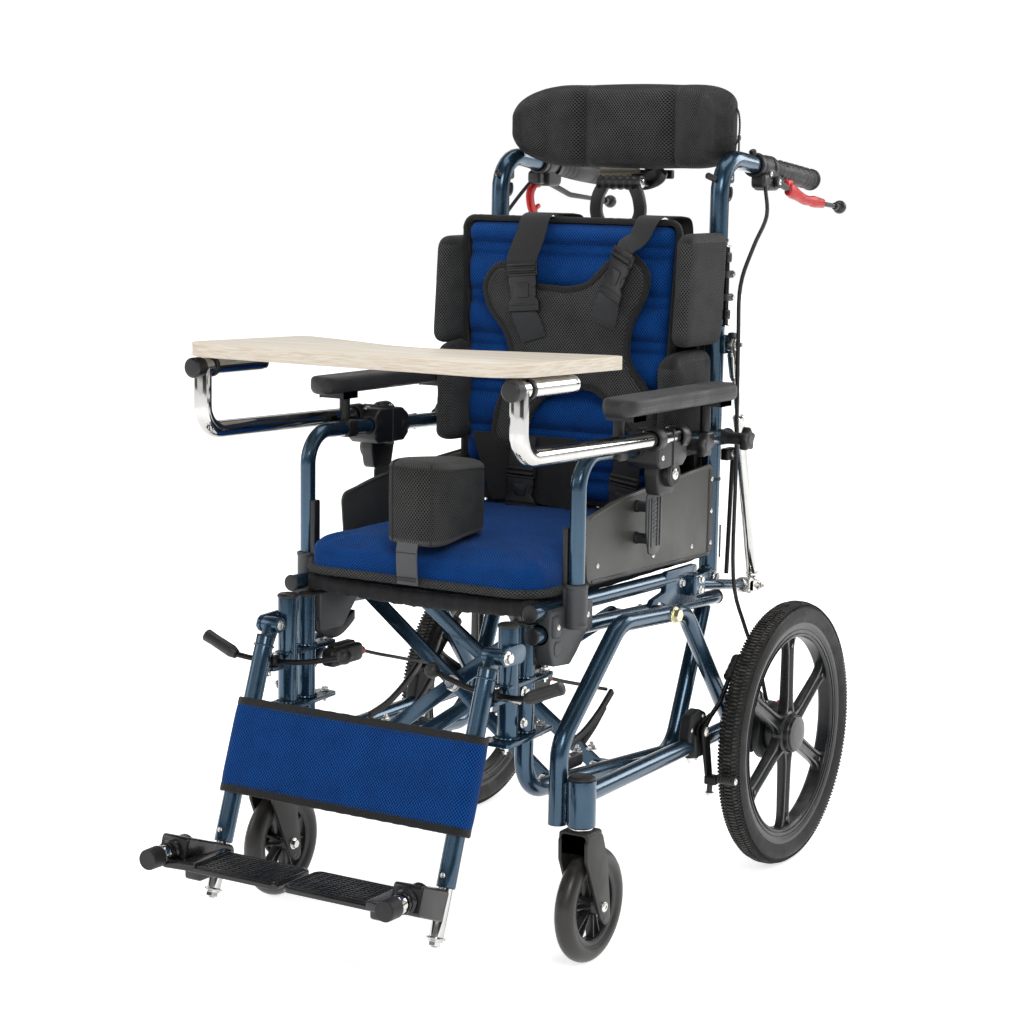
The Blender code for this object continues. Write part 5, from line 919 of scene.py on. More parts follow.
def side_frames():
    stem = np.array((CASTER_X, STEM_Y, 0.0))
    outer = fillet(at(OUTER_X, OUTER_PATH), .055, 10)
    rail = even(at(RAIL_X, RAIL), .02)
    housing = fillet([(.0125, .194), (.0195, .194), (.0195, .257), (.0155, .257)], .001, 3)
    axle_plate = fillet([(-.075, .19), (-.03, .17), (.03, .175), (.03, .235), (.01, .25), (-.075, .25)],
        .008, 5, True)
    contact = .2405
    paint = joined(bar(outer, TUBE, 28), bar(rail, TUBE, 28),
        turned(np.concatenate([housing, [(.0155, .25), (0, .25)]]), stem, Z, 40),
        turned([(0, .194), (.0125, .194), (.0125, .197), (0, .197)], stem, Z, 24),
        prism(axle_plate, "X", .228, .24, .0015),
        weld([(contact, STEM_Y - .011, .198), (contact, STEM_Y - .011, .252)], .003),
        weld([(contact, STEM_Y + .009, .198), (contact, STEM_Y + .009, .252)], .003),
        weld_ring((RAIL_X - .002, -.582, .2222), (0, 1, .011), .0128, .0022),
        weld_ring((OUTER_X, -.084, .232), (0, .64, -.77), .0128, .0022),
        weld_ring((RAIL_X, -.077, .2277), (0, 1, .011), .0128, .0022),
        block((OUTER_X, CASTER_X), (STEM_Y - .009, STEM_Y + .003), (.205, .244), .001))
    pair("side_frame_look", paint, PAINT, "base", ["side_frame_"])
    plug = fillet([(0, .2572), (.018, .2572), (.0184, .26), (.015, .2622), (0, .2626)], .0012, 3)
    pair("caster_plug", turned(plug, stem, Z, 36), BLACK, "base")
    drum = [(0, .24), (.0225, .24), (.0225, .2432), (.043, .2432), (.045, .245), (.045, .256),
        (.0425, .2575), (.03, .2575), (.0285, .256), (0, .256)]
    drum = turned(fillet(drum, .0008, 2), (0, *AXLE), X, 56)
    ribs = prism([(.024, -.0015), (.043, -.0012), (.043, .0012), (.024, .0015)], "X", .2415, .244, .0004)
    turns = np.arange(10) * math.tau / 10
    ribs = repeated(ribs, about_x(turns), np.tile((0.0, *AXLE), (10, 1)))
    pair("drum_brake", joined(drum, ribs), CAST_PAINT, "base")
    arm = link((.012, .24), (-.02, .262), .0075, .006)
    arm_parts = joined(prism(arm, "X", .2418, .2448, .0006), bolt((.2448, .012, .24), X, .0045),
        bar([(.2495, -.0055, .244), (.2505, -.005, .25)], .0042, 14))
    pair("brake_arm", arm_parts, ZINC, "base")
    red = joined(bar([(.25, .034, .232), (.25, .047, .236)], .0058, 18, edge=.002),
        bar([(.25, .045, .2355), (.25, .056, .239)], .0032, 14, edge=.001))
    pair("brake_adjuster", red, RED, "base")
    # The axle, the tilt bolt with its black sleeve, and the screws of the frame
    sleeve = box(.006, .0112, .2063, .223, .0008, 2)
    pair("tilt_sleeve", turned(sleeve, (0, *TILT_PIVOT), X, 28), BLACK, "base")
    steel = joined(turned([(0, .238), (.006, .238), (.006, .3), (.0088, .3002), (.0088, .3022),
        (.006, .303), (0, .303)], (0, *AXLE), X, 24), bolt((.2282, -.056, .214), -X, .0058, end=True),
        bolt((.2402, -.058, .234), X, .0055), button((.1837, *TILT_PIVOT), -X, .0095, .005, .0016))
    pair("frame_screws", steel, ZINC, "base")
    nut = joined(button((.2372, *TILT_PIVOT), X, .0125, .0022),
        hexagon((.2392, *TILT_PIVOT), X, .01, .0078))
    pair("tilt_nut", nut, YELLOW_ZINC, "base")


def wheel_locks():
    y, z = LOCK_PIVOT
    body = fillet([(-.262, .236), (-.245, .226), (-.214, .226), (-.204, .244), (-.206, .27), (-.226, .279),
        (-.252, .272)], .009, 5, True)
    clamp = box(y - .016, y + .016, .209, .244, .005, 4, True)
    shell = joined(prism(body, "X", .23, .248, .0028), prism(clamp, "X", .227, .252, .002),
        button((.2478, y, z), X, .019, .0006, .0004))
    pair("wheel_lock_body", shell, CAST_PAINT, "base")
    rivets = joined(*[cap_screw((.2478, y + dy, z + dz), X, .0034, .0016)
        for dy, dz in ((-.02, .004), (.014, .019))], bar([(.248, y, z), (.2612, y, z)], .004, 18),
        cap_screw((.2612, y, z), X, .0075, .003), bolt((.2395, y - .009, .2085), -Z, .0045, end=True),
        bolt((.2395, y + .009, .2085), -Z, .0045, end=True))
    pair("wheel_lock_screws", rivets, ZINC, "base")
    rod_x = .2522
    bend, end, tip = (-.17, .28), (-.135, .314), (-.108, .337)
    hub = box(.0042, .013, .2488, .2542, .0008, 2)
    path = fillet(np.concatenate([at(rod_x, [(y, z), bend]), at(.2505, [end])]), .02, 8)
    lever = joined(turned(hub, (0, y, z), X, 32, ring=True), bar(path, .0036, 16),
        prism(link((y, z), (y + .03, z + .0155), .012, .005), "X", .249, .2538, .0012))
    pair("wheel_lock_lever_look", lever, DARK_STEEL, "wheel_lock_", ["wheel_lock_lever_"])
    ahead = unit(np.array(tip) - end)
    start = np.array(end) - ahead * .01
    line = even(at(.2505, [start, tip]), .004)
    grip = bar(line, .0088, 24, edge=.006, size=1 + .05 * np.cos(np.arange(len(line)) * 2.2))
    pair("wheel_lock_grip", grip, GRIP_RUBBER, "wheel_lock_")
    arm = joined(prism(link(LOCK_PIVOT, SHOE, .0105, .0085), "X", .2567, .2609, .0008),
        block((.256, .274), (SHOE[0] - .011, SHOE[0] + .004), (SHOE[1] - .008, SHOE[1] + .006), .002))
    pair("lock_shoe_arm", arm, DARK_STEEL, "lock_shoe_", ["wheel_lock_shoe_"])
    shoe = joined(fins((.261, *SHOE), X, .0062, .0415, 9, .0006, 28),
        bar([(.264, SHOE[0] - .008, SHOE[1] - .02), (.264, SHOE[0] - .006, SHOE[1] - .002)], .0042, 18,
        edge=.001))
    pair("lock_shoe_bar", shoe, BLACK, "lock_shoe_")
    pair("lock_shoe_nuts", joined(bolt((.264, SHOE[0] - .008, SHOE[1] - .019), -Z, .0048),
        cap_screw((.302, *SHOE), X, .0048, .0022)), ZINC, "lock_shoe_")


def casters():
    ay, az = CASTER_AXLE
    # Fork: two flat legs that narrow downwards from a bent crown
    leg = fillet([(-.615, .184), (-.573, .184), (-.559, .145), (-.55, .086), (-.5475, .056), (-.561, .05),
        (-.5745, .064), (-.595, .108), (-.614, .15)], .01, 6, True)
    legs = [prism(leg, "X", CASTER_X + low, CASTER_X + high, .001)
        for low, high in ((-.0226, -.0176), (.0176, .0226))]
    arch = fillet([(-.0226, .16), (-.0226, .1895), (.0226, .1895), (.0226, .16), (.018, .16), (.018, .185),
        (-.018, .185), (-.018, .16)], .0042, 5, True)
    arch = arch * (.985, 1.0) + (CASTER_X, -.0003)
    fork = joined(*legs, prism(arch, "Y", -.613, -.575, .001),
        button((CASTER_X, STEM_Y, .165), Z, .012, .02))
    pair("caster_fork_look", fork, FORK_PAINT, "caster_", ["caster_fork_"])
    bearing = joined(
        turned(fillet([(.006, .1893), (.015, .1893), (.0165, .1908), (.0165, .1925), (.014, .1938),
        (.006, .1938)], .0005, 2), (CASTER_X, STEM_Y, 0), Z, 36),
        button((CASTER_X, STEM_Y, .1648), -Z, .01, .003),
        hexagon((CASTER_X, STEM_Y, .162), -Z, .008, .0045),
        bar([(CASTER_X - .0245, ay, az), (CASTER_X + .0245, ay, az)], .004, 16),
        cap_screw((CASTER_X + .0226, ay, az), X, .0072, .004), bolt((CASTER_X - .0226, ay, az), -X, .006))
    pair("caster_bolts", bearing, ZINC, "caster_")
    # Painted shade: glossy black discs on the fork legs stand for the dark inside of their holes.
    holes = joined(*[button((CASTER_X + side * .0224, ay + .0035, az - .0185), side * X, .003, .0004, .0001,
        20) for side in (-1, 1)])
    pair("caster_fork_hole_shade", holes, GLOSS_BLACK, "caster_")
    # Wheel: a full round tyre on a thin rim carried by pairs of spokes
    a = np.linspace(-2.3, 2.3, 27)
    bulge = np.stack([.065 + .014 * np.cos(a), .0142 * np.sin(a)], 1)
    tyre = np.concatenate([bulge, [(.053, .0098), (.053, -.0098)]])
    pair("caster_tyre", turned(tyre, (CASTER_X, ay, az), X, 96, ring=True), CASTER_RUBBER, "caster_roller_",
        ["caster_wheel_"])
    rim = fillet([(.0485, -.0085), (.0545, -.0104), (.0552, -.009), (.053, -.0075), (.053, .0075),
        (.0552, .009), (.0545, .0104), (.0485, .0085)], .0006, 2, True)
    hub = fillet([(.0046, -.0168), (.01, -.0168), (.0112, -.015), (.0135, -.01), (.0135, .01),
        (.0112, .015), (.01, .0168), (.0046, .0168)], .0006, 2, True)
    spoke = []
    for side in (-1, 1):
        path = even([(0.0, side * .003, .0115), (0.0, side * .0085, .05)], .004)
        spoke.append(swept(path, rectangle(.0128, .0028, .0008), X, np.linspace(1.1, .9, len(path)), .0004))
    turns = (np.arange(CASTER_SPOKES) + .25) * math.tau / CASTER_SPOKES
    spokes = repeated(joined(*spoke), about_x(turns), np.tile((CASTER_X, ay, az), (CASTER_SPOKES, 1)))
    wheel = joined(turned(rim, (CASTER_X, ay, az), X, 72, ring=True),
        turned(hub, (CASTER_X, ay, az), X, 32, ring=True), spokes)
    pair("caster_rim", wheel, WHEEL_PLASTIC, "caster_roller_")


def rear_wheels():
    centre = np.array((WHEEL_X, *AXLE))
    # Rim: a wide trough with a rolled lip on each side
    half = [(.1475, 0.0), (.1478, .0085), (.15, .0118), (.162, .0128), (.166, .0142), (.1715, .0148),
        (.1722, .0132), (.1672, .012), (.167, 0.0)]
    profile = half[1:-1] + [(r, -h) for r, h in reversed(half[1:-1])]
    rim = turned(fillet(profile, .0009, 3, True), centre, X, 144, ring=True)
    rings = [
        turned(
        np.stack([r + .0009 * np.cos(np.arange(8) * math.tau / 8),
        s * .0126 + .0011 * np.sin(np.arange(8) * math.tau / 8)], 1), centre, X, 120, ring=True)
        for r in (.1535, .16) for s in (-1, 1)]
    # Spokes: grooved on both faces, waisted, and flared into the hub and the rim
    groove = np.array([(-1, -1), (-.62, -1), (-.5, -.35), (.5, -.35), (.62, -1), (1, -1), (1, 1), (.62, 1),
        (.5, .35), (-.5, .35), (-.62, 1), (-1, 1)], float)
    groove = fillet(groove, .06, 2, True)
    r = np.linspace(.02, .1495, 44)
    wide = .0098 + .0065 * np.exp(-((r - .02) / .02) ** 2) + .0085 * np.exp(-((.1495 - r) / .01) ** 1.3)
    thick = .0078 - .0018 * (r - .02) / .13
    rows = np.stack([groove[None, :, 1] * thick[:, None], groove[None, :, 0] * wide[:, None],
        np.broadcast_to(r[:, None], (44, len(groove)))], 2)
    rows = np.concatenate([rows[:1] * (0, 0, 1), rows, rows[-1:] * (0, 0, 1)])
    turns = np.arange(SPOKES) * math.tau / SPOKES
    spokes = repeated(grid(rows, across=True), about_x(turns), np.tile(centre, (SPOKES, 1)))
    bosses = repeated(joined(*[button((s * .006, 0, .136), s * X, .0036, .0016, .0005, 20)
        for s in (-1, 1)]), about_x(turns), np.tile(centre, (SPOKES, 1)))
    hub = [(.0066, -.0225), (.03, -.0225), (.0305, -.02), (.03, -.008), (.034, -.0065), (.034, .0068),
        (.03, .009), (.0296, .016), (.0285, .0182), (.0066, .0182)]
    hub = turned(fillet(hub, .0012, 3, True), centre, X, 64, ring=True)
    pair("rear_rim", joined(rim, *rings, spokes, bosses, hub), WHEEL_PLASTIC, "wheel_", ["rear_wheel_"])
    cap = fillet([(.0275, .018), (.0285, .0196), (.0262, .0208), (.015, .0218), (0, .0222)], .002, 3)
    cap = np.concatenate([[(0, .018)], cap])
    pair("hub_cap", turned(cap, centre, X, 56), GLOSS_BLACK, "wheel_")
    # Tyre: ringed sidewalls and three rows of blocks
    a = np.linspace(0, 1, 49)
    radius = .169 + .029 * a
    width = .0136 + .0066 * np.sin(np.clip(a / .55, 0, 1) * math.pi / 2) - .0075 * np.clip((a - .55) / .45,
        0, 1) ** 2.2
    width = width + .00022 * np.sin(a * math.tau * 11) * (a < .72)
    side = np.stack([radius, width], 1)
    crown = np.stack([.198 + .002 * np.cos(np.linspace(-1.3, 1.3, 9)),
        -.012 * np.sin(np.linspace(-1.3, 1.3, 9))], 1)
    profile = np.concatenate([side, crown, (side * (1, -1))[::-1]])
    tyre = turned(profile, centre, X, 144, ring=True)

    def blocks(low, high, inner, outer, phase, lean):
        """Blocks of tread: boxes between two places across the tyre, narrower at the top, set round the
        wheel."""
        step = math.tau / LUGS
        half_turn = step * .3
        foot, top = .1965, np.array((outer, inner))
        across = np.array((low, high))
        points = []
        for shrink, height in ((1.0, (foot, foot)), (.78, top)):
            for j in (0, 1):
                for k in (-1, 1):
                    angle = k * half_turn * shrink + lean * (j - .5)
                    x = across[j] + (.0004 if j == 0 else -.0004) * (1 - shrink) * 4
                    points.append((x, height[j] * math.sin(angle), height[j] * math.cos(angle)))
        faces = np.array([(4, 5, 7, 6), (0, 1, 5, 4), (2, 6, 7, 3), (0, 4, 6, 2), (1, 3, 7, 5)])
        one = Shape(np.array(points), faces.ravel(), np.full(5, 4),
            np.tile([(0, 0), (.004, 0), (.004, .004), (0, .004)], (5, 1)))
        return repeated(one, about_x((np.arange(LUGS) + phase) * step), np.tile(centre, (LUGS, 1)))

    tread = joined(blocks(-.0058, .0058, .203, .203, 0.0, 0.0),
        blocks(.0072, .0135, .2005, .2022, .5, .006), blocks(-.0135, -.0072, .2022, .2005, .5, -.006),
        blocks(.0138, .0182, .1945, .1992, 0.0, .004), blocks(-.0182, -.0138, .1992, .1945, 0.0, -.004))
    pair("rear_tyre_look", joined(tyre, tread), TYRE_RUBBER, "wheel_", ["rear_tyre_"],
        angle=math.radians(30))


side_frames()
wheel_locks()
casters()
rear_wheels()


# Seat frame


def seat_frames():
    loop = fillet(at(INNER_X, INNER_LOOP), .05, 10)
    low_tube = even(at(SEAT_TUBE_X, SEAT_TUBE), .02)
    high_tube = even(at(SEAT_TUBE_X, [(-.625, .478), (-.165, .466)]), .02)
    end_plate = [(-.165, .482), (-.165, .425), (-.235, .416), (-.3, .411), (-.318, .43), (-.3, .447),
        (-.262, .454), (-.262, .482)]
    ear = link(LEG_PIVOT, (POST_Y, LEG_PIVOT[1]), .012, .013)
    recline = link((-.17, .455), RECLINE_PIVOT, .011, .011)
    low_tab = fillet([(.158, -.687), (.202, -.687), (.202, -.64), (.196, -.56), (.164, -.56), (.158, -.64)],
        .006, 4, True)
    high_tab = box(.167, .193, -.672, -.556, .006, 4, True)
    paint = joined(bar(loop, TUBE, 28), bar([(INNER_X, POST_Y, .313), (INNER_X, POST_Y, .4645)], .014, 28),
        bar(low_tube, .011, 24), bar(high_tube, .011, 24), prism(fillet(end_plate, .006, 4, True), "X",
        .1965, .2055, .001), prism(ear, "X", .1938, .1994, .0008),
        block((.184, .1965), (POST_Y - .012, POST_Y + .012), (.42, .442), .002),
        prism(low_tab, "Z", .3092, .315, .001), prism(high_tab, "Z", .3832, .389, .001),
        prism(box(INNER_X - .008, INNER_X + .008, -.6975, POST_Y, .004, 4, True), "Z", .3664, .3722, .0006),
        bar([(.2125, -.19, .4555), (.2125, -.024, .4296)], .008, 22),
        block((.1985, .2203), (-.2, -.165), (.4385, .4695), .003), prism(recline, "X", .2047, .2094, .0008),
        weld_ring((INNER_X, POST_Y, .3165), Z, .0148, .0018),
        weld_ring((INNER_X, -.612, .3165), Z, .0135, .0018),
        weld_ring((INNER_X, -.612, .3908), Z, .0135, .0016),
        weld([(.1805, POST_Y + .0145, .33), (.1805, POST_Y + .0145, .378)], .0028, Y),
        weld([(.1805, POST_Y + .0145, .395), (.1805, POST_Y + .0145, .452)], .0028, Y))
    pair("seat_frame_look", paint, PAINT, "seat", ["inner_frame_"])
    # Casting that holds the arm rest, with its arched foot
    arch = fillet([(-.602, .48), (-.602, .43), (-.592, .403), (-.548, .399), (-.53, .413), (-.508, .434),
        (-.488, .438), (-.488, .48)], .007, 5, True)
    inner = fillet([(-.598, .463), (-.598, .406), (-.545, .406), (-.515, .436), (-.492, .463)], .007, 5,
        True)
    collar = [(.0118, .4525), (.0142, .45), (.016, .456), (.015, .46), (.015, .504), (.0158, .506),
        (.0158, .5095), (.0118, .511)]
    casting = joined(prism(arch, "X", .185, .2122, .003), prism(inner, "X", .1652, .186, .0022),
        turned(fillet(collar, .0008, 2, True), (ARM_X, -.552, 0), Z, 40, ring=True),
        block((.206, .22), (-.563, -.541), (.456, .506), .0025),
        block((.205, .217), (-.5985, -.58), (.442, .472), .0035),
        block((.2118, .2134), (-.592, -.574), (.417, .436), .0007, .006),
        turned(box(.0112, .015, -.602, -.56, .001, 2), (SEAT_TUBE_X, 0, .446), Y, 32))
    pair("seat_casting", casting, GREY_CAST, "seat")
    plugs = joined(turned(fillet([(0, .464), (.015, .464), (.0152, .4672), (.0125, .4695), (0, .4702)],
        .0009, 3), (INNER_X, POST_Y, 0), Z, 32),
        turned(fillet([(0, .4596), (.0136, .4596), (.0138, .4622), (.011, .464), (0, .4646)], .0009, 3),
        (INNER_X, -.612, 0), Z, 32), button((SEAT_TUBE_X, -.6198, .447), -Y, .0118, .004, .0016),
        button((SEAT_TUBE_X, -.6248, .478), -Y, .0118, .004, .0016),
        button((SEAT_TUBE_X, -.0802, .418), Y, .0118, .0035, .0016))
    pair("seat_plugs", plugs, BLACK, "seat")
    # The dark link, latch unit and arms inside the loop
    smile = np.concatenate(
        [np.stack([np.linspace(-.606, -.512, 15), .411 - .019 * np.sin(np.linspace(0, math.pi, 15))], 1),
        np.stack([np.linspace(-.512, -.606, 15), .426 - .015 * np.sin(np.linspace(0, math.pi, 15))], 1)])
    hook = even(flowing([(.1655, -.478, .262), (.1655, -.43, .272), (.1655, -.385, .292),
        (.1655, -.345, .318)], 8), .003)
    hook2 = even(flowing([(.15, -.402, .25), (.15, -.37, .268), (.15, -.338, .292)], 8), .003)
    latch = joined(prism(fillet(smile, .0015, 2, True), "X", .167, .1745, .001),
        block((.146, .167), (-.596, -.52), (.356, .382), .004, .008),
        block((.15, .164), (-.585, -.535), (.38, .387), .002), swept(hook, rectangle(.006, .0105, .002), X,
        edge=.002), swept(hook2, rectangle(.006, .0095, .002), X, edge=.002),
        block((.156, .17), (-.478, -.432), (.229, .248), .003, .006))
    pair("seat_latch", latch, BLACK, "seat")
    red = bar([(.1565, -.522, .369), (.1565, -.508, .366)], .0062, 18, edge=.0025)
    pair("latch_tip", red, RED, "seat")
    cable = even(flowing([(.1565, -.512, .367), (.1565, -.47, .354), (.1565, -.42, .34),
        (.156, -.375, .327), (.156, -.345, .319)], 10), .0014)
    ribs = 1 + .16 * np.sin(np.arange(len(cable)) * math.tau / 3)
    pair("latch_cable", bar(cable, .0024, 10, X, .001, ribs), BLACK, "seat")
    steel = joined(bolt((.1994, *LEG_PIVOT), X, .0066), button((.168, *LEG_PIVOT), -X, .0065, .0022),
        bar([(.168, *LEG_PIVOT), (.1994, *LEG_PIVOT)], .0038, 16),
        bolt((.1925, POST_Y + .02, .3745), X, .006), bolt((INNER_X, -.561, .389), Z, .0052, end=True),
        bolt((INNER_X, -.561, .3832), -Z, .0052, end=True), bolt((INNER_X, -.568, .315), Z, .005),
        bolt((INNER_X, -.568, .3092), -Z, .005, end=True), bolt((INNER_X - .012, -.68, .315), Z, .0046),
        bolt((INNER_X + .012, -.68, .3092), -Z, .0046, end=True),
        cap_screw((.2168, -.589, .457), X, .0042, .0022), cap_screw((.22, -.552, .49), X, .0048, .0026),
        cap_screw((.2122, -.503, .46), X, .0042, .0022), bolt((.1745, -.6, .418), X, .0048),
        bolt((.1745, -.518, .418), X, .0052), bolt((.163, -.47, .248), Z, .005, end=True),
        bolt((.163, -.438, .248), Z, .005, end=True), bolt((.163, -.398, .243), Z, .0055, end=True),
        bolt((.2055, -.285, .435), X, .005), bolt((.2055, -.215, .46), X, .0048),
        bolt((.2202, -.182, .462), X, .0042), bolt((.2202, -.182, .446), X, .0042),
        button((.2094, *RECLINE_PIVOT), X, .0085, .003, .0012),
        hexagon((.212, *RECLINE_PIVOT), X, .0068, .004),
        bar([(.184, *RECLINE_PIVOT), (.21, *RECLINE_PIVOT)], .006, 18),
        button((INNER_X, -.687, .3875), Z, .0055, .003, .001),
        bar([(INNER_X, -.687, .369), (INNER_X, -.687, .388)], .003, 14),
        bar([(INNER_X, -.7, .36), (INNER_X, -.7, .3668)], .004, 14), bolt((.1995, -.649, .337), X, .0048))
    pair("seat_screws", steel, ZINC, "seat")
    # Clevis of the recline strut
    eye, wall = .0058, .0045
    clevis = [block((STRUT_X - eye - wall, STRUT_X + eye + wall), (-.03, -.0148), (.418, .4408), .0018)]
    for low, high in ((STRUT_X - eye - wall, STRUT_X - eye), (STRUT_X + eye, STRUT_X + eye + wall)):
        clevis.append(prism(link((-.022, .4293), STRUT_FOOT, .0086, .0086), "X", low, high, .0008))
    clevis += [
        bar([(STRUT_X - eye - wall - .001, *STRUT_FOOT), (STRUT_X + eye + wall + .0012, *STRUT_FOOT)], .004,
        18), bolt((STRUT_X + eye + wall, *STRUT_FOOT), X, .005, end=True),
        cap_screw((STRUT_X - eye - wall, *STRUT_FOOT), -X, .0062, .003),
        hexagon((.2125, -.03, .4306), unit((0, -1, .155)), .0105, .006)]
    pair("strut_clevis", joined(*clevis), ZINC, "seat")


def braces():
    """Crossed flat bars with round ends, a centre bolt, and a bracket at each end."""
    for name, y, head_x, head_z, reach in (("x_brace_front", -.503, .15, .4535, .1647),
            ("x_brace_rear", -.36, .168, along(SEAT_TUBE, -.36), .1837)):
        foot_z = along(INNER_LOOP[1:3], y)
        middle = (foot_z + head_z) / 2
        bars, screws = [], [bolt((0, y - .0062, middle), -Y, .0085),
            bolt((0, y + .0062, middle), Y, .0085, end=True)]
        for side, near in ((1, y - .0061), (-1, y + .0002)):
            foot, head = (side * .152, foot_z), (-side * head_x, head_z)
            bars.append(prism(link(foot, head, .011, .011, 14), "Y", near, near + .0058, .0009))
            for end, edge_x, z in ((foot[0], side * .167, foot_z), (head[0], -side * reach, head_z)):
                bars.append(block((end, edge_x), (y - .0098, y + .0098), (z - .008, z + .008), .002))
                face = near if near < y else near + .0058
                screws.append(bolt((end, y - .0099 if near < y else y + .0099, z), -Y if near < y else Y,
                    .0052))
                screws.append(bar([(end, min(face, y), z), (end, max(face, y), z)], .004, 12))
        piece(name + "_look", joined(*bars), PAINT, "seat", [name])
        piece(name + "_bolts", joined(*screws), ZINC, "seat")


def side_panels():
    outline = np.array([(-.49, .497), (-.113, .487), (-.113, .626), (-.25, .618), (-.4, .606), (-.5, .59)])
    board = fillet(outline, .015, 6, True)
    top = flowing([(-.486, .588), (-.4, .6035), (-.25, .6155), (-.13, .623)], 8)
    panel = joined(prism(board, "X", .1992, .2028, .001), bar(even(at(.2015, top), .008), .0032, 14,
        edge=.002))
    pair("side_panel_look", panel, PANEL, "seat", ["side_panel_"])
    low = flowing([(-.48, .4995), (-.3, .495), (-.128, .4905)], 8)
    trim = joined(bar(even(at(.2012, low), .008), .0034, 14, edge=.002),
        block((.1985, .204), (-.13, -.113), (.493, .619), .0018),
        block((.2035, .212), (-.561, -.547), (.508, .586), .0018),
        *[turned(fillet([(0, .2028), (.0092, .2028), (.0075, .208), (.0075, .228), (0, .228)], .0008, 2),
        (0, -.3525, z), X, 28) for z in (.545, .59)])
    pair("panel_trim", trim, BLACK, "seat")
    screws = joined(*[cap_screw((.204, -.1215, z), X, .0036, .0018) for z in (.507, .555, .603)],
        *[cap_screw((.2028, y, z), X, .0038, .0018) for y, z in ((-.462, .52), (-.3, .512), (-.18, .509))])
    pair("panel_screws", screws, ZINC, "seat")


# Arm rests and tray


def knob_point(y):
    return (y, along(ARM_PATH[1:], y))


def star_knob(x, centre, steps=90):
    """A five-lobed knob: the radius falls between the lobes by a power of the cosine of five times the
    angle, and the rims are rounded."""
    a = np.arange(steps) * math.tau / steps
    wave = .018 - .0048 * (.5 - .5 * np.cos(5 * a)) ** .8
    outline = np.stack([centre[0] + wave * np.sin(a), centre[1] + wave * np.cos(a)], 1)
    return prism(outline, "X", x, x + .0125, .0026)


def arm_rests():
    path = fillet(at(ARM_X, ARM_PATH), .045, 12)
    pair("arm_tube_look", bar(path, .011, 28), PAINT, "seat", ["arm_tube_"])
    fittings = [button((ARM_X, -.1105, .668), Y, .0118, .0035, .0014)]
    for y in (-.455, -.195):
        z = along(ARM_PATH[1:], y)
        top = .7287 - (y + .5) * .004
        fittings += [block((.2105, .2375), (y - .013, y + .013), (z - .0125, z + .0125), .004),
            bar([(.2275, y, z), (.2275, y, top)], .0078, 22), block((.217, .26), (y - .018, y + .018),
            (top - .0036, top + .0002), .0012, .006)]
    neck = fillet([(0, .222), (.0125, .222), (.009, .24), (.009, .2612), (0, .2612)], .001, 3)
    fittings += [*[turned(neck, (0, *knob_point(y)), X, 28) for y in KNOB_Y],
        star_knob(.2617, knob_point(KNOB_Y[1]))]
    pair("arm_fittings", joined(*fittings), BLACK, "seat")
    pair("arm_knob_look", star_knob(.262, knob_point(KNOB_Y[0])), BLACK, "knob_", ["arm_knob_"])
    for name, y, body in (("rear_knob_cap", KNOB_Y[1], "seat"), ("arm_knob_cap", KNOB_Y[0], "knob_")):
        pair(name, button((.2735, *knob_point(y)), X, .0078, .0018, .0008), GREY_CAST, body)
    # Pad: a rounded bar whose ends are half round and whose top is a little hollow
    n, m = 61, 40
    t = .5 - .5 * np.cos(math.pi * np.linspace(0, 1, n))
    y = -.4995 + .341 * t
    reach = np.minimum(y + .4995, -.1585 - y)
    taper = np.sqrt(np.clip(1 - (1 - np.clip(reach / .0275, 0, 1)) ** 2, 0, 1))
    y = np.concatenate([[y[0]], y, [y[-1]]])
    taper = np.concatenate([[0.0], np.maximum(taper, .08), [0.0]])
    a = np.arange(m) * math.tau / m
    c, s = np.cos(a), np.sin(a)
    wide = np.sign(c) * np.abs(c) ** .58 * .0275
    tall = np.sign(s) * np.abs(s) ** .62 * .014
    hollow = -.0022 * np.clip(s, 0, 1) ** 2 * (1 - (wide / .0275) ** 2)
    middle = .743 - (y + .5) * .004
    lift = np.minimum(taper * 1.5, 1.0)
    rows = np.stack([.2425 + wide * taper[:, None], np.broadcast_to(y[:, None], (n + 2, m)),
        middle[:, None] + (tall + hollow) * lift[:, None]], 2)
    pair("arm_pad_look", grid(rows, across=True), FOAM, "seat", ["arm_pad_"])
    seam = np.stack([np.full(60, .27), np.linspace(-.472, -.186, 60), np.linspace(.7415, .7404, 60)], 1)
    pair("arm_pad_seam", bar(seam, .0005, 6), BLACK, "seat")


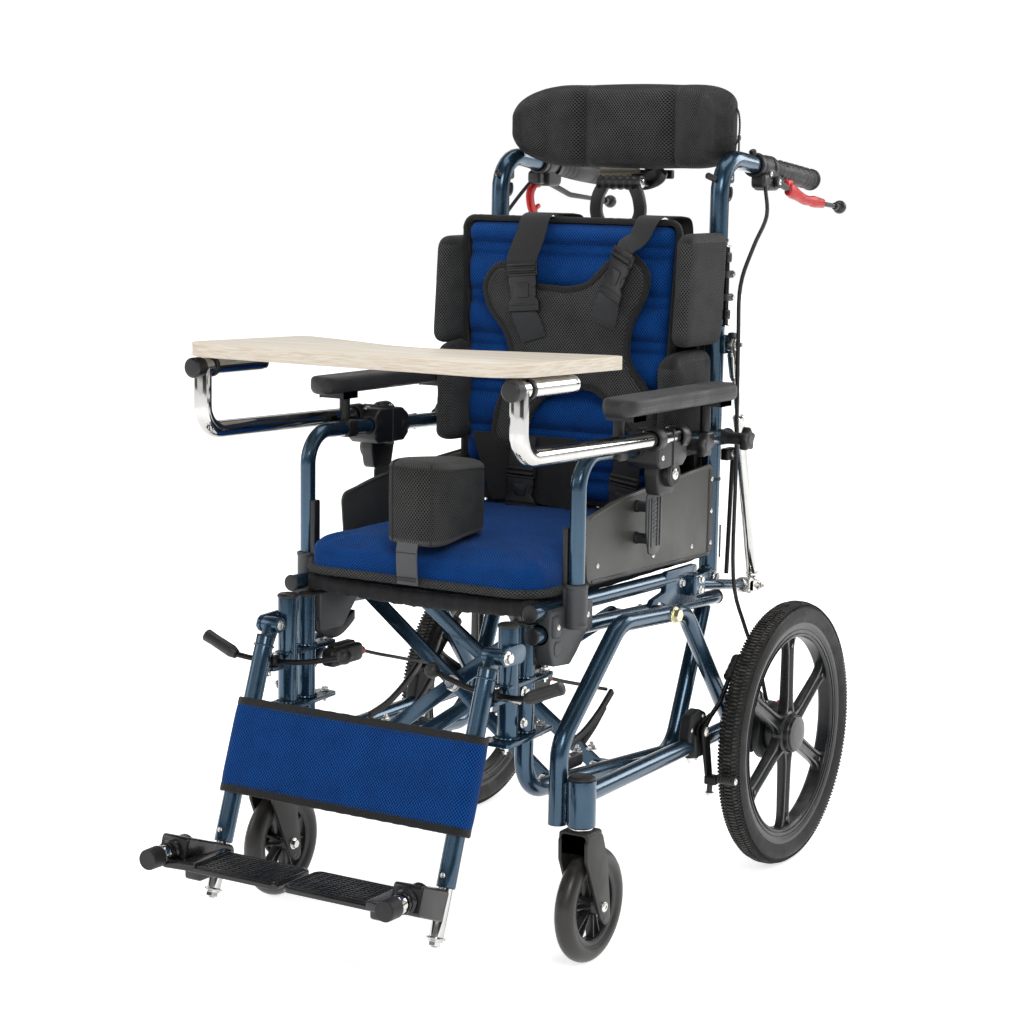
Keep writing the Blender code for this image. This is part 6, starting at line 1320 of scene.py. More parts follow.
def arm_clamps():
    outline = fillet([(-.402, .658), (-.392, .65), (-.327, .65), (-.315, .66), (-.315, .69), (-.33, .7),
        (-.39, .701), (-.402, .692)], .006, 4, True)
    split = block((.2075, .2625), (-.359, -.356), (.646, .704), .0008)
    foot = fillet([(-.383, .665), (-.325, .665), (-.325, .64), (-.332, .6105), (-.376, .6105),
        (-.383, .64)], .008, 5, True)
    sockets = []
    for y0, y1 in ((-.4035, -.385), (-.333, -.314)):
        for x, radius, line in ((TRAY_ARM_X, .0166, TRAY_ARM), (ARM_X, .015, ARM_PATH[1:])):
            bore = .0131 if x == TRAY_ARM_X else .0116
            profile = box(bore, radius, y0, y1, .001, 2, True)
            sockets.append(turned(profile, (x, 0, along(line, (y0 + y1) / 2)), Y, 36, ring=True))
    body = joined(prism(outline, "X", .209, .261, .0035), *sockets, prism(foot, "X", .2285, .25, .003),
        turned(fillet([(0, .248), (.0185, .248), (.018, .26), (.015, .2622), (.0085, .261), (0, .261)],
        .0015, 3), (0, -.3525, .64), X, 40), split)
    pair("arm_clamp_look", body, BLACK, "seat", ["arm_clamp_"])
    slot_bar = fillet([(-.375, .612), (-.33, .612), (-.33, .56), (-.338, .527), (-.3525, .522),
        (-.367, .527), (-.375, .56)], .005, 4, True)
    slots = [block((.2313, .233), (y - .0016, y + .0016), (.535, .604), .0006)
        for y in (-.369, -.361, -.344, -.336)]
    teeth = [block((.2313, .2328), (-.357, -.348), (k - .0012, k + .0012), .0005)
        for k in np.arange(.55, .6, .006)]
    pair("hang_bar", joined(prism(slot_bar, "X", .2285, .2316, .0008), *slots, *teeth), GREY_CAST, "seat")
    screws = joined(cap_screw((.2612, -.3525, .64), X, .008, .0034),
        *[cap_screw((.235, y, .7005), Z, .004, .0022) for y in (-.392, -.325)],
        cap_screw((.2605, -.388, .666), X, .0038, .002))
    pair("clamp_screws", screws, ZINC, "seat")


def tray():
    x = TRAY_ARM_X
    path = fillet(at(x, [*TRAY_ARM, (-.752, along(TRAY_TOP, -.752))]), .035, 12)
    top = even(at(x, [(-.77, .787), (-.625, .785)]), .01)
    arms = joined(bar(path, .0123, 32), bar(top, .0123, 32))
    pair("tray_arm_look", arms, CHROME, "tray", ["tray_arm_"])
    caps = joined(
        turned(fillet([(0, .756), (.0124, .756), (.0138, .758), (.0138, .774), (.011, .7765), (0, .7765)],
        .0012, 3), (x, 0, .7868), -Y, 32),
        turned(fillet([(0, .304), (.01, .304), (.012, .306), (.012, .312), (0, .312)], .0008, 2),
        (x, 0, .6889), -Y, 28))
    pair("tray_arm_caps", caps, BLACK, "tray")
    y = -.735
    saddle = joined(block((x - .007, x + .007), (y - .004, y + .004), (.7975, .802), .0012),
        turned(box(.0125, .0145, -.0035, .0035, .0006, 2, True), (x, y, along(TRAY_TOP, y)), Y, 32,
        ring=True))
    pair("tray_saddles", saddle, BLACK, "tray")
    screws = joined(cap_screw((x - .004, y, .7978), -Z, .0026, .002),
        turned(fillet([(0, .619), (.0095, .619), (.0118, .6212), (.0122, .63), (0, .63)], .001, 3),
        (x, 0, .785), -Y, 32), cap_screw((x, -.6185, .785), Y, .003, .001))
    pair("saddle_screws", screws, ZINC, "tray")
    # Board: large rounded corners in front and a shallow cut for the sitter
    half = [(.2646, -.795), (.2646, -.5), (.17, -.537), (.1, -.568), (.045, -.59)]
    front = fillet([(0.0, -.795), half[0], half[1]], .06, 14)[1:-1]
    back = fillet([(.2646, -.6), half[1], (.22, -.517)], .014, 8)[1:-1]
    belly = flowing([(.235, -.5105), (.17, -.537), (.1, -.568), (.045, -.59), (0.0, -.596), (-.045, -.59)],
        8)[:-8]
    side = np.concatenate([front, back, belly])
    outline = np.concatenate([side, (side * (-1, 1))[::-1][1:]])
    board = prism(outline, "Z", .804, .822, .0009)
    board.points[:, 2] -= .0265 * (board.points[:, 1] + .795)
    made = piece("tray_board", board, BIRCH, "tray", ["tray_top"])
    made.data.materials.append(BIRCH_EDGE)
    normals = np.empty(len(made.data.polygons) * 3, np.float32)
    made.data.polygons.foreach_get("normal", normals)
    upright = np.abs(normals.reshape(-1, 3)[:, 2]) < .6
    made.data.polygons.foreach_set("material_index", upright.astype(np.int32))


# Leg rests


def down_leg(run, ahead=0.0):
    """The place (Y, Z) a distance down the leg rest's slope, and a distance in front of it."""
    slope = unit(HANGER_SLOPE)
    square = np.array((slope[1], -slope[0]))
    return np.asarray(HANGER_TOP) + run * slope + ahead * square


def leg_rests():
    slope3 = np.array((0, *unit(HANGER_SLOPE)))
    start, end = down_leg(.002), down_leg(.284)
    tube = even(at(INNER_X, [start, end]), .03)
    knuckle = box(.0066, .011, .1663, .193, .0007, 2, True)
    paint = joined(bar(tube, TUBE, 30), turned(knuckle, (0, *LEG_PIVOT), X, 32, ring=True),
        prism(link(LEG_PIVOT, down_leg(.022), .0098, .0118), "X", .174, .186, .0015),
        weld_ring((INNER_X, *down_leg(.014)), slope3, .013, .0014))
    pair("hanger_look", paint, PAINT, "leg_rest_", ["hanger_"])
    trims = joined(turned([(.0104, -.006), (.0122, -.006), (.0122, .0012), (.0104, .0012)],
        (INNER_X, *down_leg(.284)), slope3, 36, ring=True), button((INNER_X, *down_leg(.0022)), -slope3,
        .0129, .0026, .0012))
    pair("hanger_trims", trims, BLACK, "leg_rest_")
    screws = joined(cap_screw((INNER_X, *down_leg(.27, .0122)), (0, *unit(down_leg(0, 1) - down_leg(0))),
        .0036, .0024), button((.193, *LEG_PIVOT), X, .0066, .0006, .0002))
    pair("hanger_screws", screws, ZINC, "leg_rest_")


def foot_rests():
    slope3 = np.array((0, *unit(HANGER_SLOPE)))
    rod = even(at(INNER_X, [down_leg(.122), down_leg(.354)]), .03)
    flange = [(.009, -.003), (.0128, -.003), (.0128, 0.0), (.01, 0.0)]
    bright = joined(bar(rod, .0097, 30), turned(fillet(flange, .0006, 2, True), (INNER_X, *down_leg(.351)),
        slope3, 36, ring=True), hexagon((INNER_X, *down_leg(.3535)), slope3, .0085, .006),
        button((INNER_X, *down_leg(.359)), slope3, .0045, .0025, .0008),
        turned(fillet([(.008, -.906), (.0124, -.914), (.0124, -.9246), (.008, -.9246)], .0008, 2, True),
        FOOT_SHAFT, Y, 36, ring=True))
    pair("foot_tube_look", bright, CHROME, "foot_rest_", ["foot_tube_"])
    # Housing: square to the tube, with a clamp round the tube, a rounded body and the boss of the flip shaft
    clamp = fillet([down_leg(.287, -.012), down_leg(.287, .04), down_leg(.3235, .04),
        down_leg(.3235, -.012)], .01, 5, True)
    shell = fillet([down_leg(.2868, .033), down_leg(.2868, .0985), down_leg(.325, .097),
        down_leg(.327, .036)], .005, 5, True)
    boss = fillet([(0, -.87), (.0165, -.87), (.0165, -.9045), (.0125, -.9062), (0, -.9062)], .0008, 2)
    housing = joined(prism(clamp, "X", .166, .185, .003), prism(shell, "X", .1634, .2078, .003),
        turned(boss, FOOT_SHAFT, Y, 40), bar([(.187, -.9, .16), (.187, -.935, .16)], .0079, 22))
    pair("foot_housing", housing, GLOSS_BLACK, "foot_rest_")
    rim = np.array([(.004, -.9252), (.0128, -.9252), (.0142, -.9272), (.0138, -.948), (.013, -.9498)])
    cap = turned(np.concatenate([[(0, -.9252)], fillet(rim, .0012, 3), [(0, -.95)]]), FOOT_SHAFT, Y, 40)
    pair("foot_cap", cap, GRIP_RUBBER, "foot_rest_")


def footplates():
    """A shallow tray with a raised rim, lengthwise ribs and cross bars, and a hinge arm under the
    housing."""
    outline = box(.0042, .1545, -.9168, -.8352, .012, 6, True)
    inner = box(.0085, .15, -.9115, -.8405, .009, 6, True)
    plate = [prism(outline, "Z", .1432, .1502, .0016)]
    loop = np.column_stack([inner, np.full(len(inner), .1502)])
    plate.append(bar(loop, .0022, 10, Z, closed=True))
    for y in np.arange(-.9055, -.844, .0068):
        plate.append(swept([(.013, y, .1502), (.146, y, .1502)], rectangle(.0044, .003, .0011, 2), Y,
            edge=.0012))
    for x in np.arange(.022, .145, .0125):
        plate.append(swept([(x, -.9075, .15), (x, -.8445, .15)], rectangle(.0024, .0044, .0009, 2), X,
            edge=.001))
    arm = fillet([(.135, -.9168), (.186, -.9235), (.186, -.9065), (.162, -.9055), (.15, -.8352),
        (.135, -.8352)], .005, 4, True)
    plate += [prism(arm, "Z", .144, .155, .0022), block((.135, .161), (-.906, -.85), (.128, .1445), .003)]
    ring = box(.0126, .014, -.907, -.913, .0005, 2, True)
    plate.append(turned(ring, FOOT_SHAFT, Y, 36, ring=True))
    pair("footplate_look", joined(*plate), GLOSS_BLACK, "plate_", ["footplate_"])
    screws = joined(*[cap_screw((.145, y, .143), -Z, .0042, .0024) for y in (-.895, -.86)])
    pair("footplate_screws", screws, ZINC, "plate_")


def leg_levers():
    path = flowing([(.236, -.7, .384), (.205, -.693, .38), (.15, -.683, .38), (.11, -.676, .386),
        (.075, -.672, .395)], 8)
    hub = box(.0045, .0086, .3727, .3875, .0006, 2, True)
    rod = joined(bar(even(path, .004), .0039, 16), turned(hub, (.18, -.687, 0), Z, 30, ring=True))
    pair("leg_lever_look", rod, DARK_STEEL, "release_", ["leg_lever_"])
    way = unit(np.array((.29, -.7, .406)) - (.236, -.7, .384))
    grip = turned(fillet([(0, 0), (.0062, 0), (.009, .01), (.0086, .045), (.0092, .0575), (0, .059)], .0016,
        3), (.2345, -.7, .3836), way, 28)
    knob = ball((.072, -.6716, .3955), .0108, X)
    pair("leg_lever_grip", joined(grip, knob), BLACK, "release_")
    # Spring that pulls the lever back, between the lever and the low tab
    a, b = np.array((.1955, -.688, .3792)), np.array((.196, -.647, .362))
    turns, steps = 16, 16 * 8
    t = np.linspace(0, 1, steps + 1)[:, None]
    u, v, _ = basis(b - a, X)
    angle = math.tau * turns * t
    coil = a + (b - a) * (.12 + .76 * t) + .003 * (np.cos(angle) * u + np.sin(angle) * v)
    spring = np.concatenate([[a], coil, [b]])
    pair("leg_spring", bar(spring, .0006, 6), ZINC, "seat")


# Back


def back_frames():
    path = fillet(at(BACK_X, BACK_PATH), .05, 14)
    rail = even(path, .012)
    grip_start = np.array((BACK_X, .075, along(BACK_PATH[1:], .075)))
    grip_end = np.array((BACK_X, .233, along(BACK_PATH[1:], .233)))
    hinge = box(.0063, .0122, .1842, .2038, .0008, 2, True)
    paint = joined(bar(rail[rail[:, 1] < .078], .0139, 30), turned(hinge, (0, *RECLINE_PIVOT), X, 32,
        ring=True), prism(link(RECLINE_PIVOT, (-.0993, .466), .0115, .0115), "X", .185, .199, .0015),
        block((.1975, .2105), (-.103, -.085), (.788, .816), .0025),
        weld([(.203, -.087, .48), (.203, -.087, .53)], .0015, Y))
    pair("back_post_look", paint, PAINT, "back", ["back_post_"])
    away = unit(grip_end - grip_start)
    length = float(np.linalg.norm(grip_end - grip_start))
    t = np.linspace(0.0, 1.0, 46)
    radius = .0158 + .001 * np.sin(t * math.pi) ** 2 - .0009 * (np.sin(t * math.tau * 11) > .86)
    radius[-3:] = (.0172, .017, .014)
    profile = np.concatenate([[(0, 0)], np.stack([radius, length * t], 1), [(0, length + .0015)]])
    grip = turned(profile, grip_start, away, 40)
    pads = []
    for angle in np.arange(-60, 61, 30):
        a = math.radians(angle)
        side = np.array((math.sin(a), 0, math.cos(a)))
        for k in range(5):
            place = grip_start + away * (.035 + .02 * k) + side * .0161
            pads.append(bar([place, place + away * .012], .0016, 8, Z, edge=.0012))
    pair("back_grip", joined(grip, *pads), GRIP_RUBBER, "back")
    rings = []
    for low, high, radius in ((.018, .03, .0186), (.032, .06, .0176), (.062, .073, .019)):
        z = along(BACK_PATH[1:], (low + high) / 2)
        rings.append(turned(box(.0138, radius, low, high, .0016, 3, True), (BACK_X, 0, z), Y, 40,
            ring=True))
    clamp = joined(*rings, block((.18, .2075), (.035, .08), (1.027, 1.062), .0055, .009),
        block((.186, .209), (.018, .04), (1.03, 1.052), .004, .007),
        bar([(.19, .022, 1.07), (.19, .013, 1.088)], .0058, 18, edge=.003),
        bar([(.2045, .05, 1.041), (.2045, .034, 1.0412)], .0045, 16, edge=.001))
    pair("lever_clamp", clamp, BLACK, "back")
    # Hook with a hole under the bend, and the straps that hold the cable to the post
    a = np.radians(np.linspace(-40, 230, 28))
    hook = np.stack([np.full(28, BACK_X + .001), -.072 + .0105 * np.cos(a), 1.025 - .0115 * np.sin(a)], 1)
    trims = [swept(hook, rectangle(.009, .0052, .0018), X, edge=.002),
        block((.183, .199), (-.084, -.062), (1.038, 1.056), .003),
        bar([(BACK_X - .002, -.103, 1.044), (BACK_X - .01, -.118, 1.05)], .005, 14, edge=.003)]
    for z in (.955, .6):
        y = along([(p[1], p[0]) for p in BACK_PATH[:2]], z)
        trims.append(turned(box(.0139, .0152, -.0022, .0022, .0004, 2, True), (BACK_X, y, z), Z, 36,
            ring=True))
    pair("post_trims", joined(*trims), BLACK, "back")
    # The thin upright at the foot of each post and the nut on it
    upright = joined(bar(even([(.204, -.053, .636), (.204, -.064, .452)], .03), .0034, 14),
        block((.196, .208), (-.079, -.048), (.626, .644), .0018))
    pair("recline_upright", upright, DARK_STEEL, "back")
    screws = joined(bolt((.2105, -.093, .802), X, .0052), bar([(.2105, *STRUT_TOP), (.2262, *STRUT_TOP)],
        .0039, 18), bolt((.223, *STRUT_TOP), X, .006, end=True),
        cap_screw((.2076, .045, 1.052), X, .004, .0022), cap_screw((.2076, .068, 1.036), X, .0036, .002),
        bolt((.208, -.06, .635), X, .0042), cap_screw((.1985, -.073, 1.047), X, .0036, .002))
    pair("post_screws", screws, ZINC, "back")


def brake_levers():
    pivot = (.2115, .062, 1.04)
    path = even(fillet([pivot, (.2115, .16, 1.012), (.2115, .294, 1.0005)], .06, 10), .006)
    blade = np.interp(np.linspace(0, 1, len(path)), [0, .15, .7, 1], [1.5, 1.25, 1.0, .95])
    hub = box(0.0, .0092, .2084, .2148, .001, 3)
    lever = joined(swept(path, rectangle(.0062, .0076, .0026, 3), X, blade, edge=.002),
        turned(hub, (0, *pivot[1:]), X, 32), ball((.2115, .297, 1.0), .0108, Y),
        bar([(.2115, .286, 1.001), (.2115, .276, 1.0018)], .006, 18, edge=.002))
    pair("brake_lever_look", lever, BLACK, "brake_", ["brake_lever_"])
    near = even(fillet([(.2115, .098, 1.03), (.2115, .16, 1.0125), (.2115, .232, 1.0062)], .06, 8), .006)
    size = np.interp(np.linspace(0, 1, len(near)), [0, .12, .3, .62, .72, 1],
        [1.25, 1.35, 1.05, .95, 1.15, .9])
    latch = joined(swept(near, rectangle(.0098, .016, .004, 3), X, size, edge=.003),
        block((.207, .215), (.09, .113), (1.03, 1.044), .003, .005))
    piece("brake_latch_left", latch, RED, "brake_left")
    tab = even(flowing([(-.212, .044, 1.03), (-.212, .033, 1.015), (-.212, .036, .996), (-.212, .048, .98)],
        8), .004)
    far = joined(swept(tab, rectangle(.01, .015, .004, 3), X, edge=.004),
        block((-.215, -.2085), (.04, .064), (1.024, 1.036), .0025, .005),
        bar([(-.212, .044, .988), (-.212, .062, .996)], .004, 14, edge=.003))
    piece("brake_latch_right", far, RED, "brake_right")
    pair("brake_lever_screw", cap_screw((.2148, *pivot[1:]), X, .0044, .0016), ZINC, "brake_")


def recline_struts():
    foot, top = np.array(STRUT_FOOT), np.array(STRUT_TOP)
    way = unit(top - foot)
    way3 = np.array((0, *way))

    def eye(place, radius):
        ring = box(.0042, radius, STRUT_X - .0055, STRUT_X + .0055, .001, 2, True)
        return turned(ring, (0, *place), X, 32, ring=True)

    body = joined(bar(at(STRUT_X, [foot + way * .02, foot + way * .268]), .0084, 28, edge=.0022),
        turned(fillet([(0.0, .26), (.0092, .26), (.0092, .274), (.007, .277), (.0052, .277), (0, .277)],
        .0008, 2), (STRUT_X, *foot), way3, 30), bar(at(STRUT_X, [foot + way * .007, foot + way * .026]),
        .0062, 20))
    pair("strut_body", body, CHROME, "strut_", ["recline_cylinder_"])
    ends = joined(eye(foot, .0095), turned(box(0, .0094, .016, .022, .0006, 2), (STRUT_X, *foot), way3, 28))
    pair("strut_eye", ends, ZINC, "strut_")
    length = float(np.linalg.norm(top - foot))
    rod = joined(bar(at(STRUT_X, [foot + way * .122, foot + way * (length - .006)]), .0049, 24),
        eye(top, .0104),
        turned(fillet([(0, length - .056), (.0072, length - .056), (.0086, length - .05),
        (.0086, length - .016), (.0066, length - .01), (0, length - .01)], .0012, 3), (STRUT_X, *foot),
        way3, 28))
    pair("strut_rod_look", rod, ZINC, "strut_rod_", ["recline_rod_"])
    head = joined(prism(link(top, top - way * .026, .0112, .007), "X", STRUT_X + .0056, STRUT_X + .007,
        .0006), block((STRUT_X - .005, STRUT_X + .005), (top[0] - .006, top[0] + .006),
        (top[1] + .009, top[1] + .018), .002))
    pair("strut_head", head, BLACK, "strut_rod_")


CABLE_RADIUS = .003
CABLE_ROUTE = ((.2045, .042, 1.041), (.208, .025, 1.032), (.2265, -.007, .99), (.2295, -.056, .945),
    (.2295, -.096, .889), (.2295, -.098, .809), (.2295, -.0935, .62), (.2295, -.092, .455),
    (.235, -.06, .375), (.244, -.025, .31), (.2505, -.005, .2485))
CABLE_STRETCHES = (("upper", "back", None, .6), ("middle", "back", "seat", .452),
    ("lower", "seat", "base", 0.0))


def brake_cables():
    """Each cable in three stretches down to the given heights: one on the back, one beside the recline hinge
    and one below the seat, down to the drum. The last two ride on no body."""
    for word, side in SIDES:
        route = flowing(CABLE_ROUTE, 5) * (side, 1, 1)
        first = 0
        for name, body, far_body, low in CABLE_STRETCHES:
            last = int((route[:, 2] > low).sum())
            path = route[first:last + 1]
            first = last
            tube = bar(path, CABLE_RADIUS, 12, X, edge=.0002)
            nodes = [] if far_body else ["brake_cable_" + word]
            made = piece(f"cable_{name}_{word}", tube, GRIP_RUBBER, None if far_body else body, nodes)
            if far_body:
                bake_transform(made)


def headrest_bracket():
    post_y = -.057
    stem = block((-.008, .008), (-.062, -.052), (.851, .97), .0016)
    arms = []
    for side in (-1, 1):
        bow = flowing([(side * .002, post_y, .948), (side * .018, post_y, .956),
            (side * .037, post_y, .985), (side * .036, post_y - .001, 1.012), (side * .026, post_y, 1.033)],
            8)
        arms.append(swept(even(bow, .004), rectangle(.0105, .019, .0022), Y, edge=.002))
    grooves = [bar([(x, -.0515, .858), (x, -.0515, .94)], .0009, 6) for x in (-.004, .004)]
    n = 41
    t = np.linspace(0, 1, n)
    ribs = .0098 + .0012 * (np.cos(t * math.tau * 6) > .2)
    profile = np.concatenate([[(0, -.033)], np.stack([ribs, -.033 + .073 * t], 1), [(0, .04)]])
    clamp = turned(profile, (0, post_y, 1.036), X, 36)
    arm = [block((-.013, .013), (-.052, .056), (1.03, 1.04), .003),
        block((-.012, .012), (.045, .059), (1.034, 1.108), .003)]
    plate = flowing([(-.02, .02, 1.036), (.006, .024, 1.038), (.029, .016, 1.046), (.04, .006, 1.058)], 8)
    arms.append(swept(even(plate, .004), rectangle(.006, .026, .0022), Y, edge=.003))
    arms.append(block((-.09, .04), (.04, .05), (1.042, 1.056), .002))
    piece("headrest_bracket_look", joined(stem, clamp, *arms, *grooves, *arm), BLACK, "headrest",
        ["headrest_bracket"])
    tube = bar([(-.082, .034, 1.049), (-.015, .034, 1.049)], .0095, 24, Z, edge=.002)
    piece("headrest_sleeve", tube, BEIGE, "headrest")
    screws = joined(cap_screw((.04, post_y, 1.036), X, .0072, .003),
        cap_screw((-.033, post_y, 1.036), -X, .006, .0026), bar([(-.019, .052, 1.1), (.019, .052, 1.1)],
        .004, 16), bolt((.0185, .052, 1.1), X, .005))
    piece("headrest_screws", screws, CHROME, "headrest")


def back_board():
    """A moulded panel with turned-in flanges, pressed ribs across it and the channel for the headrest
    stem."""
    outline = fillet([(-.1757, .6), (.1757, .6), (.1757, .92), (.15, .96), (-.15, .96), (-.1757, .92)],
        .014, 6, True)
    parts = [prism(outline, "Y", -.1245, -.1182, .001)]
    for side in (-1, 1):
        parts.append(block((side * .1757, side * .1697), (-.1195, -.0852), (.605, .95), .002))
    for z in (.652, .708, .764, .82):
        rib = box(-.15, .15, z - .01, z + .01, .009, 5, True)
        parts.append(prism(rib, "Y", -.119, -.113, .0026))
    for x0, x1, y0, y1 in ((-.018, -.0105, -.119, -.0425), (.0105, .018, -.119, -.0425),
            (-.018, .018, -.05, -.0425), (-.018, .018, -.119, -.064)):
        parts.append(block((x0, x1), (y0, y1), (.87, .94), .0018))
    for side in (-1, 1):
        for z in (.665, .905):
            parts.append(block((side * .17, side * .177), (-.106, -.086), (z, z + .04), .0016))
    piece("back_board_look", joined(*parts), BLACK, "back", ["back_board"])
    star = star_knob(0.0, (0.0, 0.0))
    turn = np.array(((0.0, 1.0, 0.0), (1.0, 0.0, 0.0), (0.0, 0.0, 1.0)))
    knob = Shape(star.points @ turn.T * (.8, 1.0, .8) + (0.0, -.0425, .905), star.corners, star.counts,
        star.flat)
    piece("stem_knob", knob, BLACK, "back")
    screws = [cap_screw((x, -.113, z), Y, .0044, .0022) for x in (-.138, .138)
        for z in (.652, .708, .764, .82)]
    piece("board_screws", joined(*screws), ZINC, "back")


def lateral_hinges():
    """The rods that the upper side pads turn on, and the clips on the post that hold them."""
    x, y = .2125, -.108
    rods = [bar([(x, y, .832), (x, y, .946)], .004, 18)]
    for low, high in ((.8395, .8545), (.9235, .9385)):
        rods.append(block((x - .009, x + .006), (y - .01, y + .0052), (low, high), .0022))
    pair("lateral_rods", joined(*rods), DARK_STEEL, "lateral_", ["lateral_pad_"])
    clips = []
    for low, high in ((.8665, .8775), (.9005, .9115)):
        clips.append(block((.199, .2185), (y - .0065, y + .015), (low, high), .0022))
    pair("lateral_clips", joined(*clips), GREY_CAST, "back")
    screws = joined(*[bolt((.2165, y + .01, z), X, .0038) for z in (.872, .906)],
        button((x, y, .946), Z, .006, .0026, .001), button((x, y, .832), -Z, .006, .0026, .001))
    pair("lateral_screws", screws, ZINC, "back")


# Soft goods: closed boxes of small cells, rounded and shaped by formula, then blown up as cloth


Quilt = collections.namedtuple("Quilt", "points corners flat lattice counts")


def spaced(stops, cell):
    """Places from the first stop to the last, about a cell apart, with one on every stop."""
    parts = [np.linspace(a, b, max(1, round((b - a) / cell)) + 1)[:-1]
        for a, b in zip(stops[:-1], stops[1:])]
    return np.concatenate([*parts, stops[-1:]])


def quilt(levels, low, high):
    """The skin of a box whose cells lie between the given places on the three axes. Its edges are rounded
    by carrying the cube of the last radius on each side onto a ball: part * (largest part / length). low
    and high are the radii at the low and the high end of each axis, 0 for a sharp edge."""
    counts = [len(places) - 1 for places in levels]
    lattice, flat, faces, start = [], [], [], 0
    for axis in range(3):
        a, b = [k for k in range(3) if k != axis]
        for end in (0, counts[axis]):
            i, j = np.meshgrid(np.arange(counts[a] + 1), np.arange(counts[b] + 1), indexing="ij")
            cells = np.zeros((*i.shape, 3), int)
            cells[..., a], cells[..., b], cells[..., axis] = i, j, end
            number = start + np.arange(i.size).reshape(i.shape)
            faces.append(np.stack([number[:-1, :-1], number[1:, :-1], number[1:, 1:], number[:-1, 1:]],
                -1).reshape(-1, 4))
            lattice.append(cells.reshape(-1, 3))
            flat.append(np.stack([levels[a][i], levels[b][j]], -1).reshape(-1, 2))
            start += i.size
    lattice, flat, faces = np.concatenate(lattice), np.concatenate(flat), np.concatenate(faces)
    unique, inverse = np.unique(lattice, axis=0, return_inverse=True)
    inverse = inverse.reshape(-1)
    place = np.stack([levels[k][unique[:, k]] for k in range(3)], 1)
    bottom, top = np.array([p[0] for p in levels]), np.array([p[-1] for p in levels])
    low, high = np.asarray(low, float), np.asarray(high, float)
    core = np.clip(place, bottom + low, top - high)
    radius = np.where(place > core, high, low)
    part = np.where(radius > 0, (place - core) / np.maximum(radius, 1e-9), 0)
    length = np.maximum(np.linalg.norm(part, axis=1, keepdims=True), 1e-9)
    ball_part = part * np.abs(part).max(1, keepdims=True) / length
    return Quilt(core + radius * ball_part, inverse[faces], flat[faces].reshape(-1, 2), unique,
        np.array(counts))


def on_face(made, axis, end):
    """Which points lie on one face of the box: end 0 is the low one and 1 the high one."""
    return made.lattice[:, axis] == (made.counts[axis] if end else 0)


def on_level(made, levels, axis, places):
    """Which points lie on the given places of an axis."""
    return np.isclose(levels[axis][made.lattice[:, axis]][:, None], np.asarray(places), atol=1e-7).any(1)


def puffed(points, corners, held, pressure, cap, frames=20):
    """The points after the closed cloth has been blown up by air, with the held points fixed. No point moves
    farther than cap: move * (cap / length) * tanh(length / cap)."""
    scene = bpy.context.scene
    mesh = bpy.data.meshes.new("puffing")
    mesh.from_pydata(points.tolist(), [], corners.tolist())
    bm = bmesh.new()
    bm.from_mesh(mesh)
    bmesh.ops.recalc_face_normals(bm, faces=bm.faces)
    bm.to_mesh(mesh)
    bm.free()
    made = bpy.data.objects.new("puffing", mesh)
    scene.collection.objects.link(made)
    made.vertex_groups.new(name="held").add(np.flatnonzero(held).tolist(), 1.0, "REPLACE")
    cloth = made.modifiers.new("Cloth", "CLOTH")
    cloth.settings.quality = 4
    cloth.settings.mass = .3
    cloth.settings.tension_stiffness = 12
    cloth.settings.compression_stiffness = 12
    cloth.settings.shear_stiffness = 4
    cloth.settings.bending_stiffness = .4
    cloth.settings.use_pressure = True
    cloth.settings.uniform_pressure_force = pressure
    cloth.settings.vertex_group_mass = "held"
    cloth.settings.effector_weights.gravity = 0
    cloth.collision_settings.use_collision = False
    cloth.point_cache.frame_start = 1
    cloth.point_cache.frame_end = frames
    for frame in range(1, frames + 1):
        scene.frame_set(frame)
    after = np.empty(len(points) * 3, np.float32)
    evaluated = made.evaluated_get(bpy.context.evaluated_depsgraph_get())
    evaluated.data.vertices.foreach_get("co", after)
    bpy.data.objects.remove(made)
    bpy.data.meshes.remove(mesh)
    scene.frame_set(1)
    move = after.reshape(-1, 3) - points
    length = np.maximum(np.linalg.norm(move, axis=1, keepdims=True), 1e-9)
    return points + move * (cap / length) * np.tanh(length / cap)


def skin(made, points=None):
    """A quilt as a shape."""
    points = made.points if points is None else points
    return Shape(points, made.corners.reshape(-1), np.full(len(made.corners), 4), made.flat)


def bands(made, points, chosen):
    """A quilt in two shapes: the faces left as they are, and the chosen faces with their flat map turned."""
    parts = []
    for pick, order in ((~chosen, (0, 1)), (chosen, (1, 0))):
        flat = made.flat.reshape(-1, 4, 2)[pick].reshape(-1, 2)[:, order]
        parts.append(Shape(points, made.corners[pick].reshape(-1), np.full(int(pick.sum()), 4), flat))
    return parts


def soften(made, levels=1):
    for one in made if isinstance(made, list) else [made]:
        smooth = one.modifiers.new("Subdivision", "SUBSURF")
        smooth.levels = levels
        smooth.render_levels = levels


def stitches(path, out, length=.003, gap=.0016, radius=.00042):
    """A row of short threads along a path, each a five-sided spindle: radius times the root of the sine of
    the way along it. out lifts them off the cloth."""
    spots = even(path, length + gap)
    ahead = unit(np.gradient(spots, axis=0))
    out = np.broadcast_to(unit(out), ahead.shape)
    side = unit(np.cross(ahead, out))
    t = np.linspace(0, 1, 4)
    a = np.arange(5) * math.tau / 5
    size = radius * np.sqrt(np.sin(t * math.pi) + .02)
    spindle = grid(np.stack([np.broadcast_to(((t - .5) * length)[:, None], (4, 5)),
        size[:, None] * np.cos(a), size[:, None] * np.sin(a)], 2), across=True)
    frames = np.stack([ahead, side, np.cross(ahead, side)], -1)
    return repeated(spindle, frames, spots + out * radius * .4)


def placed(shape, origin, across, up, out):
    """A shape drawn in its own frame (across, up, out), put in place."""
    frame = np.stack([unit(across), unit(up), unit(out)])
    return Shape(shape.points @ frame + np.asarray(origin, float), shape.corners, shape.counts, shape.flat)


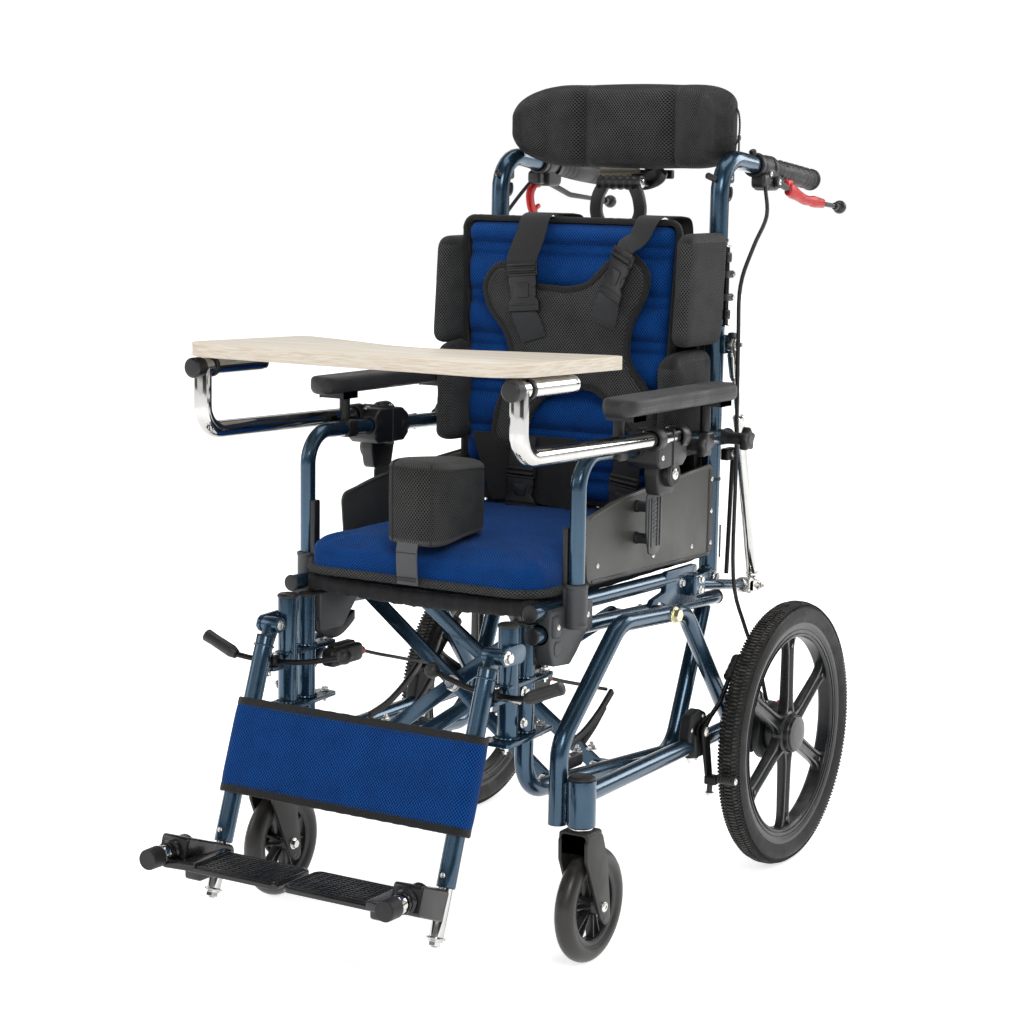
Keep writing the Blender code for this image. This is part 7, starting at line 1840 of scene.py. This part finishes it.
def strap(path, width, ref=X, thickness=.0016, step=.006):
    """A flat webbing strap along a path."""
    return swept(even(path, step), rectangle(width, thickness, thickness * .42, 2), ref, edge=.0004)


def buckle(width=.05, length=.072):
    """A side release buckle lying flat: a ladder frame above, the socket with its two open sides, and the
    loop bar below. Up is the strap's direction."""
    w, h = width / 2, length / 2
    frame = box(-w, w, h * .45, h, .003, 4, True)
    side = flowing([(w * .9, h * .48), (w * .92, h * .1), (w * .7, -h * .06), (w * .68, -h * .24),
        (w * .86, -h * .46), (w * 1.02, -h * .6)], 5)
    outline = np.concatenate([side, [(w * 1.02, -h), (-w * 1.02, -h)], side[::-1] * (-1, 1)])
    tongue = fillet([(-w * .46, h * .2), (w * .46, h * .2), (w * .4, -h * .42), (-w * .4, -h * .42)], .003,
        4, True)
    prongs = [block((a, b), (-h * .4, h * .06), (.0015, .0068), .0014)
        for a, b in ((w * .55, w * .86), (-w * .55, -w * .86))]
    rails = [bar([(-w + .0015, y, z), (w - .0015, y, z)], r, 12, Z, edge=.001)
        for y, z, r in ((h * .94, .0058, .003), (h * .72, .0078, .0026), (h * .52, .0058, .0028),
        (-h * .92, .0052, .0032), (-h * .7, .0062, .0024))]
    return joined(prism(frame, "Z", .0006, .0056, .0012), prism(outline, "Z", 0.0, .0076, .0016),
        prism(tongue, "Z", .006, .009, .001), *prongs, *rails)


# Seat


def seat_cushion():
    """A boxed cushion, flat below and domed above: the height of each point is raised by a crown that falls
    off with the square of the distance from the middle line on each axis."""
    levels = [spaced((-.194, .194), .0062), spaced((-.612, -.133), .0066), spaced((.496, .545), .008)]
    made = quilt(levels, (.046, .056, 0.0), (.046, .03, 0.0))
    round_top = quilt(levels, (.026, .034, 0.0), (.026, .014, .03))
    points = made.points.copy()
    points[:, 2] = round_top.points[:, 2]
    rise = (points[:, 2] - .496) / .049
    crown = (1 - (points[:, 0] / .194) ** 2) * (1 - ((points[:, 1] + .33) / .3) ** 2)
    points[:, 2] += rise * (.01 * np.clip(crown, 0, 1) ** .7 - .0045)
    points[:, :2] += (round_top.points[:, :2] - made.points[:, :2]) * rise[:, None] ** 1.6
    dip = np.exp(-((points[:, 0] / .055) ** 2 + ((points[:, 1] + .545) / .085) ** 2))
    points[:, 2] -= .005 * rise * dip
    points = puffed(points, made.corners, on_face(made, 2, 0), 3.0, .0045)
    cushion = piece("seat_cushion_look", skin(made, points), BLUE_MESH, "seat", ["seat_cushion"])
    soften(cushion)
    rim = hem_path(.1945, -.6125, -.1325, .05, .4985)
    gather = 1 + .07 * np.sin(np.arange(len(rim)) * 1.9) * np.sin(np.arange(len(rim)) * .61)
    outline = rectangle(.0115, .013, .005, 3)
    hem = piece("seat_hem", swept(rim, outline, Z, gather, closed=True), BLACK_MESH, "seat")
    rows = []
    for out, z in ((.004, .5048), (.0066, .4985)):
        row = hem_path(.1945 + out, -.6125 - out, -.1325 + out, .05, z)
        rows.append(stitches(np.concatenate([row, row[:1]]), Z))
    piece("seat_hem_thread", joined(*rows), THREAD, "seat")


def hem_path(half, front, back, radius, z, step=.005):
    """The cushion's plan outline with round corners, as an evenly spaced loop at one height."""
    plan = box(-half, half, front, back, radius, 10, True)
    loop = even(np.concatenate([plan, plan[:1]]), step)[:-1]
    return np.column_stack([loop, np.full(len(loop), z)])


def pommel():
    """A drum with a round front, a little narrower behind. Its foot follows the front of the cushion down,
    its wall swells by a sine of the height, and both rims are gathered bands."""
    levels = [spaced((-.0515, .0515), .0055), spaced((-.624, -.479), .006),
        spaced((.553, .564, .656, .668), .0062)]
    made = quilt(levels, (.036, .04, .004), (.036, .02, .009))
    points = made.points.copy()
    run = (points[:, 1] + .624) / .145
    rise = (points[:, 2] - .553) / .115
    points[:, 0] *= np.interp(run, [0, 1], [1.0, .72]) * (1 + .02 * np.sin(math.pi * rise))
    points[:, 2] += rise * (.0015 * (1 - (points[:, 0] / .052) ** 2) - .013 * run)
    points[:, 2] -= .007 * (1 - rise) * np.clip(1 - run * 1.6, 0, 1)
    seams = on_level(made, levels, 2, (.564, .656)) & ~(on_face(made, 2, 0) | on_face(made, 2, 1))
    points = puffed(points, made.corners, on_face(made, 2, 0) | seams, 2.5, .0035)
    height = made.lattice[:, 2][made.corners]
    low, high = [int(np.flatnonzero(np.isclose(levels[2], z))[0]) for z in (.564, .656)]
    chosen = (height.max(1) <= low) | (height.min(1) >= high)
    wall, rims = bands(made, points, chosen)
    drum = piece("pommel_look", [(BLACK_MESH, wall), (GATHERED, rims)], None, "seat", ["pommel"])
    soften(drum)
    lines = []
    for x in (-.028, .033):
        near = np.flatnonzero(on_face(made, 1, 0) & np.isclose(made.lattice[:, 0],
            np.abs(levels[0] - x).argmin()))
        line = points[near][np.argsort(points[near][:, 2])]
        lines.append(bar(line + (0, -.0004, 0), .0009, 6))
    rim = np.flatnonzero(seams & (made.lattice[:, 2] == high))
    around = points[rim][np.argsort(np.arctan2(points[rim][:, 1] + .545, points[rim][:, 0]))]
    lines.append(bar(around, .0008, 6, Z, closed=True))
    piece("pommel_seams", joined(*lines), THREAD, "seat")
    tab = flowing([(-.002, -.62, .556), (-.002, -.6255, .545), (-.002, -.625, .52), (-.002, -.6225, .496)],
        8)
    tab_piece = piece("pommel_strap", strap(tab, .034, X, .0022), WEBBING_GREY, "seat")
    frame = joined(*[bar([(-.0185, -.6268, z), (.0145, -.6268, z)], .0007, 6, Z)
        for z in (.502, .506, .54)])
    piece("pommel_strap_thread", frame, THREAD, "seat")


def seat_sling():
    """Cloth slung between the seat tubes, with a soft roll in front: it sags by a share of the sine
    across."""
    x = np.linspace(-.183, .183, 49)
    y = np.linspace(-.6, -.133, 40)
    sag = np.sin(np.linspace(0, math.pi, 49)) ** .8

    def sheet(level, depth):
        grid_x, grid_y = np.meshgrid(x, y)
        ripple = .0007 * np.sin(grid_x * 95 + grid_y * 40) * np.sin(grid_y * 70)
        return np.stack([grid_x, grid_y, level - depth * sag[None, :] + ripple], 2)

    top, under = sheet(.488, .003), sheet(.48, .009)
    ring = np.concatenate([top, under[::-1]])
    caps = [np.concatenate([top[:, k], under[::-1, k]]) for k in (0, -1)]
    cloth = joined(grid(ring, along=True), *[lid(edge, edge[:, 1:]) for edge in caps])
    sling = piece("seat_sling_look", cloth, SLING_CLOTH, "seat", ["seat_sling"])
    roll = even(np.stack([x, np.full(49, -.596), .48 - .007 * sag], 1), .004)
    a = np.arange(20) * math.tau / 20
    wave = 1 + .05 * np.sin(np.arange(len(roll)) * .9) + .04 * np.sin(np.arange(len(roll)) * 2.3 + 1)
    tube = piece("sling_roll", swept(roll, np.stack([.0108 * np.cos(a), .012 * np.sin(a)], 1), Y, wave,
        edge=.004), SLING_CLOTH, "seat")
    ends = joined(*[block((x - .008, x + .008), (-.605, -.586), (.466, .49), .003) for x in (.176, -.176)])
    piece("sling_ends", ends, SLING_CLOTH, "seat")


# Back cushion, harness, side pads and headrest

CHANNELS = (.936, .865, .799, .726, .659, .602)
CHANNEL_HALF = .0085


def pressed_in(x, z):
    """How far the left side pads press the cushion's edge in: more from its top down to the lower pad."""
    return .015 * np.clip((.985 - z) / .24, 0, 1) * np.clip(x / .1815, 0, 1.01) ** 3


def drawn_in(points):
    """The cushion's sides and top lean in towards its back, by a share of the depth behind the front."""
    deep = np.clip((points[:, 1] + .2) / .068, 0, 1)
    high = np.clip((points[:, 2] - .777) / .2045, 0, 1)
    return points * np.column_stack([1 - .17 * deep, np.ones(len(points)), 1 - .026 * deep * high])


def back_cushion():
    """The front is sewn in pairs of lines across it. Between two lines the cloth stands out in an arch:
    height times (1 - (distance from the middle / half width) squared), to the power 0.45."""
    lines = np.sort([z + side * CHANNEL_HALF for z in CHANNELS for side in (-1, 1)])
    stops_z = np.array([.563, *lines, .98])
    levels = [spaced((-.1815, .1815), .0056), spaced((-.2025, -.128), .0095), spaced(stops_z, .0062)]
    made = quilt(levels, (.018, .026, .012), (.018, .008, .02))
    points = made.points.copy()
    z = points[:, 2]
    cell = np.clip(np.searchsorted(stops_z, z, side="right") - 1, 0, len(stops_z) - 2)
    middle, half = (stops_z[cell] + stops_z[cell + 1]) / 2, (stops_z[cell + 1] - stops_z[cell]) / 2
    arch = np.clip(1 - ((z - middle) / half) ** 2, 0, 1) ** .45
    height = np.clip(half * .8, .0064, .0148)
    forward = np.clip((-.15 - points[:, 1]) / .058, 0, 1)
    edge = np.clip((.1815 - np.abs(points[:, 0])) / .022, 0, 1) ** .5
    pucker = .0006 * np.sin(points[:, 0] * 480 + 5 * np.sin(z * 60)) * (1 - arch) * forward
    points[:, 1] -= height * arch * forward * edge + pucker
    points[:, 1] -= .003 * forward * (1 - (points[:, 0] / .182) ** 2)
    points[:, 0] -= pressed_in(points[:, 0], points[:, 2])
    points = drawn_in(points)
    front = on_face(made, 1, 0)
    held = (front & on_level(made, levels, 2, lines)) | on_face(made, 1, 1)
    points = puffed(points, made.corners, held, 4.0, .0045)
    cushion = piece("back_cushion_look", skin(made, points), BLUE_MESH, "back", ["back_cushion"])
    soften(cushion)
    rows = []
    for line in lines:
        on = front & on_level(made, levels, 2, [line])
        path = points[on][np.argsort(points[on][:, 0])]
        rows.append(stitches(path[3:-3] + (0, -.0004, 0), -Y))
        # Painted shade: a dark blue cord along each sewn line, where shade falls in the groove between two
        # arches.
        rows.append(bar(path[2:-2] + (0, .0002, 0), .0011, 6, Z))
    piece("back_stitching_and_groove_shade", joined(*rows), BLUE_THREAD_AND_GROOVE_SHADE, "back")
    outline = box(-.183, .183, .5615, .9815, .016, 8, True)
    loop = even(np.concatenate([outline, outline[:1]]), .004)[:-1]
    gather = 1 + .06 * np.sin(np.arange(len(loop)) * 1.8) * np.sin(np.arange(len(loop)) * .43)
    loop[:, 0] -= pressed_in(loop[:, 0], loop[:, 1])
    front_rim = np.column_stack([loop[:, 0], np.full(len(loop), -.201), loop[:, 1]])
    back_rim = drawn_in(np.column_stack([loop[:, 0] * .995, np.full(len(loop), -.133), loop[:, 1]]))
    cords = joined(swept(front_rim, rectangle(.01, .009, .0038, 3), Y, gather, closed=True),
        swept(back_rim, rectangle(.009, .006, .0026, 3), Y, gather, closed=True))
    binding = piece("back_binding", cords, BINDING, "back")
    # Black side and top walls, as a band between the two bindings
    wall_rows = []
    for y, out in ((-.199, 0.0), (-.18, .0026), (-.16, .003), (-.135, 0.0)):
        grow = 1 + out / .18
        row = np.column_stack([loop[:, 0] * grow, np.full(len(loop), y),
            (loop[:, 1] - .777) * (1 + out / .2) + .777])
        wall_rows.append(drawn_in(row))
    wall = grid(np.stack([*wall_rows, wall_rows[2] * (.985, 1, 1) , wall_rows[1] * (.985, 1, 1)]),
        across=True, along=True)
    border = piece("back_border", wall, BLACK_MESH, "back")


def bolsters():
    """The lower side pads: soft blocks with round upper corners, sewn to the cushion's edge."""
    levels = [spaced((.172, .2075), .0055), spaced((-.256, -.129), .006), spaced((.644, .797), .006)]
    made = quilt(levels, (.014, .02, .016), (.014, .02, .022))
    points = made.points.copy()
    points[:, 2] -= .01 * np.clip((-.19 - points[:, 1]) / .066, 0, 1) ** 2 * np.clip(
        (points[:, 2] - .644) / .142, 0, 1)
    held = on_face(made, 1, 1)
    points = puffed(points, made.corners, held, 3.0, .003)
    high = made.lattice[:, 2][made.corners]
    wall, rim = bands(made, points, high.min(1) >= made.counts[2] - 2)
    pads = pair("bolster", [(BLACK_MESH, wall), (BINDING, rim)], None, "back")
    soften(pads)


def lateral_pads():
    """The upper side pads: flat soft pads that stand beside the sitter, swelling along the middle."""
    levels = [spaced((.189, .219), .005), spaced((-.241, -.12), .006), spaced((.799, .961), .006)]
    made = quilt(levels, (.012, .022, .02), (.01, .012, .02))
    points = made.points.copy()
    inside = np.clip((.204 - points[:, 0]) / .015, 0, 1)
    run = np.clip((points[:, 1] + .241) / .121, 0, 1)
    points[:, 0] -= .0034 * inside * np.sin(math.pi * run)
    points[:, 1] += (points[:, 2] - .88) * .08
    points = puffed(points, made.corners, on_face(made, 0, 1), 3.0, .003)
    high = made.lattice[:, 2][made.corners]
    wall, rim = bands(made, points, high.min(1) >= made.counts[2] - 2)
    for word, side, shift in (("left", 1, .006), ("right", -1, -.008)):
        moved = [(look, Shape(s.points * (side, 1, 1) + (0, 0, shift), *s[1:]))
            for look, s in ((BLACK_MESH, wall), (BINDING, rim))]
        soften(piece("lateral_pad_look_" + word, moved, None, "lateral_" + word))


VEST = ((0.0, .08), (.024, .081), (.044, .087), (.062, .1), (.082, .116), (.104, .124), (.124, .116),
    (.137, .094), (.13, .062), (.108, .028), (.097, -.008), (.102, -.04), (.12, -.07), (.134, -.1),
    (.14, -.13), (.122, -.146), (.096, -.136), (.074, -.1), (.046, -.072), (.022, -.064), (0.0, -.062))
VEST_MIDDLE = (.016, .8)
VEST_TURN = .1


def vest_outline():
    half = np.array(VEST)
    whole = np.concatenate([half, (half * (-1, 1))[::-1][1:-1]])
    closed = np.concatenate([whole[-2:], whole, whole[:2]])
    smooth = flowing(closed, 8)[16:-24]
    c, s = math.cos(VEST_TURN), math.sin(VEST_TURN)
    return smooth @ np.array(((c, s), (-s, c))) + VEST_MIDDLE


def vest_front(x, z):
    """How far forward the vest lies: it follows the cushion's round middle and lifts a little at the
    lobes."""
    return -.2258 - .0035 * (1 - np.clip(np.abs(x) / .15, 0, 1) ** 2) - .002 * np.sin(z * 90) * .4


def harness_vest():
    """A padded mesh vest: cells inside the outline, the border points drawn onto it, and a front that
    stands out by the root of the distance from the border."""
    outline = vest_outline()
    cell = .0042
    low, high = outline.min(0) - cell, outline.max(0) + cell
    nx, nz = np.ceil((high - low) / cell).astype(int) + 1
    gx, gz = np.meshgrid(low[0] + cell * np.arange(nx), low[1] + cell * np.arange(nz), indexing="ij")
    points = np.stack([gx.ravel(), gz.ravel()], 1)
    centres = np.stack([gx[:-1, :-1] + cell / 2, gz[:-1, :-1] + cell / 2], -1).reshape(-1, 2)
    ends = np.roll(outline, -1, 0)
    rises = (outline[None, :, 1] > centres[:, None, 1]) != (ends[None, :, 1] > centres[:, None, 1])
    crossing = (ends - outline)[None, :, 0] * (centres[:, None, 1] - outline[None, :, 1]) / np.where(
        ends[:, 1] == outline[:, 1], 1e-9, ends[:, 1] - outline[:, 1])[None] + outline[None, :, 0]
    inside = ((rises & (centres[:, None, 0] < crossing)).sum(1) % 2) == 1
    index = np.arange(nx * nz).reshape(nx, nz)
    quads = np.stack([index[:-1, :-1], index[1:, :-1], index[1:, 1:], index[:-1, 1:]],
        -1).reshape(-1, 4)[inside]
    used, number = np.unique(quads, return_inverse=True)
    quads = number.reshape(-1, 4)
    points = points[used]
    share = np.bincount(quads.ravel(), minlength=len(used))
    border = share < 4
    dense = even(np.concatenate([outline, outline[:1]]), .001)
    gaps = np.linalg.norm(points[:, None] - dense[None], axis=2)
    nearest = gaps.argmin(1)
    points[border] = dense[nearest[border]]
    depth = np.where(border, 0, gaps.min(1))
    rise = np.sqrt(np.clip(1 - (1 - np.clip(depth / .016, 0, 1)) ** 2, 0, 1))
    quilted = .0012 * np.cos(points[:, 1] * 60)
    base = vest_front(points[:, 0], points[:, 1])
    front = np.column_stack([points[:, 0], base - .007 * rise - quilted * rise, points[:, 1]])
    back = np.column_stack([points[:, 0], base + .0025 * rise, points[:, 1]])
    both = np.concatenate([front, back])
    corners = np.concatenate([quads, quads[:, ::-1] + len(points)])
    flat = np.concatenate([points, points])[corners].reshape(-1, 2)
    whole = Shape(both, corners.reshape(-1), np.full(len(corners), 4), flat)
    vest = piece("harness_vest", whole, BLACK_MESH, "back", ["harness"])
    soften(vest)
    rim = even(np.concatenate([outline, outline[:1]]), .0026)[:-1]
    rim3 = np.column_stack([rim[:, 0], vest_front(rim[:, 0], rim[:, 1]) - .0012, rim[:, 1]])
    n = np.arange(len(rim))
    gather = 1 + .1 * np.sin(n * 1.9) * np.cos(n * .53) + .05 * np.sin(n * .31)
    binding = piece("vest_binding", swept(rim3, rectangle(.0068, .0105, .003, 3), Y, gather, closed=True),
        BINDING, "back")
    inner = VEST_MIDDLE + (rim - VEST_MIDDLE) * .935
    inner3 = np.column_stack([inner[:, 0], vest_front(inner[:, 0], inner[:, 1]) - .0062, inner[:, 1]])
    piece("vest_stitching", stitches(inner3, -Y), THREAD, "back")


def harness_straps():
    """Shoulder and hip straps with their buckles, the tails sewn to the vest and the ends that go round the
    cushion."""
    out = np.array((0.0, -1.0, 0.0))
    for name, top_x, top_z, buckle_place, turn, tail_turn, lean, width in (
            ("left", .142, .99, (.104, .906), .45, .36, .34, .038),
            ("right", -.047, .99, (-.0555, .8815), -.05, -.3, -.08, .05)):
        bx, bz = buckle_place
        slant = math.atan2(top_x - bx, top_z - bz)
        up = np.array((math.sin(lean), 0, math.cos(lean)))
        face = unit(np.array((-math.sin(turn), -math.cos(turn), 0)))
        across = unit(np.cross(face, up) * -1)
        face = np.cross(across, up)
        if face[1] > 0:
            across, face = -across, -face
        front = vest_front(bx, bz) - .0105
        centre = np.array((bx, front, bz))
        whole = placed(buckle(), centre, across, up, face)
        piece(f"shoulder_buckle_{name}", whole, BLACK, "back")
        upper = centre + up * .03 + face * .004
        path = flowing([upper - up * .004, upper + up * .012, (top_x - slant * .022, -.2345, top_z - .03),
            (top_x - slant * .004, -.224, top_z - .006), (top_x, -.206, top_z + .0005),
            (top_x, -.19, top_z - .0005), (top_x, -.15, top_z - .001), (top_x, -.123, top_z - .008),
            (top_x, -.116, top_z - .04)], 10)
        path = even(path, .005)
        t = np.clip(np.linspace(0, 2.2, len(path)), 0, 1)[:, None]
        refs = across * (1 - t) + X * t
        web = swept(path, rectangle(width, .0016, .0007, 2), refs, edge=.0004)
        made = piece(f"shoulder_strap_{name}", web, WEBBING_BLACK, "back")
        low = centre - up * .033 + face * .003
        down = np.array((-math.sin(tail_turn), 0, -math.cos(tail_turn)))
        end = low + down * .046
        end[1] = vest_front(end[0], end[2]) - .0085
        tail = even(flowing([low + up * .004, low - up * .008 + face * .001, (low + end) / 2 + out * .0015,
            end], 8), .004)
        side = unit(np.cross(down, out))
        t = np.clip(np.linspace(0, 2.0, len(tail)), 0, 1)[:, None]
        refs = (across if across @ side > 0 else -across) * (1 - t) + side * t
        made = piece(f"shoulder_tail_{name}", swept(tail, rectangle(.043, .003, .0012, 2), refs,
            edge=.0006), WEBBING_DARK, "back")
        a, b, c, d = [end - down * drop + side * aside + out * .0024
            for drop, aside in ((.004, .018), (.004, -.018), (.034, -.018), (.034, .018))]
        rows = [stitches(np.array(ends), out) for ends in ((a, b), (b, c), (c, d), (d, a), (a, c), (b, d))]
        piece(f"tail_thread_{name}", joined(*rows), THREAD, "back")
    # Flap: black cloth that hangs from the vest in front of the cushion, in soft folds that deepen
    # downwards. It also stands in, as painted shade, for the deep shadow that the tray casts there.
    across, down = np.meshgrid(np.linspace(0, 1, 60), np.linspace(0, 1, 40), indexing="ij")
    width = np.stack([-.15 + .038 * down, .035 - .005 * down])
    flap_x = width[0] + (width[1] - width[0]) * across
    folds = np.sin(flap_x * 78 + 1.5 * down) * .0016 + np.sin(flap_x * 151 + .7) * .0007
    flap_y = -.2315 - .001 * down + folds * (.25 + .75 * down)
    flap_z = .66 - .102 * down + .003 * np.sin(across * 5) * down
    front = np.stack([flap_x, flap_y - .0008, flap_z], 2)
    ring = np.concatenate([front, (front + (0, .0016, 0))[:, ::-1]], 1)
    flap = joined(grid(ring, across=True), lid(ring[0], ring[0][:, 1:]), lid(ring[-1], ring[-1][:, 1:]))
    piece("vest_flap_and_painted_shade", flap, BLACK_CLOTH, "back")
    for name, x0, z0, x1, z1, long in (("left", .129, .663, .118, .58, .07),
            ("right", -.0545, .648, -.056, .579, .06)):
        lean = unit(np.array((x0 - x1, 0, z0 - z1)))
        across = unit(np.cross(lean, out))
        centre = np.array((x1, -.236, z1 + .003))
        piece(f"hip_buckle_{name}", placed(buckle(.05, .06), centre, across, lean, out), BLACK, "back")
        path = flowing([(x0, -.235, z0 + .01), (x0, -.239, z0), centre + lean * .026 + out * .004], 8)
        made = piece(f"hip_strap_{name}", strap(path, .044, across, step=.004), WEBBING_BLACK, "back")
    near = [(.116, -.235, .56), (.115, -.23, .572), (.15, -.206, .57), (.182, -.17, .574)]
    far = [(-.056, -.237, .56), (-.078, -.233, .57), (-.14, -.208, .57), (-.182, -.17, .574)]
    for name, long, points in (("left", .13, near), ("right", .16, far)):
        belt = strap(flowing(points, 10), .03, Z, .002, .005)
        made = piece(f"hip_belt_{name}", belt, WEBBING_BLACK, "back")


def pillow():
    """Centre path of the headrest bent forward at its wings; a point lies at path(s) + normal(s) * depth,
    and its height shrinks to a half circle at each end."""
    levels = [spaced((-.19, -.074, .074, .19), .0062), spaced((-.5, .5), .125), spaced((-.06, .06), .0066)]
    made = quilt(levels, (.03, .42, .018), (.03, .42, .018))
    s, depth, up = made.points.T
    path = even(flowing([(-.183, -.08), (-.162, -.052), (-.128, -.028), (-.08, -.018), (0, -.015),
        (.08, -.018), (.128, -.028), (.162, -.052), (.183, -.08)], 12), .002)
    run = np.concatenate([[0], np.cumsum(np.linalg.norm(np.diff(path, axis=0), axis=1))])
    place_at = (s / .19 * .5 + .5) * run[-1]
    ahead = unit(np.gradient(path, axis=0))
    cx, cy = np.interp(place_at, run, path[:, 0]), np.interp(place_at, run, path[:, 1])
    nx, ny = -np.interp(place_at, run, ahead[:, 1]), np.interp(place_at, run, ahead[:, 0])
    thick = np.interp(np.abs(s), [0, .074, .11, .15, .178, .19], [.07, .066, .066, .056, .04, .03])
    groove = .015 * np.exp(-(((np.abs(s) - .074) / .007) ** 2)) * (depth < 0) + .003 * np.exp(
        -(((np.abs(s) - .136 - 1.2 * up**2 * 3) / .005) ** 2)) * (depth < 0)
    bulge = .006 * np.clip(1 - ((np.abs(s) - .108) / .034) ** 2, 0, 1) * (depth < 0)
    tall = np.sqrt(np.clip(1 - (np.clip(np.abs(s) - .1, 0, None) / .0945) ** 2, .05, 1))
    offset = depth * thick + groove - bulge
    points = np.column_stack([.006 + cx + nx * offset, cy + ny * offset, 1.1215 + up * tall * 1.045])
    seam = np.isclose(np.abs(levels[0][made.lattice[:, 0]]), .074, atol=1e-6) & on_face(made, 1, 0)
    points = puffed(points, made.corners, seam | on_face(made, 1, 1), 3.5, .0035)
    made_piece = piece("pillow_look", skin(made, points), BLACK_MESH, "pillow", ["headrest_pillow"])
    soften(made_piece)
    rows = []
    for side in (-1, 1):
        on = np.isclose(levels[0][made.lattice[:, 0]], side * .074, atol=1e-6) & on_face(made, 1, 0)
        line = points[on][np.argsort(points[on][:, 2])]
        rows.append(bar(even(line, .004) + (0, -.0003, 0), .0008, 6))
        rows.append(stitches(line + (side * .003, -.0012, 0), -Y))
    piece("pillow_seams", joined(*rows), THREAD, "pillow")
    zip_line = even(flowing([(.184, -.05, 1.085), (.1985, -.056, 1.1), (.202, -.057, 1.121),
        (.1985, -.056, 1.143), (.184, -.05, 1.158)], 10), .002)
    teeth = 1 + .35 * (np.arange(len(zip_line)) % 2)
    parts = joined(bar(zip_line, .0013, 8, X, size=teeth), block((.1995, .2035), (-.06, -.054),
        (1.101, 1.109), .0012), block((.2005, .2025), (-.059, -.055), (1.083, 1.101), .0008))
    piece("pillow_zip", parts, BLACK, "pillow")
    lugs = joined(*[block((side * .0095, side * .0175), (.028, .06), (1.09, 1.11), .003)
        for side in (-1, 1)], block((-.06, .06), (.018, .029), (1.078, 1.122), .004))
    piece("pillow_lugs", lugs, BLACK, "pillow")


def calf_strap():
    """A padded mesh band stretched round both hangers: a long loop in the plane across the leg, carried
    down it."""
    square = down_leg(0, 1) - down_leg(0)
    half, near = INNER_X, .0163
    angle = np.linspace(math.pi / 2, -math.pi / 2, 15)
    x_front = np.linspace(-half, half, 62)
    sag = .0035 * np.sin(np.linspace(0, math.pi, 62)) ** 2
    front = np.stack([x_front, near - sag], 1)
    right = np.stack([half + near * np.cos(angle), near * np.sin(angle)], 1)[1:]
    back = np.array([(half - .03, -near), (half - .06, -near + .0005)])
    back = even(np.concatenate([right[-1:], back]), .006)[1:]
    run = np.concatenate([(back * (-1, 1))[::-1], (right * (-1, 1))[::-1], front, right, back])
    top, bottom = .0935, .2133
    v = np.linspace(top, bottom, 26)
    edge = np.minimum(v - top, bottom - v)
    puff = .0018 * np.sqrt(np.clip(edge / .02, 0, 1))

    def across_leg(place, plan, ahead=0.0):
        return np.column_stack([plan[:, 0], down_leg(place) + square * (plan[:, 1:] + ahead)])

    way = unit(np.gradient(run, axis=0))
    normal = np.stack([-way[:, 1], way[:, 0]], 1)

    def side(offset):
        return np.array([across_leg(p, run + normal * (offset + np.sign(offset) * q))
            for p, q in zip(v, puff)])

    outer, inner = side(.0016), side(-.001)
    ring = np.concatenate([outer, inner[::-1]])
    ends = [np.concatenate([outer[:, k], inner[::-1, k]]) for k in (0, -1)]
    shape = joined(grid(ring, along=True), *[lid(e, e[:, ::2]) for e in ends])
    band = piece("calf_strap_look", shape, BLUE_MESH, "leg_rest_left", ["calf_strap"])
    soften(band)
    bindings = []
    for place in (top + .001, bottom - .001):
        path = even(across_leg(place, run), .005)
        n = np.arange(len(path))
        bindings.append(swept(path, rectangle(.012, .0056, .0024, 3), np.array((0, *unit(HANGER_SLOPE))),
            1 + .05 * np.sin(n * 1.4), edge=.001))
    trim = piece("calf_binding", joined(*bindings), BINDING, "leg_rest_left")
    rows = [stitches(across_leg(place, front[2:-2], .003), (0, *square))
        for place in (top + .009, bottom - .009)]
    piece("calf_stitching", joined(*rows), THREAD, "leg_rest_left")


brake_cables()
seat_frames()
braces()
side_panels()
arm_rests()
arm_clamps()
tray()
leg_rests()
foot_rests()
footplates()
leg_levers()
back_frames()
brake_levers()
recline_struts()
headrest_bracket()
back_board()
lateral_hinges()
seat_cushion()
pommel()
seat_sling()
back_cushion()
bolsters()
lateral_pads()
harness_vest()
harness_straps()
pillow()
calf_strap()
